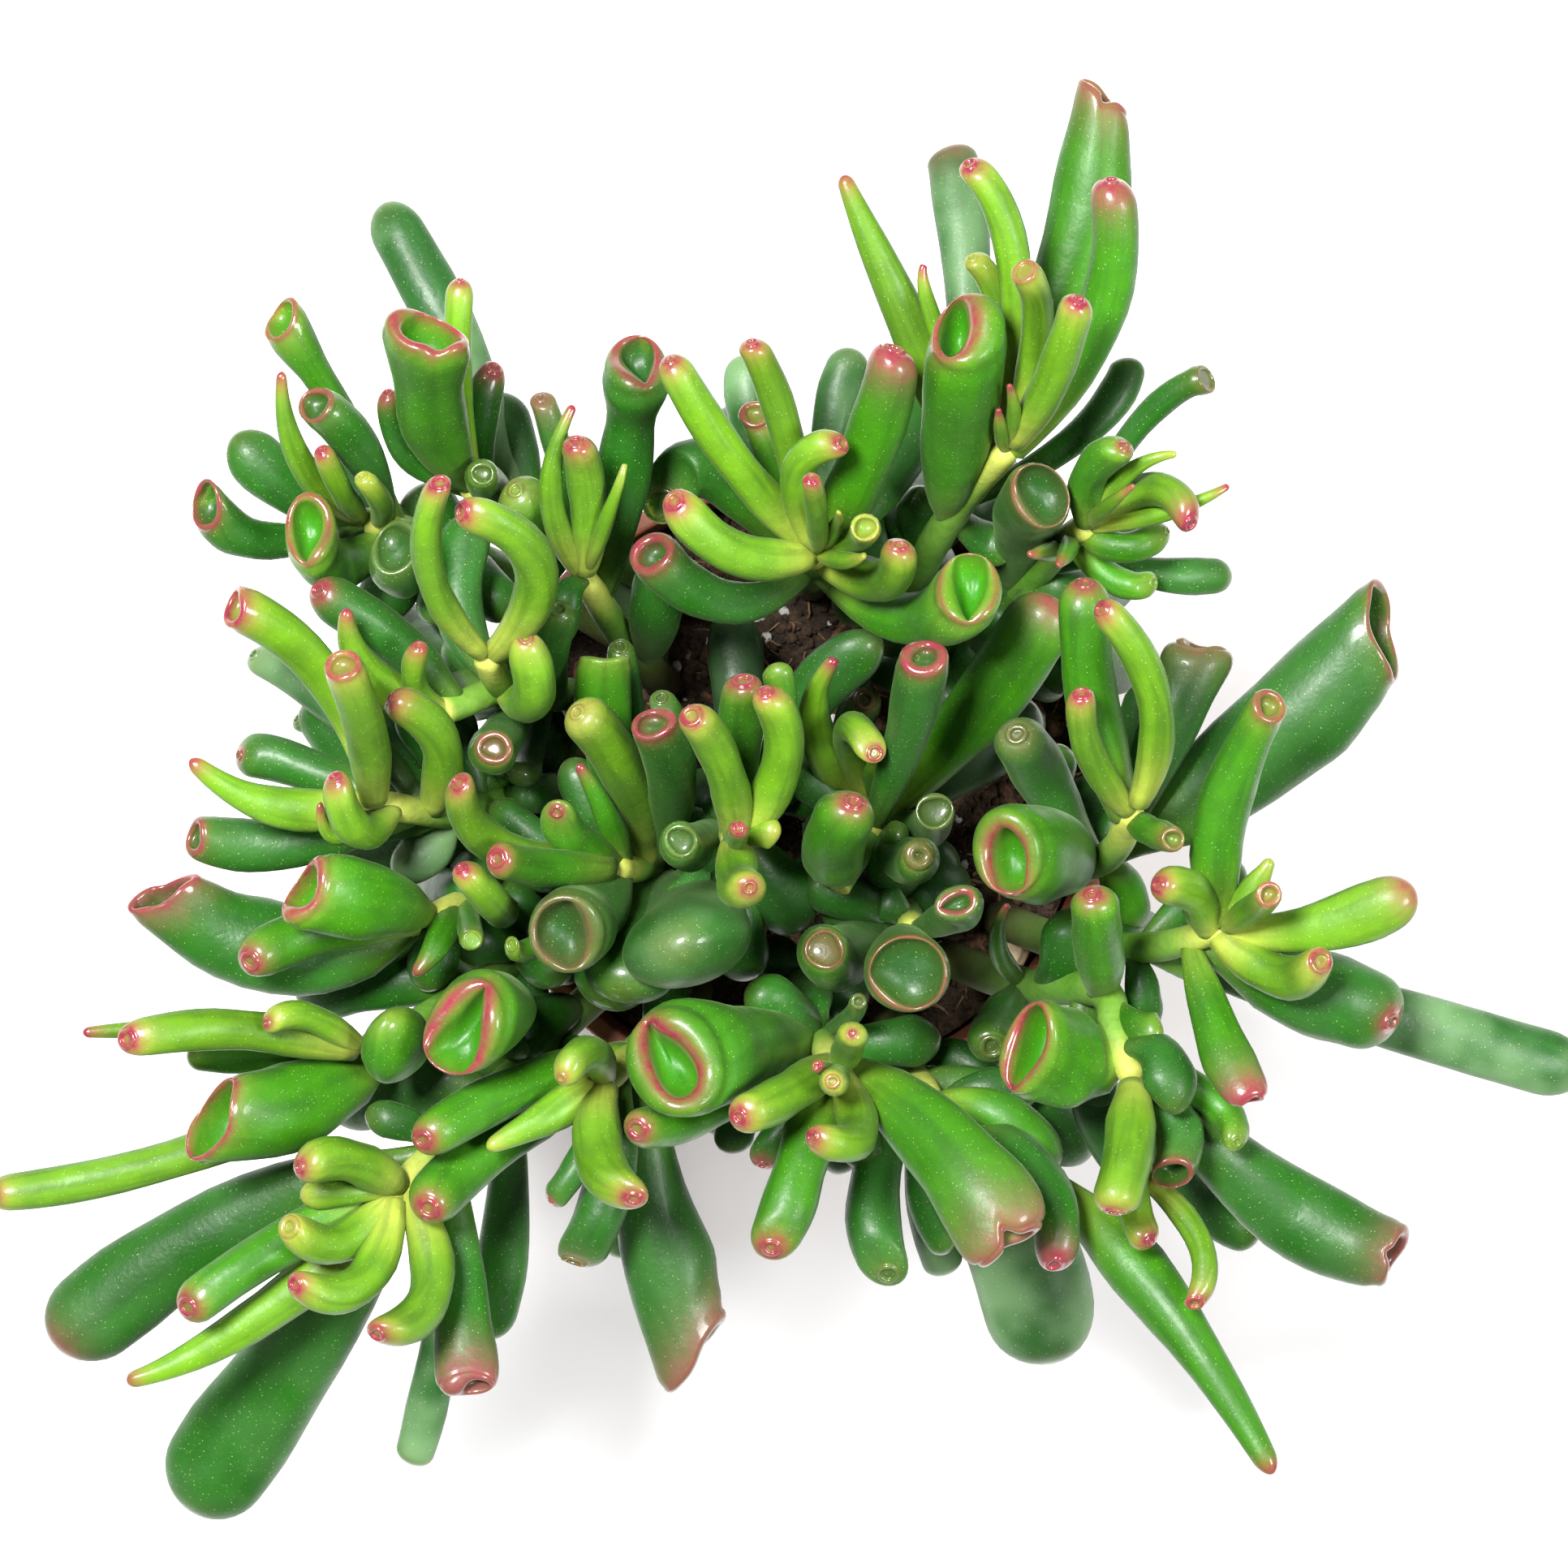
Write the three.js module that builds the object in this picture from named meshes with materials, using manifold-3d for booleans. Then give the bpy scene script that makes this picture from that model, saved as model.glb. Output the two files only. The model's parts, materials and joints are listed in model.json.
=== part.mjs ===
// A potted hobbit jade: a shrubby succulent whose leaves are fleshy tubes with cupped, red-rimmed tips.
// A plain plastic nursery pot holds a plug of soil, and the leafy shoots stand in holes in it.
// Millimetres, +Z up. The origin is the middle of the pot's flat bottom.
import * as THREE from "three";
import { mergeVertices } from "three/addons/utils/BufferGeometryUtils.js";
import Module from "manifold-3d";

const wasm = await Module();
wasm.setup();

// Driving dimensions: the pot and the soil.
const potHeight = 98;
const potRimRadius = 52;
const potBandHeight = 14;
const potWallRadius = 49.4;
const potFootRadius = 37;
const potWall = 1.5;
const potFloor = 2.4;
const drainHoleRadius = 4;
const drainRingRadius = 25;
const drainHoles = 6;
const roundSides = 30;
const clearance = 0.35;
const soilHeight = 88;
const soilRoughness = 0.9;
const soilHighest = 1.5;
const soilRingRadii = [34, 17];

// Driving dimensions: the stems.
const stemFootRadius = 3.1;
const stemTipRadius = 2.2;
const stemSides = 6;
const stemCap = 1.1;
const stemUpright = [70, 90, 97];
const holeGap = 0.7;
const holeSides = 8;

// The plan positions below are read from straight above, by an eye over the crowns. A point that is
// higher than the reading height looks further from the eye's axis than it is, and place() undoes that.
const eye = new THREE.Vector3(-2, 1, 1000);
const readingHeight = 150;
const potInPlan = new THREE.Vector2(5, 4);

// How leaves keep clear of each other, of the stems and of the pot as they grow.
const leafGap = 0.9;
const siblingGap = 0.1;
const siblingsFrom = 0.25;
const growthSteps = 90;
const sidewaysShare = 0.35;
const shiftShare = 0.8;
const samplesPerLeaf = 9;
const samplesPerSpan = 7;
const rimShoulder = 8;

// Leaf kinds. finger: a tube with a small round dimple. cup: a trumpet with an open mouth.
// spout: a mouth drawn out to a point on one side. point: a closed pointed tip. blunt: a closed round tip.
// A row is: kind, tone (0 young to 3 old and grey), width, foot, bend and tip as x, y, z, and the mouth:
// long and short diameter, the way that it faces (bearing, height angle) and the bearing of its long axis.
// A spout's mouth gives the reach of its point and its half width in place of the two diameters.
const shoots = [
  {
    name: "shoot_north",
    foot: [7, 36],
    stems: [[[7.5, 38, 128], [8, 41, 159]]],
    leaves: [
      ["finger", 0, 6.2, [7, 42, 157], [-4, 54, 170], [-14.7, 70.3, 180], [2.6, 2.4, 120, 30, 0]],
      ["finger", 0, 7, [7, 40, 158], [-4, 40.5, 167], [-14, 48.6, 174], [5.2, 5, 140, 60, 0]],
      ["cup", 2, 8, [8, 36, 138], [-5, 32.8, 145], [-17.3, 40.5, 154], [8, 7.6, 140, 55, 0]],
      ["finger", 3, 8, [7, 36, 132], [-9, 51, 140], [-17, 49.5, 133], [5.5, 5, 180, 10, 0]],
      ["finger", 0, 5.4, [8, 42, 158], [3, 60, 172], [-2, 73, 181], [3.4, 3.4, 100, 40, 0]],
      ["finger", 1, 5.5, [7, 40, 148], [2, 54, 157], [-1.5, 62, 161], [5, 4.5, 100, 65, 0]],
      ["blunt", 3, 8, [7, 38, 138], [-1, 57, 143], [-1.5, 71, 143]],
      ["finger", 0, 5.5, [8, 42, 158], [5, 53.5, 171], [12, 57.5, 178], [3.6, 3.4, 20, 45, 0]],
      ["finger", 0, 3.6, [8, 41, 159], [9, 46, 174], [7.5, 52, 185], [2.6, 2.6, 90, 60, 0]],
      ["finger", 0, 4.8, [8, 41, 156], [14, 43, 166], [15.5, 44.5, 175], [5, 4.8, 45, 80, 0]],
      ["point", 0, 3, [8, 40, 156], [12.5, 39.5, 167], [15.5, 40.3, 173]],
      ["finger", 0, 7, [8, 38, 148], [18, 36.5, 160], [20.8, 41.8, 172], [4.4, 3, 80, 45, 0]],
      ["point", 0, 2.6, [8, 41, 158], [10, 44.5, 170], [10.7, 47, 178]],
      ["finger", 1, 9, [8, 40, 150], [17, 56, 167], [21.4, 72, 178], [5.6, 4.4, 70, 25, 0]],
      ["blunt", 3, 7, [8, 39, 142], [10, 58, 147], [14, 72, 147]],
      ["spout", 1, 9.5, [8, 36, 136], [21, 29.5, 153], [30.7, 35, 168], [8, 5.2, 110, 68, -88]],
    ],
  },
  {
    name: "shoot_north_east",
    foot: [17, 26],
    stems: [[[23, 37, 126], [30, 48, 148], [38, 57, 164]]],
    leaves: [
      ["point", 0, 7.2, [33, 51, 155], [22, 77, 167], [12.2, 98.8, 172]],
      ["point", 0, 3.2, [35, 54, 159], [26, 75, 168], [24.5, 85, 172]],
      ["blunt", 3, 8.5, [31, 49, 149], [31, 84, 146], [28.5, 103, 141]],
      ["finger", 0, 5.5, [38, 57, 162], [38, 84, 173], [31.5, 100.5, 178], [4.2, 4, 120, 40, 0]],
      ["finger", 0, 4.2, [36, 55, 160], [37, 76, 169], [32.5, 86, 173], [3, 3, 120, 40, 0]],
      ["finger", 0, 5.2, [38, 57, 163], [42, 74, 177], [40, 84, 187], [5, 5, 130, 50, 0]],
      ["finger", 0, 6, [38, 57, 163], [44.5, 68, 180], [48.3, 79.5, 192], [4, 4, 70, 50, 0]],
      ["finger", 1, 7.8, [38, 57, 160], [51.2, 76, 171], [53.4, 98, 180], [4, 4, 90, 30, 0]],
      ["cup", 2, 13.5, [35, 54, 151], [47, 84.5, 157], [52.4, 110.9, 161], [10.8, 7, 50, 8, -45]],
      ["blunt", 2, 6, [32, 50, 147], [49.5, 59.5, 149], [56, 70.7, 148]],
      ["point", 0, 2.6, [38, 57, 164], [38, 62, 174], [37.5, 66.5, 181]],
      ["point", 0, 2.4, [37, 56, 163], [36.5, 60, 171], [36, 63, 176]],
      ["cup", 1, 12.8, [28, 45, 144], [29, 57, 163], [30.7, 74.6, 182], [14.5, 12.5, 120, 66, 80]],
    ],
  },
  {
    name: "shoot_east_north",
    foot: [30, 22],
    stems: [[[38, 33, 122], [46, 42, 146], [50, 45, 158]]],
    leaves: [
      ["finger", 2, 4.4, [48, 44, 152], [58, 60.6, 162], [68, 67.4, 167], [4.6, 4.2, 20, 35, 0]],
      ["finger", 0, 6, [49, 45, 157], [50, 53, 168], [55.5, 57, 176], [3.6, 3.4, 50, 50, 0]],
      ["point", 0, 3, [50, 45, 157], [56, 53, 169], [63.5, 55.8, 172]],
      ["point", 0, 2.4, [50, 45, 158], [53, 48, 170], [57, 51, 176]],
      ["point", 0, 3, [50, 45, 156], [62, 47, 166], [71.5, 51, 168]],
      ["finger", 0, 5.5, [50, 45, 157], [60, 50.5, 167], [65.7, 45, 173], [4, 4, -45, 40, 0]],
      ["finger", 1, 5, [49, 44, 154], [55, 41.5, 157], [62, 44, 157], [2.6, 2.6, 20, 30, 0]],
      ["blunt", 2, 5.8, [45, 41, 144], [60, 37.5, 147], [71.8, 37.2, 143]],
      ["finger", 1, 4.6, [47, 43, 149], [54, 36.5, 152], [60, 36, 153], [3, 3, 0, 40, 0]],
      ["cup", 2, 11, [38, 33, 122], [40, 43, 146], [42.8, 49.3, 168], [11.6, 9.6, 250, 82, 120]],
      ["point", 1, 3, [47, 43, 150], [46.5, 40.5, 161], [45, 38.5, 165]],
      ["point", 0, 3.2, [45, 41, 144], [43, 41.5, 156], [40.5, 41, 162]],
    ],
  },
  {
    name: "shoot_east",
    foot: [40, -4],
    stems: [[[45, -8, 120], [53, -6, 143], [57, 1, 161]]],
    leaves: [
      ["finger", 1, 8.5, [56, 0, 157], [50.5, 18, 167], [49.3, 36, 174], [3.8, 3.6, 90, 40, 0]],
      ["finger", 0, 5.8, [57, 1, 161], [60.2, 17.6, 177], [51.8, 32, 186], [3.8, 3.6, 160, 45, 0]],
      ["finger", 0, 5, [56, 0, 159], [50.5, 9, 169], [48.8, 19, 177], [2.8, 2.8, 100, 50, 0]],
      ["blunt", 1, 4.8, [57, 0, 158], [60, -2.5, 163], [63, -3.5, 168]],
      ["cup", 2, 10.5, [54, -4, 146], [62, 13, 150], [67.3, 26.2, 151], [11.5, 6.5, 80, 5, -8]],
      ["cup", 2, 18.5, [53, -6, 141], [75, 9, 143], [95.2, 28.5, 149], [18, 11, 10, 26, -82]],
      ["finger", 2, 9.6, [51, -7, 138], [43.5, 3, 149], [39, 12, 160], [5.4, 5, 120, 70, 0]],
      ["cup", 1, 15.5, [49, -8, 131], [45, -3.5, 150], [37.2, -4.6, 166], [15, 12.5, 190, 70, 100]],
    ],
  },
  {
    name: "shoot_east_low",
    foot: [37, -16],
    stems: [
      [[48, -20, 122], [61, -20, 144], [71, -17, 156]],
      [[59, -20, 140], [67, -24, 137]],
    ],
    leaves: [
      ["finger", 1, 8.5, [70, -17, 155], [70.5, 0, 165], [77.8, 17, 178], [6, 6, 40, 60, 0]],
      ["finger", 0, 6.5, [68, -18, 153], [66, -12, 163], [60.5, -10.5, 170], [3.6, 3.4, 170, 40, 0]],
      ["point", 0, 4.5, [71, -17, 155], [75, -11.5, 160], [78, -6.5, 162]],
      ["finger", 0, 4.6, [71, -17, 156], [75.5, -14, 167], [77.7, -12, 175], [4.6, 4.6, 0, 80, 0]],
      ["blunt", 0, 10.4, [70, -17, 155], [84, -15.7, 161], [100, -10.8, 166]],
      ["finger", 0, 7, [70, -17, 154], [79, -24.5, 158], [85.7, -22.3, 168], [4.6, 4.4, 20, 65, 0]],
      ["finger", 2, 13.6, [66, -19, 150], [83.5, -26.5, 151], [96.6, -31.6, 153], [5.4, 4.6, -28, 38, 0]],
      ["blunt", 3, 10.5, [67, -24, 137], [94, -30.5, 134], [126.5, -39.5, 130.5]],
      ["cup", 1, 8.6, [66, -20, 149], [69.5, -32.5, 158], [74.9, -43.8, 165], [7.4, 4.6, -70, 15, 10]],
    ],
  },
  {
    name: "shoot_south_east",
    foot: [29, -22],
    stems: [
      [[40, -26, 118], [52, -27, 140], [54, -33, 148], [57, -41, 153]],
      [[57, -41, 151], [57.5, -55, 147]],
    ],
    leaves: [
      ["finger", 1, 8, [52, -27, 140], [51.5, -19.5, 157], [50.5, -12, 168], [4, 3.6, 100, 50, 0]],
      ["blunt", 2, 8.5, [55, -36, 150], [61, -37, 155], [63.3, -46.5, 156]],
      ["finger", 0, 8, [57, -41, 153], [56, -51, 163], [53.8, -61, 169], [4.6, 3.4, -100, 25, 0]],
      ["finger", 0, 5.6, [57, -45, 150], [56.5, -58, 151], [59.4, -65.5, 155], [3.2, 3, -40, 45, 0]],
      ["cup", 2, 7.8, [56, -39, 152], [63.5, -46, 151], [62.8, -54.2, 157], [7.2, 6.4, -80, 62, 10]],
      ["cup", 2, 14.5, [55, -37, 150], [78.3, -58.6, 141], [96.8, -67.7, 147], [11.4, 8, -25, 15, 66]],
      ["blunt", 2, 8, [57, -44, 150], [66, -57.5, 133], [76.5, -64, 131]],
      ["finger", 0, 4.2, [57.5, -55, 147], [66.8, -65, 153], [66.3, -75, 157], [3, 3, -90, 50, 0]],
      ["finger", 1, 5.6, [56, -38, 151], [68, -43.8, 149], [72.8, -50.2, 153], [2.8, 2.8, -30, 60, 0]],
      ["cup", 1, 15, [55, -37, 150], [49, -37.5, 151], [40.8, -35.6, 161], [16, 10.8, 178, 52, 62]],
      ["point", 1, 3.2, [40, -26, 118], [36, -20, 134], [37.5, -13.5, 143]],
      ["finger", 2, 8, [40, -26, 119], [36, -32, 128], [35, -35.5, 139], [6.5, 6, -90, 70, 0]],
    ],
  },
  {
    name: "shoot_south_right",
    foot: [19, -31],
    stems: [
      [[21, -36, 116], [26, -44, 134]],
      [[26, -44, 132], [36, -51, 136], [44, -57, 138]],
    ],
    leaves: [
      ["blunt", 3, 16, [25, -42, 130], [36, -62, 113], [43.5, -84.5, 108]],
      ["finger", 2, 7.8, [30, -46, 134], [42, -55, 146], [44.6, -69, 154], [5.4, 4, -100, 45, 60]],
      ["blunt", 2, 5, [25, -42, 130], [24, -57, 127], [28.5, -67, 123.5]],
      ["blunt", 3, 6.5, [23, -39, 124], [26, -58, 117], [29, -70, 110]],
      ["finger", 2, 8.6, [22, -38, 120], [17, -58, 132], [19, -70.5, 137], [3.8, 3.8, -100, 60, 0]],
      ["point", 1, 9, [44, -57, 138], [61, -74, 148], [78.3, -101.3, 157]],
    ],
  },
  {
    name: "shoot_middle_right",
    foot: [20, -11],
    stems: [[[22, -15, 118], [23, -18, 134]]],
    leaves: [
      ["cup", 2, 13, [22.5, -17, 128], [22.7, -20.5, 142], [22.5, -23.8, 158], [13.5, 13, -90, 80, 0]],
      ["finger", 2, 10.5, [21, -14, 112], [12.8, -21, 132], [9.2, -20.5, 151], [6.8, 6.4, 160, 72, 0]],
      ["cup", 2, 7.8, [23, -18, 132], [28, -16, 146], [29.5, -13.5, 159], [8, 6, 100, 75, 20]],
    ],
  },
  {
    name: "shoot_middle",
    foot: [18, 3],
    stems: [
      [[17, 0, 118], [16, -3, 136]],
      [[16, -3, 134], [11, -11, 138]],
    ],
    leaves: [
      ["blunt", 2, 9, [17, -1, 124], [32, 15.5, 137], [44.8, 33.5, 149]],
      ["blunt", 3, 12, [17, 0, 114], [30, 8.5, 114], [42, 17, 112]],
      ["cup", 2, 7.8, [16, -2, 132], [20.5, 10, 150], [25, 25.5, 165], [8.4, 7.4, 100, 60, 0]],
      ["finger", 2, 5.8, [17, -1, 122], [24, -2, 132], [26, 0.5, 145], [4.8, 4.8, 90, 85, 0]],
      ["blunt", 2, 6.6, [16, -2, 128], [22, -6.5, 140], [23.8, -6, 152]],
      ["finger", 1, 7.2, [12, -9, 137], [12, -5, 151], [13.7, 2.3, 164], [4.5, 4, 70, 50, 0]],
      ["finger", 0, 5.6, [17, 0, 122], [13.5, 12.5, 142], [17.8, 10, 153], [3, 3, 0, 75, 0]],
      ["blunt", 1, 5, [17, 0, 120], [16, 5, 130], [17.5, 9, 138]],
      ["point", 0, 4.2, [17, 0, 120], [8.5, 13, 140], [11, 24.3, 151]],
      ["blunt", 3, 9, [17, 0, 112], [6, 14, 125], [18, 27.5, 133.5]],
      ["blunt", 2, 7, [18, 2, 104], [14, 11.5, 111], [15.5, 18, 120]],
    ],
  },
  {
    name: "shoot_centre",
    foot: [-2, 4],
    stems: [[[-5, -1, 124], [-4.5, -4, 157]]],
    leaves: [
      ["finger", 0, 6.4, [-4.5, -3, 156], [-6.2, 7.6, 171], [-11.3, 15.5, 182], [4.8, 4.6, 130, 60, 0]],
      ["finger", 0, 6.6, [-4.5, -4, 155], [2.7, 8, 168], [0.2, 19.3, 179], [4, 3.6, 100, 45, 0]],
      ["finger", 1, 7.2, [-4.5, -3, 148], [-4, 11, 159], [-3.2, 21, 168], [6, 5, 95, 40, 0]],
      ["blunt", 1, 5, [-4.5, -3, 144], [2, 12, 152], [1.5, 23.5, 158.5]],
      ["finger", 0, 3.6, [-4.5, -4, 157], [-4.2, -3, 165], [-4, -1.8, 173], [2.4, 2.4, 60, 80, 0]],
      ["blunt", 0, 5, [-4.5, -4, 155], [-1, -2.5, 160], [2.4, -3, 162]],
      ["finger", 0, 7.2, [-4.5, -4, 154], [-4, -10, 165], [-2.3, -11, 176], [3.4, 3.4, -60, 70, 0]],
      ["finger", 2, 7.6, [-5, -1, 124], [-12, -5, 146], [-13, -6.8, 161], [6, 6, -90, 85, 0]],
      ["blunt", 3, 8.5, [-3.5, 1.5, 104], [-4, 16, 109], [-5, 32, 105]],
    ],
  },
  {
    name: "shoot_middle_left",
    foot: [-13, -8],
    stems: [[[-18, -8, 120], [-23, -8, 142]]],
    leaves: [
      ["finger", 0, 7.2, [-18, -8, 122], [-20, 6, 148], [-29.3, 15.5, 162], [4, 4, 140, 50, 0]],
      ["cup", 2, 8.8, [-17, -8, 118], [-15, 3, 146], [-18.3, 14.5, 163], [8, 6, 110, 60, 15]],
      ["finger", 2, 4.8, [-17, -8, 114], [-13.5, 8, 142], [-16, 18.3, 151], [3.4, 3.4, 100, 60, 0]],
      ["finger", 1, 6.2, [-22, -8, 138], [-29, -4.5, 148], [-32.3, -1.5, 157], [2.6, 2.6, -110, 60, 0]],
      ["point", 1, 4.2, [-22, -8, 136], [-25, 0, 147], [-27.8, 8.5, 153]],
      ["finger", 1, 6.2, [-23, -8, 142], [-34, -9, 155], [-41.7, -6, 165], [4.6, 4.6, 170, 65, 0]],
      ["finger", 0, 6.2, [-23, -8, 141], [-39.5, -5.5, 157], [-47, 5, 170], [4.4, 4.2, 140, 50, 0]],
      ["cup", 2, 12.5, [-22, -8, 134], [-25.5, -14, 146], [-27.2, -17.8, 160], [13.5, 12.8, -60, 78, 0]],
      ["blunt", 2, 19, [-17, -8, 114], [-13, -16, 138], [-13.5, -21.5, 161]],
      ["blunt", 2, 12, [-17, -8, 110], [-20, -19, 126], [-23.5, -27, 138]],
      ["cup", 1, 9, [-19, -8, 124], [-23.5, 9, 140], [-24.6, 24.3, 151], [8.5, 5, 90, 5, 0]],
      ["finger", 2, 5, [-18, -8, 118], [-20, 11, 132], [-22.3, 26.2, 142], [4, 4, 90, 60, 0]],
      ["finger", 1, 3.6, [-22, -8, 138], [-31, -17.5, 149], [-38.5, -20, 153], [2.6, 2.6, 180, 60, 0]],
    ],
  },
  {
    name: "shoot_north_left",
    foot: [-16, 21],
    stems: [[[-22, 28, 122], [-28, 37, 148]]],
    leaves: [
      ["finger", 0, 6, [-28, 37, 148], [-26.5, 48, 160], [-29, 57.5, 169], [4.2, 4.2, 100, 50, 0]],
      ["point", 0, 4, [-27, 36, 146], [-33.5, 50, 160], [-29, 63.3, 167]],
      ["finger", 2, 4.4, [-26, 34, 140], [-33, 54, 152], [-34.5, 64.5, 156], [2.8, 2.8, 100, 50, 0]],
      ["point", 0, 2.6, [-28, 37, 148], [-25, 47, 160], [-22, 54.5, 165]],
      ["spout", 2, 10, [-26, 33, 138], [-21.5, 53, 150], [-20.2, 70.6, 161], [7.6, 4.8, 100, 58, -75]],
      ["blunt", 3, 8.5, [-16, 22, 100], [-18, 31, 103], [-18, 43, 106]],
    ],
  },
  {
    name: "shoot_north_west_inner",
    foot: [-10, 33],
    stems: [[[-24, 40, 118], [-38, 47, 136], [-46, 51, 148]]],
    leaves: [
      ["cup", 1, 12.8, [-45, 50, 147], [-51.5, 61, 164], [-52, 74.6, 181], [14, 9.5, 72, 42, -20]],
      ["point", 0, 5, [-45, 50, 146], [-47, 64, 158], [-46.9, 82.6, 165]],
      ["finger", 2, 5.8, [-43, 49, 144], [-45, 57.5, 152], [-42.7, 68.6, 157], [3.6, 3.6, 60, 50, 0]],
      ["finger", 0, 3.8, [-46, 51, 148], [-56, 55, 158], [-58.5, 65, 165], [2.8, 2.8, 110, 50, 0]],
      ["finger", 2, 6, [-37, 46, 135], [-41, 50, 150], [-42, 52, 162], [4.2, 4.2, 90, 85, 0]],
      ["finger", 1, 8, [-34, 45, 132], [-35, 46, 148], [-38.5, 50.5, 159], [4, 4, 130, 60, 0]],
      ["blunt", 3, 8, [-38, 47, 134], [-46, 69.5, 134], [-58.8, 94.4, 131]],
    ],
  },
  {
    name: "shoot_north_west",
    foot: [-22, 28],
    stems: [[[-36, 36, 117], [-52, 43, 136], [-62, 46, 146]]],
    leaves: [
      ["cup", 1, 6, [-55, 44, 140], [-64.5, 60.5, 156], [-74.4, 76.6, 165], [6.8, 5.6, 150, 45, 60]],
      ["cup", 2, 7.5, [-58, 45, 142], [-61, 55.5, 149], [-69, 63.5, 158], [7, 6.5, 140, 60, 0]],
      ["point", 0, 4.6, [-61, 46, 145], [-71, 54, 160], [-74.2, 68.5, 169]],
      ["blunt", 2, 8.8, [-60, 45, 143], [-71.5, 49.5, 150], [-81.5, 59, 153]],
      ["cup", 2, 7, [-62, 46, 145], [-76.5, 42.5, 151], [-86, 48, 157], [9, 6.6, 190, 40, 75]],
      ["cup", 1, 10, [-57, 44, 140], [-65, 38.5, 151], [-70, 43.5, 163], [12, 8, 120, 75, 95]],
      ["finger", 0, 3.8, [-62, 46, 146], [-65, 50, 158], [-68.3, 56.5, 166], [2.8, 2.8, 120, 50, 0]],
      ["finger", 0, 3.8, [-59, 45, 144], [-59, 48, 154], [-62, 52.5, 161], [2.8, 2.8, 120, 60, 0]],
      ["cup", 2, 8.4, [-53, 43, 136], [-56.5, 37, 146], [-57.3, 41.5, 157], [8, 7.4, 150, 70, 0]],
    ],
  },
  {
    name: "shoot_west_crown",
    foot: [-26, 18],
    stems: [
      [[-33, 19, 122], [-40, 20, 148], [-43, 25, 162]],
      [[-40, 20, 146], [-50, 16, 154]],
    ],
    leaves: [
      ["finger", 0, 5, [-43, 25, 161], [-51.5, 37, 179], [-50, 51.5, 192], [4.6, 4.6, 100, 55, 0]],
      ["finger", 0, 7, [-43, 24, 160], [-35, 38, 176], [-46.7, 47, 186], [4.4, 4.4, 180, 50, 0]],
      ["finger", 0, 7, [-40, 20, 148], [-35.8, 18, 157], [-36.8, 27.5, 168], [3.2, 3.2, 90, 60, 0]],
      ["finger", 0, 4, [-49, 16.4, 153], [-54.5, 20, 160], [-54, 26.2, 167], [3, 3, 90, 50, 0]],
      ["finger", 2, 7.8, [-47, 17, 151], [-57, 27, 157], [-68.8, 35.7, 163], [4.4, 4, 150, 50, 0]],
      ["point", 0, 6, [-50, 16, 154], [-60.5, 22.5, 163], [-64.3, 32, 170]],
      ["finger", 2, 7.8, [-36, 19.4, 132], [-41.5, 11, 150], [-42, 10.5, 163], [6.2, 5.6, 150, 80, 0]],
      ["blunt", 2, 6, [-33, 19, 122], [-36.5, 9, 131], [-37.5, 7, 140]],
      ["finger", 2, 6.8, [-31, 18.8, 117], [-33.5, 22, 140], [-31.7, 32, 159], [4.5, 4.5, 90, 60, 0]],
    ],
  },
  {
    name: "shoot_west",
    foot: [-30, 8],
    stems: [[[-38, 4, 122], [-48, 0.5, 144], [-60, 2, 157]]],
    leaves: [
      ["cup", 0, 7.4, [-60, 2, 156], [-68, 21.5, 168], [-81.5, 32.3, 178], [7.4, 6.4, 160, 38, 90]],
      ["finger", 0, 6.8, [-60, 2, 157], [-61.5, 13, 174], [-65, 23.3, 186], [6.4, 6.2, 110, 62, 0]],
      ["finger", 0, 6.6, [-52, 1, 149], [-49.5, 11, 162], [-57.8, 18.3, 171], [3.4, 3, 150, 25, 0]],
      ["point", 0, 5.6, [-59, 2, 155], [-75, 1.5, 158], [-88.5, 8.8, 161]],
      ["finger", 2, 7.2, [-57, 1.6, 153], [-71, 7.5, 150], [-81, 9.5, 150], [3.8, 3.6, 170, 30, 0]],
      ["finger", 0, 5.8, [-57, 1.6, 153], [-62.3, -2.3, 165], [-66.2, 6, 173], [3.4, 3.4, 120, 50, 0]],
      ["point", 0, 3.2, [-58, 2, 154], [-66, -3.5, 159], [-68.4, 1.8, 162]],
      ["cup", 2, 7.8, [-54, 1.2, 149], [-73, -4.6, 145], [-88.4, -4.4, 147], [6.2, 4.8, 170, 40, 80]],
      ["finger", 3, 4.8, [-53, 1, 148], [-63, 11.5, 140], [-72, 15, 138], [3.2, 3, 150, 30, 0]],
      ["finger", 3, 5.8, [-53, 1, 148], [-65, 15.5, 143], [-78.7, 25, 139], [3.6, 3.4, 140, 30, 0]],
      ["blunt", 2, 8.5, [-48, 0.5, 143], [-52, -5.5, 141], [-57.6, -6.5, 141]],
    ],
  },
  {
    name: "shoot_west_mid",
    foot: [-28, -2],
    stems: [[[-38, -9, 117], [-52, -16, 142]]],
    leaves: [
      ["cup", 2, 16.5, [-51, -16, 140], [-72, -20.3, 139], [-91.8, -10.6, 145], [13.5, 6.4, 115, 32, 22]],
      ["cup", 1, 13.5, [-50, -15, 141], [-60, -12.5, 154], [-70.5, -10.8, 162], [13, 8, 150, 32, 60]],
      ["finger", 1, 8, [-52, -16, 141], [-68, -17.3, 147], [-79.3, -22.4, 155], [5, 5, -150, 60, 0]],
      ["finger", 0, 5.6, [-43, -11.5, 127], [-40.5, -14.5, 147], [-46.7, -8, 161], [3, 3, 120, 50, 0]],
      ["finger", 1, 4.2, [-46, -13, 131], [-45.5, -17, 143], [-45, -19, 152], [3, 3, 0, 85, 0]],
    ],
  },
  {
    name: "shoot_west_low",
    foot: [-24, -12],
    stems: [
      [[-38, -22, 117], [-52, -31, 138], [-62, -36, 147]],
      [[-52, -31, 136], [-65, -43, 138]],
    ],
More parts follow.
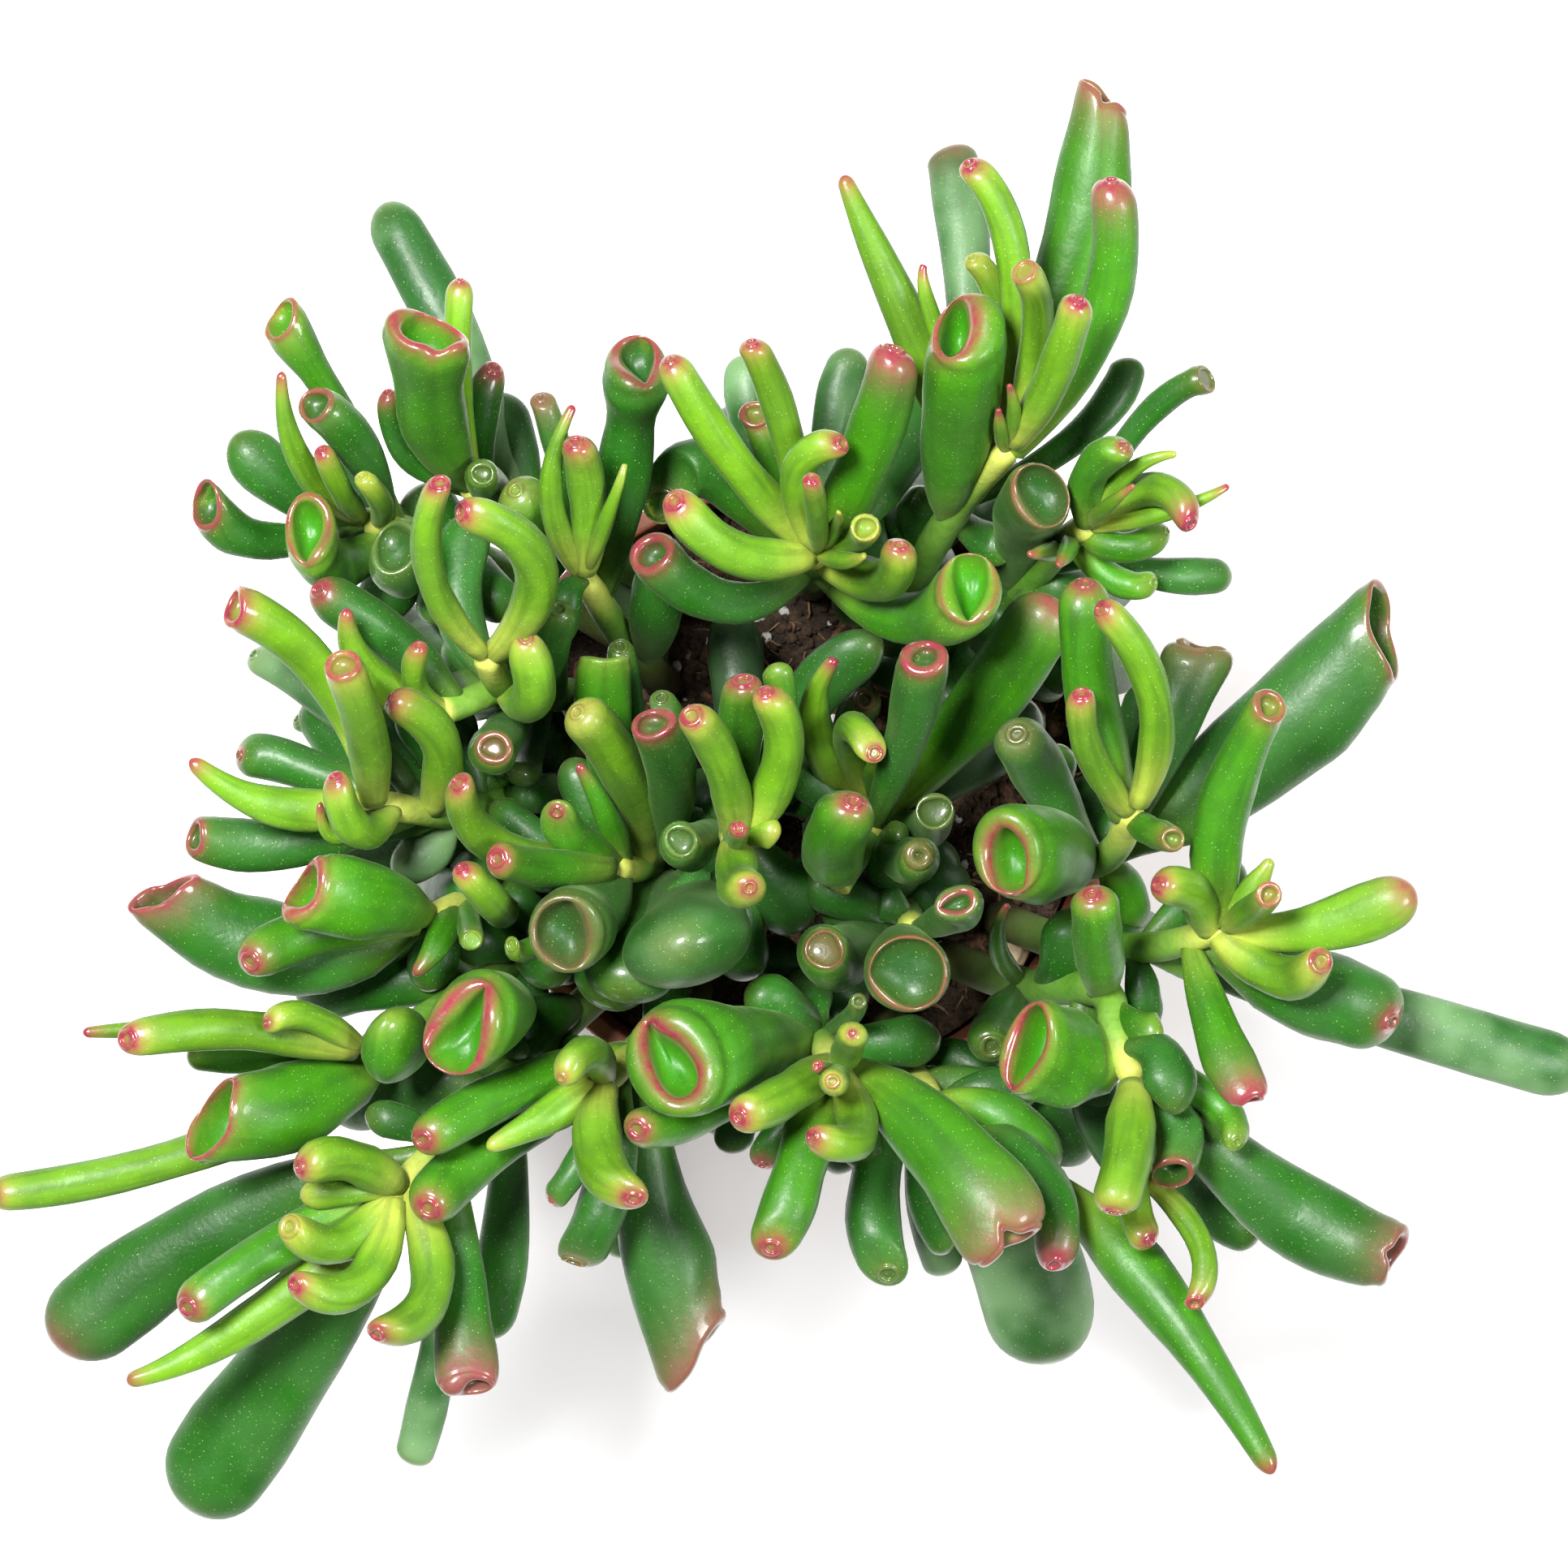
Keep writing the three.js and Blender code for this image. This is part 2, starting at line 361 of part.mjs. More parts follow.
    leaves: [
      ["finger", 0, 6.6, [-62, -36, 147], [-80, -33, 159], [-98.3, -34.3, 167], [4.8, 4.8, 180, 65, 0]],
      ["point", 0, 4.6, [-61, -35.5, 146], [-84, -33, 150], [-105, -33.3, 154]],
      ["blunt", 1, 5, [-60, -35, 145], [-76, -37, 143], [-89, -36.5, 143]],
      ["finger", 0, 4.6, [-62, -36, 147], [-70, -31, 158], [-76.7, -31.8, 163], [2.8, 2.8, 180, 50, 0]],
      ["blunt", 1, 8, [-53, -32, 138], [-58, -36.5, 147], [-57.8, -29, 158]],
      ["spout", 1, 14.5, [-44, -26, 126], [-42.5, -28, 148], [-49.2, -33.6, 162], [10.6, 6.3, 150, 66, 63]],
      ["cup", 1, 15, [-58, -36.5, 137], [-70, -43.5, 148], [-85, -46.6, 157], [15.5, 9, 155, 30, 58]],
      ["finger", 0, 6.3, [-65, -43, 138], [-92, -53, 141], [-119, -58.2, 145], [4, 4, 180, 30, 0]],
    ],
  },
  {
    name: "shoot_south_west",
    foot: [-19, -21],
    stems: [[[-32, -33, 118], [-46, -47, 138], [-57, -58, 150]]],
    leaves: [
      ["finger", 0, 7, [-56, -57, 149], [-64, -53, 159], [-71.7, -54, 165], [3.2, 3, 180, 45, 0]],
      ["blunt", 0, 4.6, [-57, -58, 149], [-64, -57.8, 153], [-71.5, -58.5, 152.5]],
      ["finger", 0, 6.6, [-56, -57, 149], [-65, -65.5, 154], [-73.3, -63.2, 161], [4.6, 4.4, 150, 60, 0]],
      ["finger", 0, 6.6, [-57, -58, 150], [-62, -71.5, 157], [-72.4, -72, 164], [3.8, 3.8, 180, 55, 0]],
      ["finger", 0, 7, [-55, -56, 148], [-51, -72.5, 156], [-59.8, -79.8, 164], [4.6, 4.4, -130, 45, 0]],
      ["cup", 2, 9.8, [-49, -50, 142], [-46.5, -73, 146], [-45.8, -87.6, 151], [10, 6, -85, 30, 0]],
      ["blunt", 3, 7.6, [-48, -49, 140], [-50, -80, 129], [-54.5, -99.7, 123]],
      ["blunt", 2, 8, [-40, -41, 130], [-39.5, -60, 123], [-43, -80.5, 119]],
      ["finger", 0, 7.2, [-55, -56, 148], [-77, -76.5, 147], [-98.3, -87, 148], [2.8, 2.6, -150, 20, 0]],
      ["finger", 1, 7.4, [-54, -55, 147], [-76, -67, 152], [-89, -75.6, 157], [5, 5, -160, 55, 0]],
      ["blunt", 2, 16.5, [-53, -54, 146], [-72, -82, 125], [-88.4, -107, 116]],
      ["blunt", 2, 14.5, [-51, -52, 143], [-84, -63.5, 134], [-109, -82, 131]],
    ],
  },
  {
    name: "shoot_south_left",
    foot: [-11, -27],
    stems: [[[-17, -33, 120], [-24.6, -41, 148]]],
    leaves: [
      ["point", 0, 5.2, [-24.6, -41, 147], [-34, -46, 152], [-43, -50.8, 155]],
      ["finger", 0, 8, [-24.6, -41, 147], [-24.5, -51, 158], [-19.3, -58, 166], [4.4, 3.6, -100, 60, 0]],
      ["finger", 2, 4.6, [-24, -40, 144], [-28, -52, 147], [-33, -59.3, 147], [2, 2, -140, 20, 0]],
      ["finger", 2, 8, [-23, -39, 141], [-24, -57, 143], [-29.4, -68.6, 141], [6.5, 3.4, -110, 30, -10]],
      ["cup", 2, 16.4, [-21, -37, 134], [-16.5, -62, 130], [-10.5, -82.3, 130], [14.5, 8, -34, -5, 56]],
      ["blunt", 3, 6.5, [-21, -37, 132], [-21, -55, 121], [-22, -68, 115]],
      ["finger", 0, 6, [-24.6, -41, 147], [-27, -36.5, 157], [-31.3, -40.3, 164], [2.8, 2.8, -140, 60, 0]],
      ["finger", 1, 7.8, [-20, -36, 132], [-38, -42.5, 149], [-52.5, -50.2, 161], [4.6, 4.6, -150, 60, 0]],
      ["finger", 1, 9, [-22, -38, 138], [-43, -49.5, 142], [-53.3, -60.2, 156], [5.4, 5.2, -130, 65, 0]],
    ],
  },
  {
    name: "shoot_south",
    foot: [9, -31],
    stems: [[[8, -33, 120], [11, -39, 148]]],
    leaves: [
      ["finger", 0, 5, [11, -39, 148], [12.7, -36, 157], [13.5, -33.5, 165], [3, 3, 90, 75, 0]],
      ["finger", 0, 5, [11, -39, 148], [10.8, -40, 157], [10.5, -40.8, 166], [3, 3, 0, 88, 0]],
      ["finger", 0, 6.6, [11, -39, 147], [14.5, -49, 158], [7.3, -49.4, 166], [3.2, 3.2, 180, 50, 0]],
      ["finger", 0, 8.6, [10.5, -38, 144], [5.2, -55, 152], [1, -66.5, 157], [4.6, 4.2, -100, 65, 0]],
      ["finger", 2, 5.6, [10, -37, 138], [3.5, -47, 142], [-0.4, -53.7, 142], [2.6, 2.4, -110, 40, 0]],
      ["finger", 0, 7, [10.5, -38, 145], [1.5, -41, 157], [-6.3, -44.3, 164], [3.8, 3.8, -160, 60, 0]],
      ["blunt", 2, 6.4, [8.5, -34, 124], [-1.5, -42, 132], [-5, -52, 133]],
      ["spout", 1, 15, [8.5, -34, 124], [-2, -33, 146], [-13, -35.6, 163], [12.5, 7.2, 120, 70, 117]],
      ["finger", 1, 7.4, [9, -35, 130], [-8, -43.5, 146], [-20.8, -49, 159], [5, 5, -150, 60, 0]],
      ["cup", 1, 15, [10, -37, 138], [27, -50, 157], [37.8, -65.8, 166], [16, 8.4, -56, 8, 34]],
    ],
  },
];

const leafColours = [0x86b82a, 0x4f9a2c, 0x2c6428, 0x56745a];

function spreadAt(height) {
  return (eye.z - height) / (eye.z - readingHeight);
}

// A point of the plan above, at its true place.
function place(point) {
  const spread = spreadAt(point[2]);
  return new THREE.Vector3(
    eye.x + (point[0] - potInPlan.x - eye.x) * spread,
    eye.y + (point[1] - potInPlan.y - eye.y) * spread,
    point[2],
  );
}

function smooth(from, to, value) {
  const share = Math.min(1, Math.max(0, (value - from) / (to - from)));
  return share * share * (3 - 2 * share);
}

// Value at s of a line through [s, value] pairs.
function along(pairs, s) {
  for (let i = 1; i < pairs.length; i++) {
    if (s <= pairs[i][0]) {
      const share = (s - pairs[i - 1][0]) / (pairs[i][0] - pairs[i - 1][0]);
      return pairs[i - 1][1] + (pairs[i][1] - pairs[i - 1][1]) * Math.max(0, share);
    }
  }
  return pairs[pairs.length - 1][1];
}

// How each kind is shaped: the outline of its revolved skin as [share of radius, place along the leaf],
// a plainer one for slim leaves, how its half width changes along it, and how thick it is for its width.
const kinds = {
  finger: {
    skin: [[0, 0], [1, 0], [1, 0.38], [1, 0.72], [1, 0.93], [1, 1], [0, 0.95]],
    slimSkin: [[0, 0], [1, 0], [1, 0.52], [1, 0.92], [1, 1], [0, 0.95]],
    width: [[0, 0.42], [0.3, 0.86], [0.6, 1], [0.9, 0.94], [1, 0.9]],
    thick: 0.9,
    mouthFrom: 0.92,
    turnFrom: 0.55,
  },
  cup: {
    skin: [[0, 0], [1, 0], [1, 0.34], [1, 0.68], [1, 0.985], [0.84, 1], [0, 0.76]],
    slimSkin: [[0, 0], [1, 0], [1, 0.34], [1, 0.68], [1, 0.98], [0.8, 1], [0, 0.78]],
    width: [[0, 0.36], [0.25, 0.64], [0.5, 0.85], [0.75, 1], [1, 1]],
    thick: 0.72,
    mouthFrom: 0.6,
    turnFrom: 0.45,
  },
  point: {
    skin: [[0, 0], [1, 0], [1, 0.36], [1, 0.72], [0, 1]],
    slimSkin: [[0, 0], [1, 0], [1, 0.4], [1, 0.76], [0, 1]],
    width: [[0, 0.5], [0.3, 0.92], [0.55, 1], [0.8, 0.85], [1, 0.7]],
    thick: 0.8,
  },
  blunt: {
    skin: [[0, 0], [1, 0], [1, 0.36], [1, 0.72], [0.78, 0.94], [0, 1]],
    slimSkin: [[0, 0], [1, 0], [1, 0.45], [0.9, 0.88], [0, 1]],
    width: [[0, 0.36], [0.25, 0.66], [0.5, 0.88], [0.75, 1], [1, 0.95]],
    thick: 0.68,
  },
};
kinds.spout = kinds.cup;

const frameSteps = 24;
const largestFootRadius = 1.8;
const smallestHalf = 0.5;
const footLength = 0.45;
const spoutSharpness = 3;
const slimWidth = 7.9;
const broadWidth = 12;
const slimSides = 5;
const plainSides = 6;
const broadSides = 8;

// One leaf with everything that its shape needs, from a row of the table.
function makeLeaf(row, stemPoints) {
  const [kind, tone, width, foot, bend, tip, mouth] = row;
  const spread = spreadAt(tip[2]);
  const start = place(foot);
  // The leaf grows out of the nearest point of its own stem.
  const root = stemPoints.reduce((a, b) => (b.distanceTo(start) < a.distanceTo(start) ? b : a));
  const leaf = {
    kind,
    tone,
    shape: kinds[kind],
    half: (width * spread) / 2,
    root: root.clone(),
    bend: place(bend),
    tip: place(tip),
    mouth: null,
  };
  if (mouth) {
    const bearing = THREE.MathUtils.degToRad(mouth[2]);
    const rise = THREE.MathUtils.degToRad(mouth[3]);
    const axis = THREE.MathUtils.degToRad(mouth[4]);
    leaf.mouth = {
      long: (mouth[0] * spread) / (kind === "spout" ? 1 : 2),
      short: (mouth[1] * spread) / (kind === "spout" ? 1 : 2),
      normal: new THREE.Vector3(
        Math.cos(bearing) * Math.cos(rise),
        Math.sin(bearing) * Math.cos(rise),
        Math.sin(rise),
      ),
      axis: new THREE.Vector3(Math.cos(axis), Math.sin(axis), 0),
    };
  }
  return leaf;
}

// The middle line of a leaf: a parabola from its root through its bend to its tip.
function middleLine(leaf) {
  const control = leaf.bend.clone().multiplyScalar(2);
  control.addScaledVector(leaf.root, -0.5).addScaledVector(leaf.tip, -0.5);
  return new THREE.QuadraticBezierCurve3(leaf.root, control, leaf.tip);
}

function halfWidth(leaf, s) {
  const plain = leaf.half * along(leaf.shape.width, s);
  const rootward = largestFootRadius + (leaf.half - largestFootRadius) * smooth(0, footLength, s);
  return Math.min(plain, Math.max(rootward, smallestHalf));
}

// Radius of the mouth's edge in the direction phi, measured from its long axis.
function mouthRadius(leaf, phi) {
  const { long, short } = leaf.mouth;
  if (leaf.kind === "spout") {
    return short + (long - short) * Math.pow((1 + Math.cos(phi)) / 2, spoutSharpness);
  }
  return (long * short) / Math.hypot(short * Math.cos(phi), long * Math.sin(phi));
}

// Local frames along a leaf, carried on from the root without twist. The planes turn to the mouth's.
function leafFrames(leaf) {
  const line = middleLine(leaf);
  const frames = [];
  const run = leaf.tip.clone().sub(leaf.root);
  let side = new THREE.Vector3(-run.y, run.x, 0);
  if (side.length() < smallestHalf) side.set(1, 0, 0);
  for (let i = 0; i <= frameSteps; i++) {
    const s = i / frameSteps;
    const normal = line.getTangent(s);
    if (leaf.mouth) {
      const turn = smooth(leaf.shape.turnFrom, 1, s);
      normal.multiplyScalar(1 - turn).addScaledVector(leaf.mouth.normal, turn).normalize();
    }
    side = side.clone().addScaledVector(normal, -side.dot(normal)).normalize();
    frames.push({ normal, side });
  }
  return { line, frames };
}

function frameAt(bones, leaf, s) {
  const i = Math.min(frameSteps - 1, Math.floor(s * frameSteps));
  const share = s * frameSteps - i;
  const normal = bones.frames[i].normal.clone().lerp(bones.frames[i + 1].normal, share).normalize();
  const side = bones.frames[i].side.clone().lerp(bones.frames[i + 1].side, share);
  side.addScaledVector(normal, -side.dot(normal)).normalize();
  const up = normal.clone().cross(side);
  return { centre: bones.line.getPoint(s), normal, side, up };
}

// Faceted rings lie a little inside the round leaf that they stand for, and this makes up for it.
function ringGrowth(sides) {
  return 2 / (1 + Math.cos(Math.PI / sides));
}

function solidFrom(positions, index) {
  const mesh = new wasm.Mesh({
    numProp: 3,
    vertProperties: Float32Array.from(positions),
    triVerts: Uint32Array.from(index),
  });
  const solid = new wasm.Manifold(mesh);
  if (solid.volume() > 0) return solid;
  const turned = [];
  for (let i = 0; i < index.length; i += 3) turned.push(index[i], index[i + 2], index[i + 1]);
  return solidFrom(positions, turned);
}

// A revolved geometry as shared vertices and faces, without the faces that close up at its poles.
function openOut(geometry) {
  geometry.deleteAttribute("normal");
  geometry.deleteAttribute("uv");
  const merged = mergeVertices(geometry, 1e-5);
  const index = [];
  for (let i = 0; i < merged.index.count; i += 3) {
    const [a, b, c] = [merged.index.getX(i), merged.index.getX(i + 1), merged.index.getX(i + 2)];
    if (a !== b && b !== c && a !== c) index.push(a, b, c);
  }
  return { points: merged.attributes.position, index };
}

// A leaf is a revolved skin that is bent along its middle line and drawn out to its mouth's shape.
function leafSolid(leaf) {
  const slim = leaf.half * 2 < slimWidth;
  const sides = slim ? slimSides : leaf.half * 2 < broadWidth ? plainSides : broadSides;
  const skin = slim ? leaf.shape.slimSkin : leaf.shape.skin;
  const profile = skin.map(([radius, s]) => new THREE.Vector2(radius, s));
  const { points, index } = openOut(new THREE.LatheGeometry(profile, sides));
  const bones = leafFrames(leaf);
  const end = frameAt(bones, leaf, 1);
  const mouthTurn = leaf.mouth ? Math.atan2(leaf.mouth.axis.dot(end.up), leaf.mouth.axis.dot(end.side)) : 0;
  const grow = ringGrowth(sides);
  const positions = [];
  for (let i = 0; i < points.count; i++) {
    const radius = Math.hypot(points.getX(i), points.getZ(i));
    const s = points.getY(i);
    const phi = Math.atan2(points.getX(i), points.getZ(i)) + (leaf.kind === "spout" ? mouthTurn : 0);
    const { centre, side, up } = frameAt(bones, leaf, s);
    const half = halfWidth(leaf, s);
    let across = half * Math.cos(phi);
    let through = half * leaf.shape.thick * Math.sin(phi);
    if (leaf.mouth) {
      const open = smooth(leaf.shape.mouthFrom, 1, s);
      const edge = mouthRadius(leaf, phi - mouthTurn);
      across += (edge * Math.cos(phi) - across) * open;
      through += (edge * Math.sin(phi) - through) * open;
    }
    const at = centre;
    at.addScaledVector(side, across * radius * grow).addScaledVector(up, through * radius * grow);
    positions.push(at.x, at.y, at.z);
  }
  return solidFrom(positions, index);
}

// Stems are tubes along smooth curves. A main stem starts upright in the soil, a branch on a main stem.
function stemCurves(shoot) {
  return shoot.stems.map((points, i) => {
    const lower = i === 0 ? stemUpright.map((z) => [shoot.foot[0], shoot.foot[1], z]) : [];
    const placed = points.map(place);
    if (i === 0) {
      const foot = place([shoot.foot[0], shoot.foot[1], soilHeight]);
      lower.reverse().forEach((point) => placed.unshift(new THREE.Vector3(foot.x, foot.y, point[2])));
    }
    return new THREE.CatmullRomCurve3(placed, false, "catmullrom", 0.5);
  });
}

const taperFrom = 0.35;

function stemRadius(main, s) {
  const thick = main ? stemFootRadius : stemTipRadius;
  return thick + (stemTipRadius - thick) * smooth(taperFrom, 1, s);
}

// A place just past a stem's end, for the point of its low cap.
const pastEnd = 1.001;

function stemSolid(curve, main) {
  const spans = curve.points.length - 1;
  const rings = main ? [0, 2 / spans] : [0];
  for (let i = main ? 3 : 1; i <= spans; i++) rings.push(i / spans);
  const profile = [new THREE.Vector2(0, 0)];
  rings.forEach((s) => profile.push(new THREE.Vector2(1, s)));
  profile.push(new THREE.Vector2(0, pastEnd));
  const { points, index } = openOut(new THREE.LatheGeometry(profile, stemSides));
  const positions = [];
  const frames = new Map();
  let side = new THREE.Vector3(1, 0, 0);
  rings.forEach((s) => {
    const normal = curve.getTangent(Math.min(s, 1));
    side = side.clone().addScaledVector(normal, -side.dot(normal)).normalize();
    frames.set(s.toFixed(4), { normal, side, up: normal.clone().cross(side) });
  });
  for (let i = 0; i < points.count; i++) {
    const s = Math.min(points.getY(i), 1);
    const frame = frames.get(s.toFixed(4)) || frames.get((1).toFixed(4));
    const radius = Math.hypot(points.getX(i), points.getZ(i));
    const phi = Math.atan2(points.getX(i), points.getZ(i));
    const at = curve.getPoint(s);
    const reach = radius * stemRadius(main, s);
    at.addScaledVector(frame.side, Math.cos(phi) * reach).addScaledVector(frame.up, Math.sin(phi) * reach);
    if (points.getY(i) > 1) at.addScaledVector(frame.normal, stemCap);
    positions.push(at.x, at.y, at.z);
  }
  return solidFrom(positions, index);
}

const mouthSamplesFrom = 0.85;
const spoutReach = 0.7;

// Points along a leaf with the half width and half thickness that it has there.
function leafSamples(leaf) {
  const line = middleLine(leaf);
  const samples = [];
  for (let i = 1; i <= samplesPerLeaf; i++) {
    const s = i / samplesPerLeaf;
    let wide = halfWidth(leaf, s);
    let deep = wide * leaf.shape.thick;
    if (leaf.mouth && s > mouthSamplesFrom) {
      wide = Math.max(leaf.mouth.long, leaf.mouth.short) * (leaf.kind === "spout" ? spoutReach : 1);
      deep = Math.max(deep, leaf.mouth.short * Math.cos(Math.asin(leaf.mouth.normal.z)));
    }
    samples.push({ at: line.getPoint(s), s, wide, deep });
  }
  return samples;
}

function stemSamples(curve, main) {
  const steps = samplesPerSpan * (curve.points.length - 1);
  const samples = [];
  for (let i = 0; i <= steps; i++) {
    const reach = stemRadius(main, i / steps);
    samples.push({ at: curve.getPoint(i / steps), s: 0, wide: reach, deep: reach });
  }
  return samples;
}

// The way and distance that sample a moves to come clear of sample b, or null where it is clear.
function wayOut(a, b, gap) {
  const reach = a.wide + b.wide + gap;
  const height = a.deep + b.deep + gap;
  const x = a.at.x - b.at.x;
  const y = a.at.y - b.at.y;
  const z = a.at.z - b.at.z;
  const near = (x * x + y * y) / (reach * reach) + (z * z) / (height * height);
  if (near >= 1) return null;
  const out = new THREE.Vector3(x * sidewaysShare, y * sidewaysShare, z);
  const length = out.length();
  if (length < 1e-6) out.set(0, 0, 1);
  else out.multiplyScalar(1 / length);
  return out.multiplyScalar((1 - Math.sqrt(near)) * height);
}

// The height of what lies below a leaf sample: nothing beyond the pot, its rim, or the soil.
function floorBelow(sample) {
  const reach = Math.hypot(sample.at.x, sample.at.y);
  if (reach > potRimRadius + sample.wide) return 0;
  return reach > potRimRadius - rimShoulder - sample.wide ? potHeight : soilHeight + soilHighest;
}

// Leaves bend a little away from each other, from other shoots' stems and from the pot and soil.
function growApart(plants) {
  const leaves = plants.flatMap((plant) => plant.leaves.map((leaf) => ({ leaf, plant })));
  const stems = plants.map((plant) => plant.curves.flatMap((curve, i) => stemSamples(curve, i === 0)));
  for (let step = 0; step < growthSteps; step++) {
    const samples = leaves.map(({ leaf }) => leafSamples(leaf));
    const shift = leaves.map(() => ({ bend: new THREE.Vector3(), tip: new THREE.Vector3(), b: 0, t: 0 }));
    const push = (i, sample, out, share) => {
      const b = 4 * sample.s * (1 - sample.s);
      const t = Math.max(0, sample.s * (2 * sample.s - 1));
      shift[i].bend.addScaledVector(out, b * share);
      shift[i].tip.addScaledVector(out, t * share);
      shift[i].b += b;
      shift[i].t += t;
    };
    for (let i = 0; i < leaves.length; i++) {
      for (let j = i + 1; j < leaves.length; j++) {
        const siblings = leaves[i].plant === leaves[j].plant;
        const gap = siblings ? siblingGap : leafGap;
        for (const a of samples[i]) {
          for (const b of samples[j]) {
            if (siblings && (a.s < siblingsFrom || b.s < siblingsFrom)) continue;
            const out = wayOut(a, b, gap);
            if (!out) continue;
            push(i, a, out, 0.5);
            push(j, b, out, -0.5);
          }
        }
      }
      plants.forEach((plant, p) => {
        if (plant === leaves[i].plant) return;
        for (const a of samples[i]) {
          for (const b of stems[p]) {
            const out = wayOut(a, b, leafGap);
            if (out) push(i, a, out, 1);
          }
        }
      });
      for (const a of samples[i]) {
        const lack = floorBelow(a) + leafGap + a.deep - a.at.z;
        if (lack > 0) push(i, a, new THREE.Vector3(0, 0, lack), 1);
      }
    }
    leaves.forEach(({ leaf }, i) => {
      if (shift[i].b > 0) leaf.bend.addScaledVector(shift[i].bend, shiftShare / shift[i].b);
      if (shift[i].t > 0) leaf.tip.addScaledVector(shift[i].tip, shiftShare / shift[i].t);
    });
  }
}

function meshFrom(solid, name, material) {
  const made = solid.getMesh();
  const geometry = new THREE.BufferGeometry();
  geometry.setAttribute("position", new THREE.BufferAttribute(new Float32Array(made.vertProperties), 3));
  geometry.setIndex(new THREE.BufferAttribute(new Uint32Array(made.triVerts), 1));
  geometry.computeVertexNormals();
  const mesh = new THREE.Mesh(geometry, material);
  mesh.name = name;
  return mesh;
}

// The shared points and faces of an outline of [radius, height] turned about the pot's axis.
function turnedFaces(outline, sides) {
  const profile = outline.map(([radius, height]) => new THREE.Vector2(radius, height));
  const geometry = new THREE.LatheGeometry(profile, sides);
  geometry.rotateX(Math.PI / 2);
  const { points, index } = openOut(geometry);
  return { positions: Array.from(points.array), index };
}

function turned(outline, sides) {
  const { positions, index } = turnedFaces(outline, sides);
  return solidFrom(positions, index);
}

// A round cutter from one height to another, standing at x, y.
function holeCutter(radius, from, to, x, y) {
  return turned([[0, from], [radius, from], [radius, to], [0, to]], holeSides).translate([x, y, 0]);
}

const bandFoot = potHeight - potBandHeight;
const innerNeck = bandFoot - 2;
const pastFace = 1;

function wallRadius(height) {
  return potFootRadius + ((potWallRadius - potFootRadius) * height) / bandFoot;
}

function makePot() {
  const outline = [
    [0, 0],
    [potFootRadius, 0],
    [potWallRadius, bandFoot],
    [potRimRadius, bandFoot],
    [potRimRadius, potHeight],
    [potRimRadius - 2 * potWall, potHeight],
    [wallRadius(bandFoot) - potWall, innerNeck],
    [wallRadius(potFloor) - potWall, potFloor],
    [0, potFloor],
  ];
  let pot = turned(outline, roundSides);
  for (let i = 0; i < drainHoles; i++) {
    const turn = ((i + 0.5) * 2 * Math.PI) / drainHoles;
    const x = drainRingRadius * Math.cos(turn);
    const y = drainRingRadius * Math.sin(turn);
    pot = pot.subtract(holeCutter(drainHoleRadius, -pastFace, potFloor + pastFace, x, y));
  }
  const plastic = new THREE.MeshStandardMaterial({ color: 0x8a4a33, roughness: 0.6, metalness: 0 });
  return meshFrom(pot, "pot", plastic);
}

// The soil's loose top: low waves, which fade out before the soil's edge.
function soilWave(x, y) {
  return soilRoughness * (Math.sin(x * 0.21 + 1) * Math.cos(y * 0.17) + 0.5 * Math.sin(x * 0.43 - y * 0.37));
}

function makeSoil(plants) {
  const bottom = potFloor + clearance;
  const crown = soilHeight + soilRoughness / 2;
  const edge = potRimRadius - 2 * potWall - clearance - 1.2;
  const { positions, index } = turnedFaces(
    [
      [0, bottom],
      [wallRadius(bottom) - potWall - clearance, bottom],
      [wallRadius(innerNeck) - potWall - clearance, innerNeck],
      [edge, soilHeight],
      ...soilRingRadii.map((radius) => [radius, crown]),
      [0, crown],
    ],
    roundSides,
  );
  for (let i = 0; i < positions.length; i += 3) {
    const [x, y, z] = positions.slice(i, i + 3);
    if (z > soilHeight) positions[i + 2] += soilWave(x, y);
  }
  let soil = solidFrom(positions, index);
  const radius = stemFootRadius + holeGap;
  const low = stemUpright[0] - holeGap;
  const high = soilHeight + 2 * soilHighest;
  for (const plant of plants) {
    const foot = plant.curves[0].points[0];
    soil = soil.subtract(holeCutter(radius, low, high, foot.x, foot.y));
  }
  const earth = new THREE.MeshStandardMaterial({ color: 0x2e2119, roughness: 0.95, metalness: 0 });
  return meshFrom(soil, "soil", earth);
}

const stemPointCount = 60;
const lowestRoot = 8;

function makePlants() {
  const plants = shoots.map((shoot) => {
    const curves = stemCurves(shoot);
    const stemPoints = curves.flatMap((curve, i) => {
      const all = curve.getPoints(stemPointCount);
      return all.filter((point) => i > 0 || point.z > soilHeight + lowestRoot);
    });
    return { name: shoot.name, curves, leaves: shoot.leaves.map((row) => makeLeaf(row, stemPoints)) };
  });
  growApart(plants);
  return plants;
}

// Where leaves' feet close in a pocket, it is filled: only the shoot's outer skin is kept.
function outerSkin(solid) {
  const skins = solid.decompose();
  const outer = skins.reduce((a, b) => (b.volume() > a.volume() ? b : a));
  const loose = skins.filter((skin) => skin !== outer && skin.volume() > 0);
  if (loose.length > 0) throw new Error("a leaf hangs loose from its stem");
  return outer;
}

function makeShoot(plant) {
  let whole = plant.curves.map((curve, i) => stemSolid(curve, i === 0)).reduce((a, b) => a.add(b));
  const tones = [];
  for (const leaf of plant.leaves) {
    whole = whole.add(leafSolid(leaf));
    tones.push(new THREE.Color(leafColours[leaf.tone]));
  }
  const colour = new THREE.Color(0, 0, 0);
  tones.forEach((tone) => colour.add(tone.multiplyScalar(1 / tones.length)));
  const skin = new THREE.MeshStandardMaterial({ color: colour, roughness: 0.32, metalness: 0 });
  return meshFrom(outerSkin(whole), plant.name, skin);
}

const plants = makePlants();
const pottedPlant = new THREE.Group();
pottedPlant.add(makePot(), makeSoil(plants));
plants.forEach((plant) => pottedPlant.add(makeShoot(plant)));

export default pottedPlant;
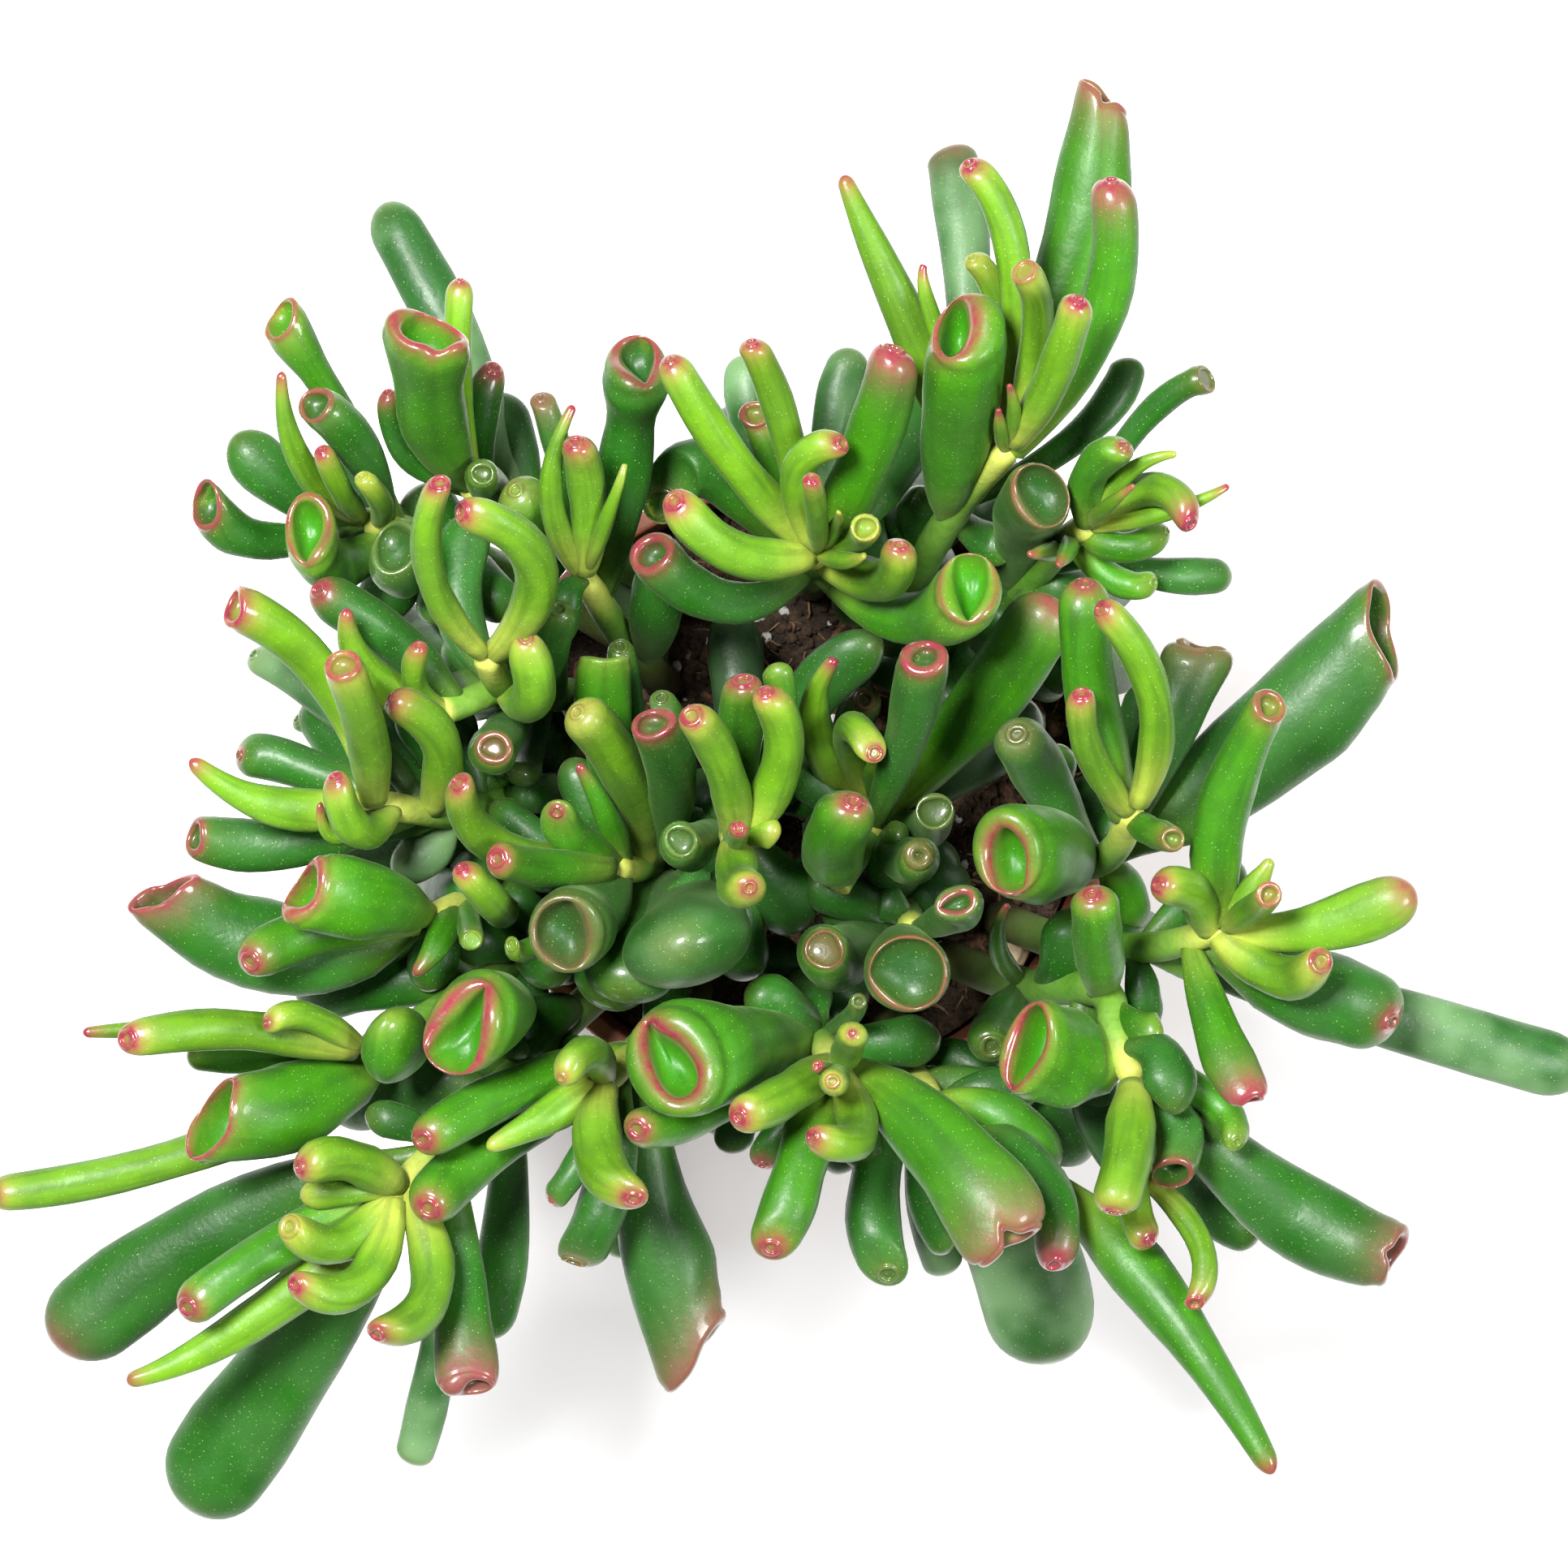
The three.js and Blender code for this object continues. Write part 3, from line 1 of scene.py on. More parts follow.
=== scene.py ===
# %% [markdown]
# # A potted hobbit jade, seen from above
#
# A hobbit jade is a shrubby succulent with leaves like fleshy tubes. Each ends in a small red dimple, in an
# open cup with a red rim, or in a blunt or pointed tip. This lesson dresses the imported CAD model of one: it
# gives every shoot smooth leaves in place of the faceted ones, fills the pot with loose soil, and lights it
# like the photograph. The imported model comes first, and every new piece is made in its frame, in metres.

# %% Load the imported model
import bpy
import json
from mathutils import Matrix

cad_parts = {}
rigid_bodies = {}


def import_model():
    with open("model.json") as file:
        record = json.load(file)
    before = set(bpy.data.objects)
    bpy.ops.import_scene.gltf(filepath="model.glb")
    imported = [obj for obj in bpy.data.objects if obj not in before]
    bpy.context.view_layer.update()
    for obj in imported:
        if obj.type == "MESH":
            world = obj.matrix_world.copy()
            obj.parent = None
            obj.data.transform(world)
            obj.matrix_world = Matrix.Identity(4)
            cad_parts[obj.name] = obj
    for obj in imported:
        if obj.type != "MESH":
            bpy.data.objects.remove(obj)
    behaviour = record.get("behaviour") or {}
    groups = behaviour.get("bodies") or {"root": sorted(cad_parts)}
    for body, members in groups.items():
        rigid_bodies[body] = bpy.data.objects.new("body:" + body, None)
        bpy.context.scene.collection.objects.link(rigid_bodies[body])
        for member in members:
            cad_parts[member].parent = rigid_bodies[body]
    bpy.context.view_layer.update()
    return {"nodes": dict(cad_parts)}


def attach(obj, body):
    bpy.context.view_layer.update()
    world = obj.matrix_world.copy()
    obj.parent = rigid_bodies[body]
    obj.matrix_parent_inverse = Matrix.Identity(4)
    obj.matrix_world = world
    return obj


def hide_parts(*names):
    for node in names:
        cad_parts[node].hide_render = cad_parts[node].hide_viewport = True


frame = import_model()
print("CAD nodes:", len(frame["nodes"]))

# %% [markdown]
# The tables below are in millimetres, because leaves are easier to read that way, and `MM` turns them to
# metres.

# %% Modules and units
import json
import math
import random

import bmesh
import bpy
import numpy as np
from mathutils import Matrix, Vector
from numpy.linalg import norm

MM = 0.001
scene = bpy.context.scene
for thing in list(scene.objects):
    if thing.type in ("LIGHT", "CAMERA"):
        bpy.data.objects.remove(thing)
print("Blender", bpy.app.version_string)

# %% [markdown]
# ## Camera, floor and light
#
# The photograph looks straight down on the crowns from about a metre above the table. A point nearer to the
# lens looks further from the middle of the picture, so the distance matters as much as the frame does. The
# focal length in pixels and the camera's height fix both.

# %% Camera
photo_width = 1932
focal_pixels = 6800
eye = Vector((-2 * MM, 1 * MM, 1000 * MM))


def add_object(name, data):
    thing = bpy.data.objects.new(name, data)
    scene.collection.objects.link(thing)
    return thing


def make_camera():
    data = bpy.data.cameras.new("camera")
    data.sensor_width = 36
    data.lens = data.sensor_width * focal_pixels / photo_width
    data.clip_start = 0.01
    scene.camera = add_object("camera", data)
    scene.camera.location = eye
    print("lens", round(data.lens, 1), "mm at", tuple(round(v, 3) for v in eye))


make_camera()

# %% [markdown]
# Small helpers for materials come next. A node material is a graph, so these add a node, set its inputs by
# name, and join two sockets. They keep each material below short enough to read as a recipe.

# %% Material helpers
def new_material(name):
    material = bpy.data.materials.new(name)
    material.use_nodes = True
    material.node_tree.nodes.clear()
    return material, material.node_tree


def feed(tree, socket, value):
    """Link the value to the socket, or set it there where it is a plain number."""
    if isinstance(value, bpy.types.NodeSocket):
        tree.links.new(value, socket)
    else:
        socket.default_value = value


def add_node(tree, kind, settings=None, **inputs):
    node = tree.nodes.new(kind)
    for key, value in (settings or {}).items():
        setattr(node, key, value)
    for key, value in inputs.items():
        feed(tree, node.inputs[key.replace("_", " ")], value)
    return node


def colour(red, green, blue):
    """A linear colour from the 0 to 255 values that a colour picker shows."""
    shares = [value / 255 for value in (red, green, blue)]
    linear = [share / 12.92 if share <= 0.04045 else ((share + 0.055) / 1.055) ** 2.4 for share in shares]
    return linear + [1]


def mix_colour(tree, factor, a, b):
    node = add_node(tree, "ShaderNodeMix", {"data_type": "RGBA"})
    for number, value in ((0, factor), (6, a), (7, b)):
        feed(tree, node.inputs[number], value)
    return node.outputs[2]


def math_node(tree, operation, a, b=0.0, clamp=False):
    node = add_node(tree, "ShaderNodeMath", {"operation": operation, "use_clamp": clamp})
    for socket, value in zip(node.inputs, (a, b)):
        feed(tree, socket, value)
    return node.outputs[0]


def times(tree, a, b):
    return math_node(tree, "MULTIPLY", a, b)


def map_range(tree, value, from_low, from_high, to_low=0.0, to_high=1.0):
    node = add_node(
        tree, "ShaderNodeMapRange", {"interpolation_type": "SMOOTHSTEP"}, Value=value,
        From_Min=from_low, From_Max=from_high, To_Min=to_low, To_Max=to_high,
    )
    return node.outputs["Result"]


def object_point(tree):
    return tree.nodes.new("ShaderNodeTexCoord").outputs["Object"]


def height_of(tree):
    return add_node(tree, "ShaderNodeSeparateXYZ", Vector=object_point(tree)).outputs["Z"]


def point_value(tree, name):
    """A number that the mesh keeps for each of its points."""
    return add_node(tree, "ShaderNodeAttribute", {"attribute_name": name}).outputs["Fac"]


def noise(tree, scale, detail=2.0, roughness=0.5):
    node = add_node(
        tree, "ShaderNodeTexNoise", Vector=object_point(tree), Scale=scale, Detail=detail,
        Roughness=roughness,
    )
    return node.outputs["Fac"]


def bumps(tree, height, strength, depth):
    node = add_node(tree, "ShaderNodeBump", Height=height, Strength=strength, Distance=depth * MM)
    return node.outputs[0]


def finish_material(tree, **inputs):
    shader = add_node(tree, "ShaderNodeBsdfPrincipled", **inputs)
    add_node(tree, "ShaderNodeOutputMaterial", Surface=shader.outputs[0])


print("material helpers ready")

# %% [markdown]
# The photograph was cut out on white, so the floor is a plain white sheet. Two big soft lamps hang above
# it, the stronger one close to the lens: that is what puts a small bright spot in the middle of each
# dimple, and what leaves the gaps between the leaves deep green. A pale world fills the shadows a little.

# %% Floor and light
floor_half = 3.0
lamp_target = Vector((0, 0, 0.12))


def make_floor():
    mesh = bpy.data.meshes.new("floor")
    corners = [(x * floor_half, y * floor_half, 0) for x, y in ((-1, -1), (1, -1), (1, 1), (-1, 1))]
    mesh.from_pydata(corners, [], [(0, 1, 2, 3)])
    material, tree = new_material("white_paper")
    tint = map_range(tree, noise(tree, 3.0), 0.3, 0.7, 0.93, 0.96)
    shade = mix_colour(tree, tint, colour(240, 240, 240), colour(255, 255, 255))
    finish_material(tree, Base_Color=shade, Roughness=0.9)
    mesh.materials.append(material)
    add_object("floor", mesh)


def make_lamp(name, spot, size, power):
    data = bpy.data.lights.new(name, "AREA")
    data.shape = "DISK"
    data.size = size
    data.energy = power
    lamp = add_object(name, data)
    lamp.location = spot
    lamp.rotation_euler = (lamp_target - lamp.location).to_track_quat("-Z", "Y").to_euler()


def make_world():
    world = bpy.data.worlds.new("studio")
    world.use_nodes = True
    background = world.node_tree.nodes["Background"]
    background.inputs["Color"].default_value = (1, 1, 1, 1)
    background.inputs["Strength"].default_value = 0.2
    scene.world = world


make_floor()
make_world()
make_lamp("key", (-0.3, 0.25, 1.15), 0.3, 28)
make_lamp("side", (0.65, -0.1, 1.05), 0.35, 11)
scene.view_settings.view_transform = "Standard"
scene.view_settings.look = "None"

# %% [markdown]
# ## Where the leaves grow
#
# Each row below is one leaf: its kind, its tone (0 young and bright to 3 old and grey), its width, then
# three points, its foot, its bend and its tip. They were read from straight above, so x and y are plan
# positions at one reading height, and z is the real height. Next comes the mouth of a leaf that has one: a
# long and a short diameter (for a spout the reach of its point and its half width), the way that it faces
# (bearing and height angle) and the bearing of its long axis. The `dict` at the end shapes its opening, as
# told further down. A scatter rule would be shorter, but it would give a plant of the same kind, and this
# gives the same plant.
#
# The rows under `low` are old leaves that show as green between the others. Most are blunt and of tone 2,
# and such a row has only a width and three points.

# %% The shoots
shoots = [
 {"name": "shoot_north", "foot": [7,36],
  "stems": [[[7.5,38,128], [8,41,159]]],
  "leaves": [
   ["finger", 0, 6.2, [7,42,157], [-4,54,170], [-14.7,70.3,180], [2.6,2.4,120,50,0], dict(red=[0.5,2,1])],
   ["finger", 0, 7, [7,40,158], [-4,40.5,167], [-14,48.6,174], [5.2,5,140,60,0]],
   ["cup", 2, 8, [8,36,138], [-5,32.8,145], [-17.3,40.5,154], [8,7.6,140,55,0],
    dict(open=[2.2,2], deep=1.8, flare=1.08, red=[0.55,1.5,0.95])],
   ["finger", 1.8, 9, [7,36,132], [-8,53,140], [-16,48,140], [6.5,6,200,75,0],
    dict(open=[2.2,2], flare=0.9, red=[0.4,1,0.15])],
   ["finger", 0, 5.4, [8,42,158], [3,60,172], [-2,73,181], [3.4,3.4,100,40,0]],
   ["finger", 1, 5.5, [7,40,148], [2,54,157], [-1.5,62,161], [5.8,5.2,100,65,0],
    dict(open=[1.5,1.3], deep=1, flare=0.9, red=[0.5,1.2,0.8])],
   ["blunt", 3, 8, [7,38,138], [-1,57,143], [-1.5,71,143]],
   ["finger", 0, 5.5, [8,42,158], [5,53.5,171], [12,57.5,178], [3.6,3.4,20,45,0]],
   ["finger", 0, 3.6, [8,41,159], [9,46,174], [7.5,52,185], [2.6,2.6,90,60,0]],
   ["finger", 0, 4.8, [8,41,156], [14,43,166], [15.5,44.5,175], [5,4.8,45,80,0],
    dict(open=[1.6,1.5], deep=1.5, flare=1, red=[0.4,0.7,0.1])],
   ["bare", 0, 3, [8,40,156], [12.5,39.5,167], [15.5,40.3,173]],
   ["finger", 0, 7, [8,38,148], [18,36.5,160], [20.8,41.8,172], [4.4,3,80,45,0]],
   ["bare", 0, 2.6, [8,41,158], [10,44.5,170], [10.7,47,178]],
   ["finger", 1, 9, [8,40,150], [17,56,167], [21.4,72,178], [5.6,4.4,70,25,0],
    dict(red=[0.4,4.2,0.95], blush=[6,1])],
   ["blunt", 3, 7, [8,39,142], [10,58,147], [14,72,147]],
   ["spout", 1, 9.5, [8,36,136], [21,29.5,153], [30.7,35,168], [8,5.2,110,68,-88],
    dict(open=[6,2.9], at=[0.6,0.2], drop=0.8, deep=4.5, red=[0.3,0.6,0.7])],
  ], "low": [
   [8, [7,36,126], [15,40,130], [20,48,130]],
   [6.5, [8,38,136], [4,46,145], [3,55,148]],
   [8, [9,41,148], [20,53,141], [25,65,134]],
  ]},
 {"name": "shoot_north_east", "foot": [17,26],
  "stems": [[[23,37,126], [30,48,148], [38,57,164]]],
  "leaves": [
   ["point", 0, 7.2, [33,51,155], [22,77,167], [12.2,98.8,172]],
   ["point", 0, 3.2, [35,54,159], [26,75,168], [24.5,85,172]],
   ["tinged", 3, 8.5, [31,49,149], [31,84,146], [28.5,103,141]],
   ["finger", 0, 5.5, [38,57,162], [38,84,173], [31.5,100.5,178], [4.2,4,120,40,0]],
   ["finger", 0, 4.2, [36,55,160], [37,76,169], [32.5,86,173], [3,3,120,40,0], dict(red=[0.4,1,0.15])],
   ["finger", 0, 5.2, [38,57,163], [42,74,177], [40,84,187], [5,5,130,50,0],
    dict(open=[1.3,1.3], flare=1, red=[0.5,0.9,0.7])],
   ["finger", 0, 6, [38,57,163], [44.5,68,180], [48.3,79.5,192], [4,4,70,50,0],
    dict(flare=0.5, red=[0.4,1.8,1])],
   ["finger", 1, 7.8, [38,57,160], [51.2,76,171], [53.4,98,180], [4,4,90,30,0],
    dict(red=[0.4,3.4,1], blush=[6,1])],
   ["cup", 1, 13.5, [35,54,151], [47,84.5,157], [52.4,110.9,161], [10.8,7,50,8,-45],
    dict(open=[3.2,1.4], at=[-0.6,0], deep=2, flare=0.85, notch=[1.4,-75], red=[0.4,2,0.6], blush=[6,0.7])],
   ["blunt", 2, 6, [32,50,147], [49.5,59.5,149], [56,70.7,148]],
   ["point", 0, 2.6, [38,57,164], [38,62,174], [37.5,66.5,181]],
   ["point", 0, 2.4, [37,56,163], [36.5,60,171], [36,63,176]],
   ["cup", 1, 12.8, [28,45,144], [29,57,163], [30.7,74.6,182], [14.5,12.5,120,66,80],
    dict(open=[4.7,2.7], at=[-0.1,2.4], drop=-0.6, deep=7, red=[0.7,1.5,0.9])],
  ], "low": [
   [7.5, [24,38,128], [24,44,135], [23.5,51,138]],
   [6.5, [30,47,146], [33,43,140], [38.5,41,141]],
   [7, [28,45,142], [34,55,142], [41,64,140]],
  ]},
 {"name": "shoot_east_north", "foot": [30,22],
  "stems": [[[38,33,122], [46,42,146], [50,45,158]]],
  "leaves": [
   ["finger", 2, 4.4, [48,44,152], [58,60.6,162], [68,67.4,167], [4.6,4.2,20,35,0],
    dict(open=[1.9,1.5], flare=1.2, red=[0.5,0.9,0.35])],
   ["finger", 1, 6, [49,45,157], [50,53,168], [55.5,57,176], [2.8,2.7,50,50,0], dict(red=[0.4,1,0.9])],
   ["bare", 0, 3, [50,45,157], [56,53,169], [63.5,55.8,172]],
   ["point", 0, 2.4, [50,45,158], [53,48,170], [57,51,176]],
   ["point", 0, 3, [50,45,156], [62,47,166], [71.5,51,168]],
   ["finger", 0, 5.5, [50,45,157], [60,50.5,167], [65.7,45,173], [4,4,-45,40,0],
    dict(red=[0.4,2.6,1], blush=[4,0.6])],
   ["finger", 1, 5, [49,44,154], [55,41.5,157], [62,44,157], [2.6,2.6,20,30,0], dict(red=[0.4,1,0.1])],
   ["blunt", 2, 5.8, [45,41,144], [60,37.5,147], [71.8,37.2,143]],
   ["finger", 1, 4.6, [47,43,149], [54,36.5,152], [60,36,153], [3,3,0,40,0], dict(red=[0.4,1,0.1])],
   ["cup", 2, 11, [38,33,122], [40,43,146], [42.8,49.3,168], [11.6,9.6,250,82,120],
    dict(open=[4.9,3.7], at=[-0.2,-0.8], deep=3.5, red=[0.5,0.6,0.5], blush=[3,0.15])],
   ["point", 1, 3, [47,43,150], [46.5,40.5,161], [45,38.5,165]],
   ["point", 0, 3.2, [45,41,144], [43,41.5,156], [40.5,41,162]],
  ], "low": [
   [6, [35,29,112], [41,25,122], [48,20,126]],
   [6, [42,38,134], [50,41,138], [58,44,138]],
   [9, [44,40,140], [38,44,134], [33,48,128]],
  ]},
 {"name": "shoot_east", "foot": [40,-4],
  "stems": [[[45,-8,120], [53,-6,143], [57,1,161]]],
  "leaves": [
   ["finger", 1, 8.5, [56,0,157], [50.5,18,167], [49.3,36,174], [3.8,3.6,90,40,0]],
   ["finger", 0, 5.8, [57,1,161], [60.2,17.6,177], [51.8,32,186], [3.8,3.6,160,45,0]],
   ["finger", 0, 5, [56,0,159], [50.5,9,169], [48.8,19,177], [3.6,3.6,100,50,0], dict(flare=0.75)],
   ["finger", 1, 4.8, [57,0,158], [60,-2.5,163], [63,-3.5,168], [4.4,4.4,0,70,0],
    dict(open=[1.3,1.1], deep=1.2, flare=0.9, red=[0.5,1.6,0.5])],
   ["cup", 2, 10.5, [54,-4,146], [62,13,150], [67.3,26.2,151], [11.5,6.5,80,5,-8],
    dict(open=[3.6,1.6], at=[0.8,0], deep=2, flare=0.7, waist=0.1, red=[0.4,1.6,0.35], blush=[6,0.4])],
   ["cup", 2, 18.5, [53,-6,141], [75,9,143], [95.2,28.5,149], [18,11,10,26,-82],
    dict(open=[7.6,4.1], drop=0.5, deep=8, red=[0.5,0.9,0.85])],
   ["finger", 2, 9, [51,-7,138], [43.5,3,149], [39,12,160], [5.4,5,120,70,0],
    dict(red=[0.4,1.2,0.12], blush=[3.4,0.3])],
   ["cup", 1, 15.5, [49,-8,131], [45,-3.5,150], [37.2,-4.6,166], [15,12.5,190,70,100],
    dict(open=[5,3.2], at=[-1.5,0.2], drop=0.3, deep=5, red=[0.85,1.7,0.9])],
  ], "low": [
   [7, [48,-8,128], [55,-1,130], [61,7,128]],
   [6.5, [46,-8,122], [44,2,128], [46,11,128]],
   [9, [56,-1,150], [58,10,140], [60,20,130]],
   [8, [52,-5,128], [51,0,124], [50,6,118]],
   ["blunt", 1, 8, [53,-6,138], [55,-11,134], [56,-18,130]],
  ]},
 {"name": "shoot_east_low", "foot": [37,-16],
  "stems": [[[48,-20,122], [61,-20,144], [71,-17,156]], [[59,-20,140], [67,-24,137]]],
  "leaves": [
   ["finger", 1, 8.5, [70,-17,155], [70.5,0,165], [77.8,17,178], [6.2,6,40,60,0],
    dict(open=[1.7,1.5], deep=1.4, flare=1.05, red=[0.5,1.1,0.8])],
   ["finger", 0, 6.5, [68,-18,153], [66,-12,163], [60.5,-10.5,170], [3.6,3.4,170,40,0]],
   ["bare", 0, 4.5, [71,-17,155], [75,-11.5,160], [78,-6.5,162]],
   ["finger", 0, 4.6, [71,-17,156], [75.5,-14,167], [77.7,-12,175], [4.4,4.3,0,80,0],
    dict(open=[1.2,1.1], deep=1.2, flare=1.05, red=[0.5,0.8,0.8])],
   ["tinged", 0, 9.2, [70,-17,155], [86,-17,161], [100,-10.8,166]],
   ["finger", 0, 7, [70,-17,154], [79,-24.5,158], [85.7,-22.3,168], [4.4,4.2,20,65,0],
    dict(open=[1.1,1], flare=0.95, red=[0.5,0.9,0.9])],
   ["finger", 2, 13.6, [66,-19,150], [83.5,-26.5,151], [96.6,-31.6,153], [5.4,4.6,-28,38,0]],
   ["blunt", 3, 10.5, [67,-24,137], [94,-30.5,134], [126.5,-39.5,130.5]],
   ["cup", 1, 8.6, [66,-20,149], [69.5,-32.5,158], [74.9,-43.8,165], [7.4,4.6,-70,15,10],
    dict(open=[1.4,0.6], deep=0.8, flare=0.6, red=[0.3,3,1], blush=[6,1])],
  ], "low": [
   [6, [57,-20,138], [58,-26,140], [59,-33,138]],
   [7, [58,-20,140], [66,-13,138], [74,-8,136]],
  ]},
 {"name": "shoot_south_east", "foot": [29,-22],
  "stems": [[[40,-26,118], [52,-27,140], [54,-33,148], [57,-41,153]], [[57,-41,151], [57.5,-55,147]]],
  "leaves": [
   ["finger", 1, 8, [52,-27,140], [51.5,-19.5,157], [50.5,-12,168], [4,3.6,100,50,0]],
   ["blunt", 2, 8.5, [55,-36,150], [61,-37,155], [63.3,-46.5,156]],
   ["finger", 0, 8, [57,-41,153], [56,-51,163], [53.8,-61,169], [4.6,3.4,-100,25,0],
    dict(red=[0.5,1.4,0.9])],
   ["finger", 0, 5.6, [57,-45,150], [56.5,-58,151], [59.4,-65.5,155], [3.2,3,-40,45,0]],
   ["cup", 2, 7.8, [56,-39,152], [63.5,-46,151], [62.8,-54.2,157], [7.2,6.4,-80,62,10],
    dict(open=[2.7,2.2], at=[-0.4,-0.5], deep=3.6, red=[0.5,0.9,0.9])],
   ["cup", 2, 14.5, [55,-37,150], [78.3,-58.6,141], [96.8,-67.7,147], [11.4,8,-25,15,66],
    dict(open=[2.6,2], at=[0.2,0.4], deep=3, notch=[1,90], red=[0.7,1.5,0.8], blush=[5,0.7])],
   ["blunt", 2, 8, [57,-44,150], [66,-57.5,133], [76.5,-64,131]],
   ["finger", 0, 4.2, [57.5,-55,147], [66.8,-65,153], [66.3,-75,157], [4,3.8,-90,50,0],
    dict(flare=0.8, red=[0.4,1.6,1])],
   ["finger", 1, 5.6, [56,-38,151], [68,-43.8,149], [72.8,-50.2,153], [2.8,2.8,-30,60,0],
    dict(red=[0.4,1,0.12])],
   ["cup", 1, 16.5, [55,-37,150], [49,-37.5,151], [40.8,-35.6,161], [16,10.8,178,52,62],
    dict(open=[6.2,3.3], at=[0,0.5], drop=-0.5, deep=6, flare=1.03, red=[0.8,1.3,0.95])],
   ["point", 1, 3.2, [40,-26,118], [36,-20,134], [37.5,-13.5,143]],
   ["finger", 2, 8, [40,-26,119], [36,-32,128], [35,-35.5,139], [6.5,6,-90,70,0], dict(red=[0.4,1,0.12])],
  ], "low": [
   [8, [37,-25,110], [41,-32,114], [45,-42,112]],
   ["blunt", 1, 5.5, [53,-29,142], [57,-32,150], [61.5,-33,153]],
   [7, [48,-27,134], [50,-36,134], [52,-46,132]],
   [9, [48,-28,134], [51,-43,132], [59,-57,122]],
   [9, [42,-26,124], [46,-22,132], [48,-14,134]],
  ]},
 {"name": "shoot_south_right", "foot": [19,-31],
  "stems": [[[21,-36,116], [26,-44,134]], [[26,-44,132], [36,-51,136], [44,-57,138]]],
  "leaves": [
   ["blunt", 3, 18, [25,-42,130], [36,-62,113], [43.5,-84.5,108]],
   ["finger", 2, 7.8, [30,-46,134], [42,-55,146], [44.6,-69,154], [5.4,4,-100,45,60],
    dict(red=[0.4,2.2,1], blush=[4.5,1])],
   ["blunt", 2, 5, [25,-42,130], [24,-57,127], [28.5,-67,123.5]],
   ["blunt", 3, 6.5, [23,-39,124], [26,-58,117], [29,-70,110]],
   ["finger", 2, 8.6, [22,-38,120], [17,-58,132], [19,-70.5,137], [3.8,3.8,-100,60,0],
    dict(open=[1,1], flare=0.9, red=[0.4,0.9,0.12])],
   ["point", 1, 9.6, [44,-57,138], [61,-74,148], [78.3,-101.3,157]],
  ], "low": [
   [7, [27,-45,132], [34,-42,134], [42,-43,132]],
   [6.5, [22,-38,120], [29,-37,124], [36,-41,124]],
   [7, [21,-36,116], [14,-45,120], [11,-55,118]],
   [10, [24,-40,126], [37,-44,128], [50,-52,120]],
   ["blunt", 1, 8, [27,-45,134], [37,-46,138], [44,-55,134]],
  ]},
 {"name": "shoot_middle_right", "foot": [20,-11],
  "stems": [[[22,-15,118], [23,-18,134]]],
  "leaves": [
   ["cup", 2, 13, [22.5,-17,128], [22.7,-20.5,142], [22.5,-23.8,158], [13.5,13,-90,80,0],
    dict(open=[5.5,5.4], at=[0,0.4], deep=3, red=[0.5,0.75,0.6])],
   ["finger", 2, 10.5, [21,-14,112], [12.8,-21,132], [9.2,-20.5,151], [6.8,6.4,160,72,0],
    dict(open=[2.7,2.5], deep=0.8, flare=0.95, red=[0.6,0.6,0.6])],
   ["cup", 2, 7.8, [23,-18,132], [28,-16,146], [29.5,-13.5,159], [8,6,100,75,20],
    dict(open=[2.4,1.3], at=[-0.2,0], drop=-0.8, deep=2, red=[0.7,0.7,0.9])],
  ], "low": [
   [6.5, [22,-15,116], [16,-16,126], [9,-13,128]],
   [8, [22,-15,118], [14,-13,130], [6,-9,132]],
  ]},
 {"name": "shoot_middle", "foot": [18,3],
  "stems": [[[17,0,118], [16,-3,136]], [[16,-3,134], [11,-11,138]]],
  "leaves": [
   ["tinged", 1, 11.5, [17,-1,124], [32,15.5,137], [44.8,33.5,149]],
   ["blunt", 3, 12, [17,0,114], [30,8.5,114], [42,17,112]],
   ["cup", 2, 7.8, [16,-2,132], [20.5,10,150], [25,25.5,165], [8.4,7.4,100,60,0],
    dict(open=[1.8,1.6], at=[0.2,0.3], deep=1.2, red=[0.5,1.6,1])],
   ["finger", 2, 6.8, [17,-1,122], [24,-2,132], [26,0.5,145], [6.4,6.2,90,85,0],
    dict(open=[2.3,2.2], deep=0.8, flare=0.95, red=[0.4,0.8,0.12])],
   ["finger", 2, 7.6, [16,-2,128], [22,-6.5,140], [23.8,-6,152], [5.4,5.4,0,80,0],
    dict(open=[0.5,0.4], flare=0.9, red=[0.4,1.6,0.35])],
   ["finger", 1, 10, [12,-9,137], [10.5,-4.5,151], [13.7,2.3,164], [4.5,4,70,50,0]],
   ["finger", 0, 5.6, [17,0,122], [13.5,12.5,142], [17.8,10,153], [4.6,4.4,0,75,0],
    dict(flare=0.55, red=[0.5,0.9,0.9])],
   ["blunt", 1, 5, [17,0,120], [16,5,130], [17.5,9,138]],
   ["point", 0, 6, [17,0,120], [8.5,13,140], [11,24.3,151]],
   ["blunt", 2, 9, [17,0,112], [6,14,125], [18,27.5,133.5]],
   ["finger", 2, 6.8, [18,2,104], [14,11.5,111], [15.5,18,120], [4.4,4.4,90,75,0],
    dict(flare=0.8, red=[0.4,1,0.4])],
  ], "low": [
   [7, [16,-2,126], [10,3,130], [4,8,130]],
   [5.5, [16.5,-2,124], [19,-4,134], [21,-1.5,140]],
  ]},
 {"name": "shoot_centre", "foot": [-2,4],
  "stems": [[[-5,-1,124], [-4.5,-4,157]]],
  "leaves": [
   ["finger", 0, 6.4, [-4.5,-3,156], [-6.2,7.6,171], [-11.3,15.5,182], [4.8,4.6,130,60,0],
    dict(open=[1,0.9], flare=0.8, red=[0.5,1.3,1])],
   ["finger", 0, 6.6, [-4.5,-4,155], [2.7,8,168], [0.2,19.3,179], [4,3.6,100,45,0]],
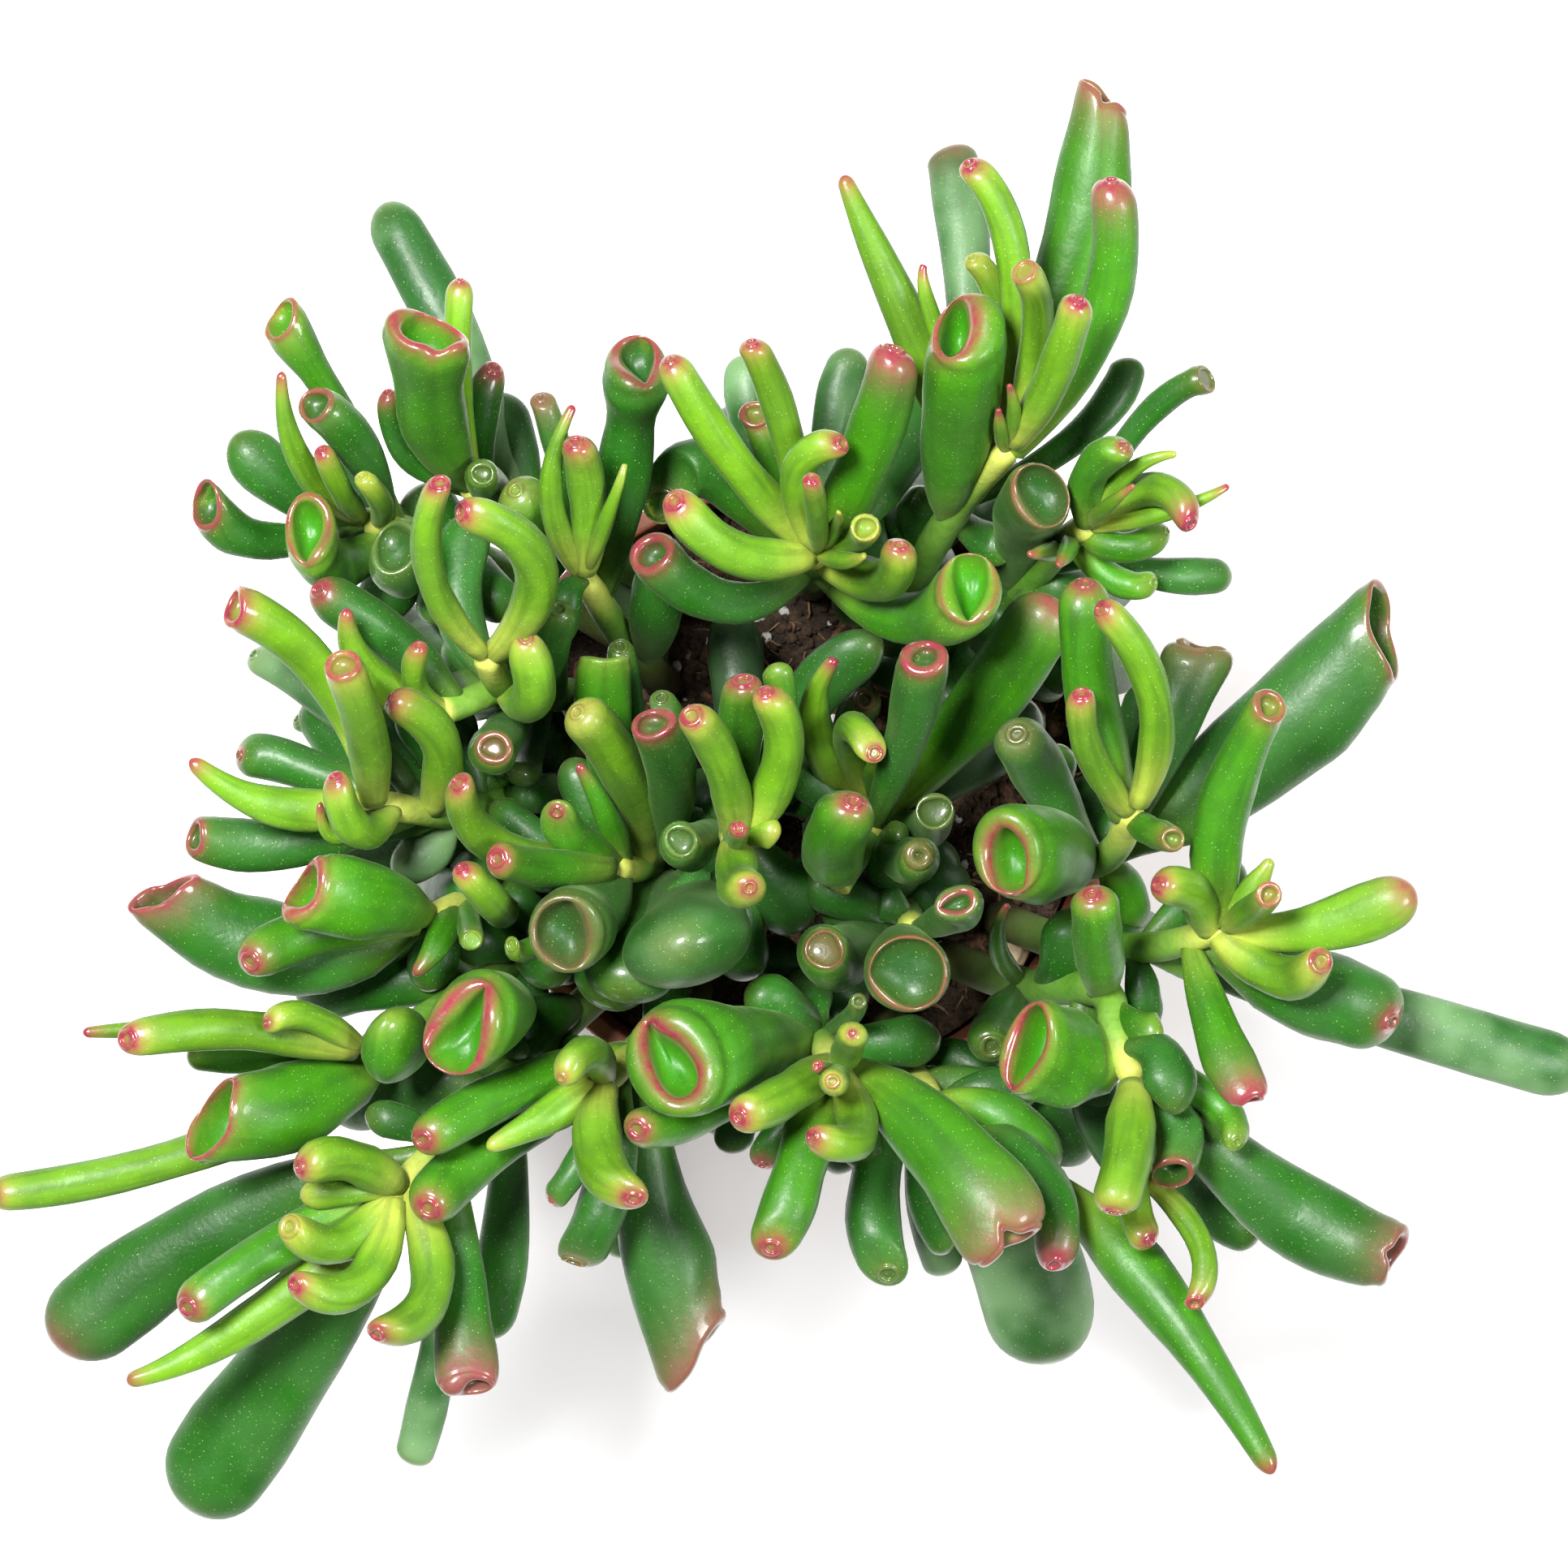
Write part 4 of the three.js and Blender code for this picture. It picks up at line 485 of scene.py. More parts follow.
   ["finger", 1, 7.2, [-4.5,-3,148], [-4,11,159], [-3.2,21,168], [6,5,95,40,0]],
   ["blunt", 1, 5, [-4.5,-3,144], [2,12,152], [1.5,23.5,158.5]],
   ["finger", 0, 3.6, [-4.5,-4,157], [-4.2,-3,165], [-4,-1.8,173], [2.6,2.6,60,80,0], dict(flare=0.7)],
   ["blunt", 0, 5, [-4.5,-4,155], [-1,-2.5,160], [2.4,-3,162]],
   ["finger", 0, 7.2, [-4.5,-4,154], [-4,-10,165], [-2.3,-11,176], [3.4,3.4,-60,70,0],
    dict(red=[0.4,1.3,1])],
   ["finger", 2, 7.6, [-5,-1,124], [-12,-5,146], [-13,-6.8,161], [6,6,-90,85,0],
    dict(open=[1.9,1.8], deep=0.8, flare=0.9, red=[0.4,0.8,0.1])],
   ["blunt", 3, 8.5, [-3.5,1.5,104], [-4,16,109], [-5,32,105]],
  ], "low": [
   [6, [-5,-2,128], [-10,-10,134], [-15,-14,134]],
   [6, [-5,-2,130], [1,-7,134], [6,-13,132]],
   [11, [-4.6,-3,138], [1,-10,134], [6,-17,128]],
   [9, [-4.8,-2,132], [-5,-14,134], [-2,-25,130]],
  ]},
 {"name": "shoot_middle_left", "foot": [-13,-8],
  "stems": [[[-18,-8,120], [-23,-8,142]]],
  "leaves": [
   ["finger", 0, 8, [-18,-8,122], [-20,6,148], [-29.3,15.5,162], [4,4,140,50,0],
    dict(red=[0.4,1,0.15], blush=[4,0.3])],
   ["cup", 2, 8.8, [-17,-8,118], [-15,3,146], [-18.3,14.5,163], [8,6,110,60,15],
    dict(open=[2.4,1.5], at=[-0.3,0], deep=1, red=[0.5,1.7,1])],
   ["finger", 2, 4.8, [-17,-8,114], [-13.5,8,142], [-16,18.3,151], [3.4,3.4,100,60,0],
    dict(red=[0.4,1,0.1])],
   ["finger", 1, 6.6, [-22,-8,138], [-29,-4.5,148], [-32.3,-1.5,157], [3.4,3.4,-110,60,0],
    dict(flare=0.6, red=[0.4,1,0.9])],
   ["point", 1, 4.2, [-22,-8,136], [-25,0,147], [-27.8,8.5,153]],
   ["finger", 1, 6.2, [-23,-8,142], [-34,-9,155], [-41.7,-6,165], [4.6,4.6,170,65,0]],
   ["finger", 0, 6.2, [-23,-8,141], [-39.5,-5.5,157], [-47,5,170], [4.4,4.2,140,50,0]],
   ["cup", 2, 12.5, [-22,-8,134], [-25.5,-14,146], [-27.2,-17.8,160], [13.5,12.8,-60,78,92],
    dict(open=[5.4,3.5], at=[0,0.6], deep=4, red=[0.8,0.8,0.3], blush=[4,0.25])],
   ["blunt", 2.3, 20.5, [-17,-8,114], [-14,-16,138], [-15.5,-22,161]],
   ["blunt", 1.8, 12, [-17,-8,110], [-20,-19,126], [-23.5,-27,138]],
   ["cup", 1, 9, [-19,-8,124], [-23.5,9,140], [-24.6,24.3,151], [8.5,5,90,5,0],
    dict(open=[3,1.4], deep=2, red=[0.4,0.5,0.1])],
   ["finger", 2, 5, [-18,-8,118], [-20,11,132], [-22.3,26.2,142], [4,4,90,60,0], dict(red=[0.4,1,0.1])],
   ["finger", 1, 3.6, [-22,-8,138], [-31,-17.5,149], [-38.5,-20,153], [2.6,2.6,180,60,0],
    dict(open=[0.7,0.7], flare=0.9, red=[0.4,0.7,0.12])],
  ], "low": [
   [6.5, [-20,-8,130], [-26,0,134], [-30,9,134]],
   [6, [-22,-8,138], [-32,-5,142], [-42,2,140]],
   [14, [-17,-8,118], [-20,-19,138], [-22,-27,150]],
  ]},
 {"name": "shoot_north_left", "foot": [-16,21],
  "stems": [[[-22,28,122], [-28,37,148]]],
  "leaves": [
   ["finger", 0, 6, [-28,37,148], [-26.5,48,160], [-29,57.5,169], [4.2,4.2,100,50,0],
    dict(red=[0.4,2.4,1])],
   ["point", 0, 4, [-27,36,146], [-33.5,50,160], [-29,63.3,167]],
   ["finger", 2, 4.4, [-26,34,140], [-33,54,152], [-34.5,64.5,156], [2.8,2.8,100,50,0],
    dict(red=[0.4,1.4,0.5], blush=[4,0.6])],
   ["bare", 0, 2.6, [-28,37,148], [-25,47,160], [-22,54.5,165]],
   ["spout", 2, 10, [-26,33,138], [-21.5,53,150], [-20.2,70.6,161], [7.6,4.8,100,58,-75],
    dict(open=[4.4,2.8], at=[0.5,0.7], drop=0.8, deep=4, waist=0.22, red=[0.55,0.9,0.9])],
   ["blunt", 3, 8.5, [-16,22,100], [-18,31,103], [-18,43,106]],
  ], "low": [
   [6, [-25,32,136], [-23,42,142], [-24,51,142]],
   [9, [-16,22,108], [-17,30,130], [-15,39,137]],
   [6, [-28,36.5,147], [-30.5,34,150], [-31,27,146]],
  ]},
 {"name": "shoot_north_west_inner", "foot": [-10,33],
  "stems": [[[-24,40,118], [-38,47,136], [-46,51,148]]],
  "leaves": [
   ["cup", 1, 12.8, [-45,50,147], [-51.5,61,164], [-52,74.6,181], [14,9.5,72,42,-20],
    dict(open=[4.6,3.2], at=[0.6,0.7], drop=0.2, deep=6, flare=1.05, waist=0.14, notch=[1.4,-60],
    red=[0.45,1.5,0.95])],
   ["finger", 0, 4.6, [-45,50,146], [-47,64,158], [-46.9,82.6,165], [2.6,2.5,90,30,0],
    dict(red=[0.4,1.6,1])],
   ["finger", 2, 5.8, [-43,49,144], [-45,57.5,152], [-42.7,68.6,157], [3.6,3.6,60,50,0]],
   ["finger", 2, 3.8, [-46,51,148], [-54.5,55.5,158], [-58.5,65,165], [2.8,2.8,110,50,0]],
   ["finger", 2, 6, [-37,46,135], [-41,50,150], [-42,52,162], [4.2,4.2,90,85,0],
    dict(open=[1.3,1.2], deep=0.6, flare=0.9, red=[0.4,0.8,0.1])],
   ["finger", 1, 8.6, [-34,45,132], [-35,46,148], [-38.5,50.5,159], [4,4,130,60,0],
    dict(red=[0.4,1,0.12], blush=[4,0.3])],
   ["blunt", 3, 9, [-38,47,134], [-46,69.5,134], [-58.8,94.4,131]],
  ], "low": [
   [7.5, [-36,46,133], [-38,56,134], [-42,65,132]],
   [9, [-45,50,144], [-50,55,140], [-55,62,133]],
  ]},
 {"name": "shoot_north_west", "foot": [-22,28],
  "stems": [[[-36,36,117], [-52,43,136], [-62,46,146]]],
  "leaves": [
   ["cup", 1, 6, [-55,44,140], [-64.5,60.5,156], [-74.4,76.6,165], [8,6.2,150,45,60],
    dict(open=[2.9,2.3], at=[0,0.2], deep=2, flare=1.05, waist=0.2, red=[0.5,0.8,0.8])],
   ["cup", 2, 7.5, [-58,45,142], [-61,55.5,158], [-69,63.5,167], [7,6.5,140,60,0],
    dict(open=[2.3,1.9], at=[-0.3,0], deep=1.8, red=[0.6,0.8,0.8])],
   ["point", 0, 4.6, [-61,46,145], [-71,54,160], [-74.2,68.5,169]],
   ["blunt", 2, 8.8, [-60,45,143], [-71.5,49.5,150], [-81.5,59,153]],
   ["cup", 2, 7, [-62,46,145], [-76.5,42.5,151], [-86,48,157], [9,6.6,190,52,75],
    dict(open=[3.3,2.4], at=[0,0.2], deep=3, red=[0.55,1.1,0.9])],
   ["cup", 1, 10, [-57,44,140], [-65,38.5,151], [-70,43.5,163], [12,8,120,75,95],
    dict(open=[4.6,2.7], at=[-0.2,0.6], drop=-0.7, deep=4, flare=1.1, red=[0.4,0.7,0.8])],
   ["finger", 0, 3.8, [-62,46,146], [-65,50,158], [-68.3,56.5,166], [2.8,2.8,120,50,0]],
   ["finger", 0, 3.8, [-59,45,144], [-59,48,154], [-62,52.5,161], [2.8,2.8,120,60,0],
    dict(red=[0.4,1,0.1])],
   ["cup", 2, 8.4, [-53,43,136], [-56.5,37,146], [-57.3,41.5,157], [10,8.2,150,70,60],
    dict(open=[3.5,2.9], deep=1.8, flare=0.95, red=[0.4,0.5,0.1])],
  ], "low": [
   [8, [-45,40,128], [-43,36,133], [-40,30,134]],
   [8.5, [-50,42,134], [-56,36,134], [-62,32,131]],
   [6.5, [-48,41,131], [-50,35,138], [-51,29.5,140]],
   [6, [-34,35,116], [-33,39,124], [-32,44.5,128]],
   [9, [-55,44,136], [-61,48,134], [-67,55,129]],
   [11, [-45,40,127], [-50,45,132], [-55,50,134]],
   [9, [-52,43,134], [-60,41,132], [-66,44,128]],
  ]},
 {"name": "shoot_west_crown", "foot": [-26,18],
  "stems": [[[-33,19,122], [-40,20,148], [-43,25,162]], [[-40,20,146], [-50,16,154]]],
  "leaves": [
   ["finger", 0, 5, [-43,25,161], [-51.5,37,179], [-50,51.5,192], [4.6,4.6,100,55,0]],
   ["finger", 0, 7, [-43,24,160], [-35,38,176], [-46.7,47,186], [4.4,4.4,180,50,0]],
   ["finger", 0, 7, [-40,20,148], [-35.8,18,157], [-36.8,27.5,168], [3,3,90,60,0],
    dict(flare=0.75, red=[0.4,1,0.8])],
   ["finger", 0, 4, [-49,16.4,153], [-54.5,20,160], [-54,26.2,167], [3,3,90,50,0]],
   ["finger", 2, 7.8, [-47,17,151], [-57,27,157], [-68.8,35.7,163], [4.4,4,150,50,0]],
   ["point", 0, 6, [-50,16,154], [-60.5,22.5,163], [-64.3,32,170]],
   ["finger", 2, 7.8, [-36,19.4,132], [-41.5,11,150], [-42,10.5,163], [6.2,5.6,150,80,0],
    dict(open=[1.7,1.6], deep=0.8, flare=0.95, red=[0.5,0.9,0.7])],
   ["blunt", 2, 6, [-33,19,122], [-36.5,9,131], [-37.5,7,140]],
   ["finger", 2, 6.8, [-31,18.8,117], [-33.5,22,140], [-31.7,32,159], [4.5,4.5,90,60,0],
    dict(red=[0.4,1,0.1])],
  ], "low": [
   [7, [-38,19.7,140], [-44,23,142], [-49,27,140]],
   [7, [-40,20,143], [-46,27,143], [-47,36,140]],
   [7, [-38,19.8,140], [-44,20,140], [-50,24,136]],
   [8, [-44,22,144], [-47,34,143], [-44,46,140]],
   [12, [-44,19,148], [-54,26,128], [-63,31,116]],
  ]},
 {"name": "shoot_west", "foot": [-30,8],
  "stems": [[[-38,4,122], [-48,0.5,144], [-60,2,157]]],
  "leaves": [
   ["cup", 0, 7.4, [-60,2,156], [-68,21.5,168], [-81.5,32.3,178], [7.4,6.4,160,38,90],
    dict(open=[2.1,1.6], at=[0,0.3], deep=1.6, red=[0.5,2.2,1])],
   ["finger", 0, 6.8, [-60,2,157], [-61.5,13,174], [-65,23.3,186], [6.4,6.2,110,62,0],
    dict(open=[1.7,1.6], deep=1.3, flare=1, red=[0.5,1.1,0.85])],
   ["finger", 0, 6.6, [-52,1,149], [-49.5,11,162], [-57.8,18.3,171], [3.4,3,150,25,0],
    dict(flare=0.5, red=[0.3,3.2,1])],
   ["point", 0, 6.6, [-59,2,155], [-75,1.5,158], [-88.5,8.8,161]],
   ["finger", 2, 7.2, [-57,1.6,153], [-71,7.5,150], [-81,9.5,150], [3,2.8,170,30,0], dict(red=[0.4,1,0.8])],
   ["finger", 0, 5.8, [-57,1.6,153], [-62.3,-2.3,165], [-66.2,6,173], [3.4,3.4,120,50,0]],
   ["point", 0, 3.2, [-58,2,154], [-66,-3.5,159], [-68.4,1.8,162]],
   ["cup", 2, 9, [-54,1.2,149], [-73,-4.6,145], [-88.4,-4.4,147], [7.4,5.6,170,40,80],
    dict(open=[1.9,1.3], deep=0.9, flare=0.85, red=[0.5,1,0.9])],
   ["finger", 3, 4.8, [-53,1,148], [-63,11.5,140], [-72,15,138], [3.2,3,150,30,0], dict(red=[0.4,1,0.12])],
   ["finger", 3, 5.8, [-53,1,148], [-65,15.5,143], [-78.7,25,139], [3.6,3.4,140,30,0],
    dict(red=[0.4,1,0.12])],
   ["blunt", 3, 8.5, [-48,0.5,143], [-52,-5.5,141], [-57.6,-6.5,141]],
  ], "low": [
   [7, [-46,1.5,141], [-50,9,142], [-56,17,141]],
   [6.5, [-44,2,136], [-46,9,136], [-48,17,134]],
   [7, [-50,1,146], [-58,-1,142], [-66,1,138]],
   [9, [-48,1,144], [-55,8,138], [-57,19,134]],
   [8, [-58,1.5,152], [-64,9,144], [-70,18,137]],
   [10, [-50,1,144], [-57,-4,136], [-65,-8,129]],
  ]},
 {"name": "shoot_west_mid", "foot": [-28,-2],
  "stems": [[[-38,-9,117], [-52,-16,142]]],
  "leaves": [
   ["cup", 2, 16.5, [-51,-16,140], [-72,-20.3,139], [-91.8,-10.6,145], [13.5,6.4,115,32,22],
    dict(open=[5.3,2.3], at=[-0.3,0], drop=0.4, deep=5, red=[0.5,1.2,0.9], blush=[4.5,0.7])],
   ["cup", 1, 13.5, [-50,-15,141], [-60,-12.5,154], [-70.5,-10.8,162], [13,8,150,46,60],
    dict(open=[3.6,2.6], at=[0,1], deep=5, red=[0.6,1.7,0.95])],
   ["finger", 1, 8, [-52,-16,141], [-68,-17.3,147], [-79.3,-22.4,155], [5,5,-150,60,0]],
   ["finger", 0, 5.6, [-43,-11.5,127], [-40.5,-14.5,147], [-46.7,-8,161], [3,3,120,50,0]],
   ["finger", 1, 4.2, [-46,-13,131], [-45.5,-17,143], [-45,-19,152], [3,3,0,85,0],
    dict(open=[1.2,1.2], flare=0.95, red=[0.4,1,0.1])],
  ], "low": [
   ["point", 1, 5, [-48,-14,136], [-50,-19,144], [-54,-24.5,147]],
   [8, [-46,-13,130], [-50,-19,133], [-52,-27,132]],
   [7, [-40,-10,120], [-42,-3,124], [-46,4,122]],
   [9, [-40,-10,120], [-46,-5,124], [-54,-3,121]],
   [11, [-46,-14,134], [-61,-19,130], [-77,-21,122]],
  ]},
 {"name": "shoot_west_low", "foot": [-24,-12],
  "stems": [[[-38,-22,117], [-52,-31,138], [-62,-36,147]], [[-52,-31,136], [-65,-43,138]]],
  "leaves": [
   ["finger", 0, 6.6, [-62,-36,147], [-80,-33,159], [-98.3,-34.3,167], [4.8,4.8,180,65,0]],
   ["point", 0, 4.6, [-61,-35.5,146], [-84,-33,150], [-105,-33.3,154]],
   ["blunt", 1, 5, [-60,-35,145], [-76,-37,143], [-89,-36.5,143]],
   ["finger", 0, 4.6, [-62,-36,147], [-70,-31,158], [-76.7,-31.8,163], [2.2,2.2,180,50,0],
    dict(red=[0.4,1,1])],
   ["blunt", 1, 12.5, [-53,-32,138], [-55,-36,148], [-56,-31,160]],
   ["spout", 1, 14.5, [-44,-26,126], [-42.5,-28,148], [-49.2,-33.6,162], [10.6,6.3,150,66,63],
    dict(open=[7.2,4.4], at=[0.4,-0.2], drop=0.8, deep=4, red=[0.6,1.3,1])],
   ["cup", 1, 15, [-58,-36.5,137], [-70,-43.5,148], [-85,-46.6,157], [15.5,9,155,42,58],
    dict(open=[6.8,4.3], deep=6, red=[0.5,1.1,0.95])],
   ["finger", 0, 6.3, [-65,-43,138], [-92,-53,141], [-119,-58.2,145], [4,4,180,30,0]],
  ], "low": [
   [8, [-36,-21,115], [-37,-27,120], [-34,-35,121]],
   [7, [-44,-26,127], [-51,-20,126], [-59,-16,122]],
   [8, [-38,-22,118], [-35,-22,126], [-30,-25,130]],
   [11, [-44,-26,128], [-58,-25,128], [-72,-27,120]],
   [8, [-36,-21,116], [-41,-19,126], [-48,-20,127]],
  ]},
 {"name": "shoot_south_west", "foot": [-19,-21],
  "stems": [[[-32,-33,118], [-46,-47,138], [-57,-58,150]]],
  "leaves": [
   ["finger", 0, 7, [-56,-57,149], [-64,-53,159], [-71.7,-54,165], [3.2,3,180,45,0]],
   ["blunt", 0, 4.6, [-57,-58,149], [-64,-57.8,153], [-71.5,-58.5,152.5]],
   ["finger", 0, 6.6, [-56,-57,149], [-65,-65.5,154], [-73.3,-63.2,161], [4.6,4.4,150,60,0],
    dict(flare=0.85, red=[0.4,0.9,0.35])],
   ["finger", 0, 6.6, [-57,-58,150], [-62,-71.5,157], [-72.4,-72,164], [3.8,3.8,180,55,0]],
   ["finger", 0, 7, [-55,-56,148], [-51,-72.5,156], [-59.8,-79.8,164], [4.6,4.4,-130,45,0]],
   ["cup", 2, 9.8, [-49,-50,142], [-46.5,-73,146], [-45.8,-87.6,151], [10,6,-85,50,0],
    dict(open=[1.8,1.1], at=[1.5,-0.3], deep=1.6, flare=0.85, red=[0.3,2.4,0.55], blush=[6,1])],
   ["blunt", 3, 6.4, [-48,-49,140], [-50,-80,129], [-54.5,-99.7,123]],
   ["blunt", 2, 8, [-40,-41,130], [-39.5,-60,123], [-43,-80.5,119]],
   ["point", 0, 7.2, [-55,-56,148], [-77,-76.5,147], [-98.3,-87,148]],
   ["finger", 1, 7.4, [-54,-55,147], [-76,-67,152], [-89,-75.6,157], [5,5,-160,55,0]],
   ["blunt", 2, 16.5, [-53,-54,146], [-72,-82,125], [-88.4,-107,116]],
   ["tinged", 2, 14.5, [-51,-52,143], [-84,-63.5,134], [-109,-82,131]],
  ], "low": [
   [6.5, [-35,-36,122], [-38,-32,130], [-43,-27,133]],
   [6, [-50,-51,142], [-55,-47.5,146], [-61.5,-46,146]],
   [7.5, [-38,-39,127], [-48,-39,128], [-57,-42,125]],
   [13, [-42,-43,132], [-55,-41,128], [-68,-43,118]],
   [9, [-28,-29,112], [-34,-31,124], [-41,-37,126]],
  ]},
 {"name": "shoot_south_left", "foot": [-11,-27],
  "stems": [[[-17,-33,120], [-24.6,-41,148]]],
  "leaves": [
   ["bare", 0, 6, [-24.6,-41,147], [-34,-46,152], [-43,-50.8,155]],
   ["finger", 0, 8, [-24.6,-41,147], [-24.5,-51,158], [-19.3,-58,166], [4.4,3.6,-100,60,0]],
   ["finger", 2, 4.6, [-24,-40,144], [-28,-52,147], [-33,-59.3,147], [2,2,-140,20,0],
    dict(red=[0.4,0.9,1])],
   ["finger", 2, 8, [-23,-39,141], [-24,-57,143], [-29.4,-68.6,141], [6.5,3.4,-110,30,-10],
    dict(red=[0.4,1.4,0.35])],
   ["cup", 2, 15, [-21,-37,134], [-16.5,-62,130], [-10.5,-82.3,130], [17,8,-34,-5,56],
    dict(open=[4.6,1], deep=1.5, red=[0.3,2.2,0.45], blush=[7,0.75])],
   ["blunt", 3, 6.5, [-21,-37,132], [-21,-55,121], [-22,-68,115]],
   ["finger", 0, 6, [-24.6,-41,147], [-27,-36.5,157], [-31.3,-40.3,164], [2.2,2.2,-140,60,0],
    dict(red=[0.4,0.9,0.6])],
   ["finger", 1, 7.8, [-20,-36,132], [-38,-42.5,149], [-52.5,-50.2,161], [4.6,4.6,-150,60,0]],
   ["finger", 1, 9, [-22,-38,138], [-43,-49.5,142], [-53.3,-60.2,156], [5.4,5.2,-130,65,0]],
  ], "low": [
   [7, [-18,-34,122], [-24,-42,124], [-30,-46,122]],
   [7, [-17,-33,119], [-10,-40,120], [-6,-49,118]],
   [9, [-21,-37,134], [-27,-38,124], [-34,-37,116]],
  ]},
 {"name": "shoot_south", "foot": [9,-31],
  "stems": [[[8,-33,120], [11,-39,148]]],
  "leaves": [
   ["finger", 0, 5, [11,-39,148], [12.7,-36,157], [13.5,-33.5,165], [2.2,2.2,90,75,0],
    dict(flare=0.4, red=[0.4,0.8,0.9])],
   ["finger", 0, 5, [11,-39,148], [10.8,-40,157], [10.5,-40.8,166], [3,3,0,88,0],
    dict(flare=0.8, red=[0.5,0.7,0.6])],
   ["finger", 0, 6.6, [11,-39,147], [14.5,-49,158], [7.3,-49.4,166], [3.2,3.2,180,50,0]],
   ["finger", 1, 8.6, [10.5,-38,144], [5.2,-55,152], [1,-66.5,157], [4.6,4.2,-100,65,0]],
   ["finger", 2, 5.6, [10,-37,138], [3.5,-47,142], [-0.4,-53.7,142], [2.6,2.4,-110,40,0]],
   ["finger", 0, 7, [10.5,-38,145], [1.5,-41,157], [-6.3,-44.3,164], [3.8,3.8,-160,60,0]],
   ["blunt", 2, 6.4, [8.5,-34,124], [-1.5,-42,132], [-5,-52,133]],
   ["spout", 1, 15, [8.5,-34,124], [-2,-33,146], [-13,-35.6,163], [12.5,7.2,120,70,117],
    dict(open=[6.4,3.6], at=[3.2,0.8], drop=0.9, deep=4.5, red=[0.75,1.7,1])],
   ["finger", 1, 7.4, [9,-35,130], [-8,-43.5,146], [-20.8,-49,159], [5,5,-150,60,0]],
   ["cup", 1, 15, [10,-37,138], [27,-50,157], [37.8,-65.8,166], [16,8.4,-56,8,34],
    dict(open=[3.4,1.2], deep=3, flare=0.75, notch=[2,82], red=[0.3,2.4,0.6], blush=[8,0.8])],
  ], "low": [
   ["point", 1, 4.5, [10.5,-38,140], [14,-42,146], [17.5,-44.5,148]],
   ["finger", 2, 3.2, [8.5,-34,124], [13,-31,140], [14.5,-28.5,150], [3,3,0,85,0],
    dict(flare=0.9, red=[0.4,0.7,0.2])],
   ["finger", 0, 2.4, [11,-39,147], [9.5,-38.8,156], [8,-38.5,162], [2,2,180,80,0]],
   [6.5, [9,-35,128], [12,-45,132], [17,-54,131]],
   [8, [8.5,-34,126], [4,-30,136], [-3,-27,138]],
   [8, [9,-35,128], [18,-35,132], [27,-34,130]],
  ]},
]
print(len(shoots), "shoots with", sum(len(shoot["leaves"]) for shoot in shoots), "leaves")

# %% [markdown]
# `place` undoes the lens: a point higher than the reading height looked further out than it is. The CAD
# does the same with the same numbers, so both land on the same spot.

# %% Plan to place
reading_height = 150
pot_in_plan = np.array([5.0, 4.0])
eye_mm = np.array([-2.0, 1.0, 1000.0])
soil_height = 88
pot_height = 98
pot_rim_radius = 52


def spread_at(height):
    return (eye_mm[2] - height) / (eye_mm[2] - reading_height)


def place(point):
    spread = spread_at(point[2])
    x = eye_mm[0] + (point[0] - pot_in_plan[0] - eye_mm[0]) * spread
    y = eye_mm[1] + (point[1] - pot_in_plan[1] - eye_mm[1]) * spread
    return np.array([x, y, point[2]], float)


def smooth(low, high, value):
    share = np.clip((value - low) / (high - low), 0, 1)
    return share * share * (3 - 2 * share)


print("the pot's axis is at", place((*pot_in_plan, pot_height)).round(1))

# %% [markdown]
# A stem is a smooth curve through a few points. Catmull-Rom splines pass through every point they are
# given, which is what the CAD uses, so the same formula is written out here. A main stem starts upright in
# the soil.

# %% Stem curves
stem_upright = [70, 90, 97]
stem_foot_radius = 3.1
stem_tip_radius = 2.2
taper_from = 0.35


def catmull_rom(points, t):
    """The point at share t of a Catmull-Rom spline through the points."""
    spans = len(points) - 1
    i = min(int(t * spans), spans - 1)
    w = t * spans - i
    b, c = points[i], points[i + 1]
    a = points[i - 1] if i > 0 else 2 * b - c
    d = points[i + 2] if i + 2 <= spans else 2 * c - b
    out_b, out_c = 0.5 * (c - a), 0.5 * (d - b)
    cube, square = 2 * b - 2 * c + out_b + out_c, 3 * c - 3 * b - 2 * out_b - out_c
    return cube * w**3 + square * w**2 + out_b * w + b


def stem_curves(shoot):
    curves = []
    for i, points in enumerate(shoot["stems"]):
        placed = [place(point) for point in points]
        if i == 0:
            foot = place([*shoot["foot"], soil_height])
            placed = [np.array([foot[0], foot[1], z]) for z in stem_upright] + placed
        curves.append(placed)
    return curves


def stem_radius(main, s):
    thick = stem_foot_radius if main else stem_tip_radius
    return thick + (stem_tip_radius - thick) * smooth(taper_from, 1, s)


for shoot in shoots:
    shoot["curves"] = stem_curves(shoot)
print("stems:", sum(len(shoot["curves"]) for shoot in shoots))

# %% [markdown]
# A leaf's kind says how its half width changes from foot to tip, how thick it is for its width, and from
# where on it opens into its mouth and turns to face the mouth's way. A bare leaf is a pointed one without
# red, and a tinged leaf is a blunt one with a red end.

# %% Leaves from rows
kinds = {
    "finger": dict(
        thick=0.9, turn_from=0.55, width=[(0, 0.42), (0.3, 0.86), (0.6, 1), (0.9, 0.94), (1, 0.9)]
    ),
    "cup": dict(
        thick=0.72, turn_from=0.45, width=[(0, 0.36), (0.25, 0.64), (0.5, 0.85), (0.75, 1), (1, 1)]
    ),
    "point": dict(
        thick=0.8, turn_from=1, width=[(0, 0.5), (0.3, 0.92), (0.55, 1), (0.8, 0.85), (1, 0.7)]
    ),
    "blunt": dict(
        thick=0.68, turn_from=1, width=[(0, 0.36), (0.25, 0.66), (0.5, 0.88), (0.75, 1), (1, 0.95)]
    ),
}
kinds["spout"] = kinds["cup"]
kinds["bare"] = kinds["point"]
kinds["tinged"] = kinds["blunt"]
largest_foot_radius = 1.8
smallest_half = 0.5
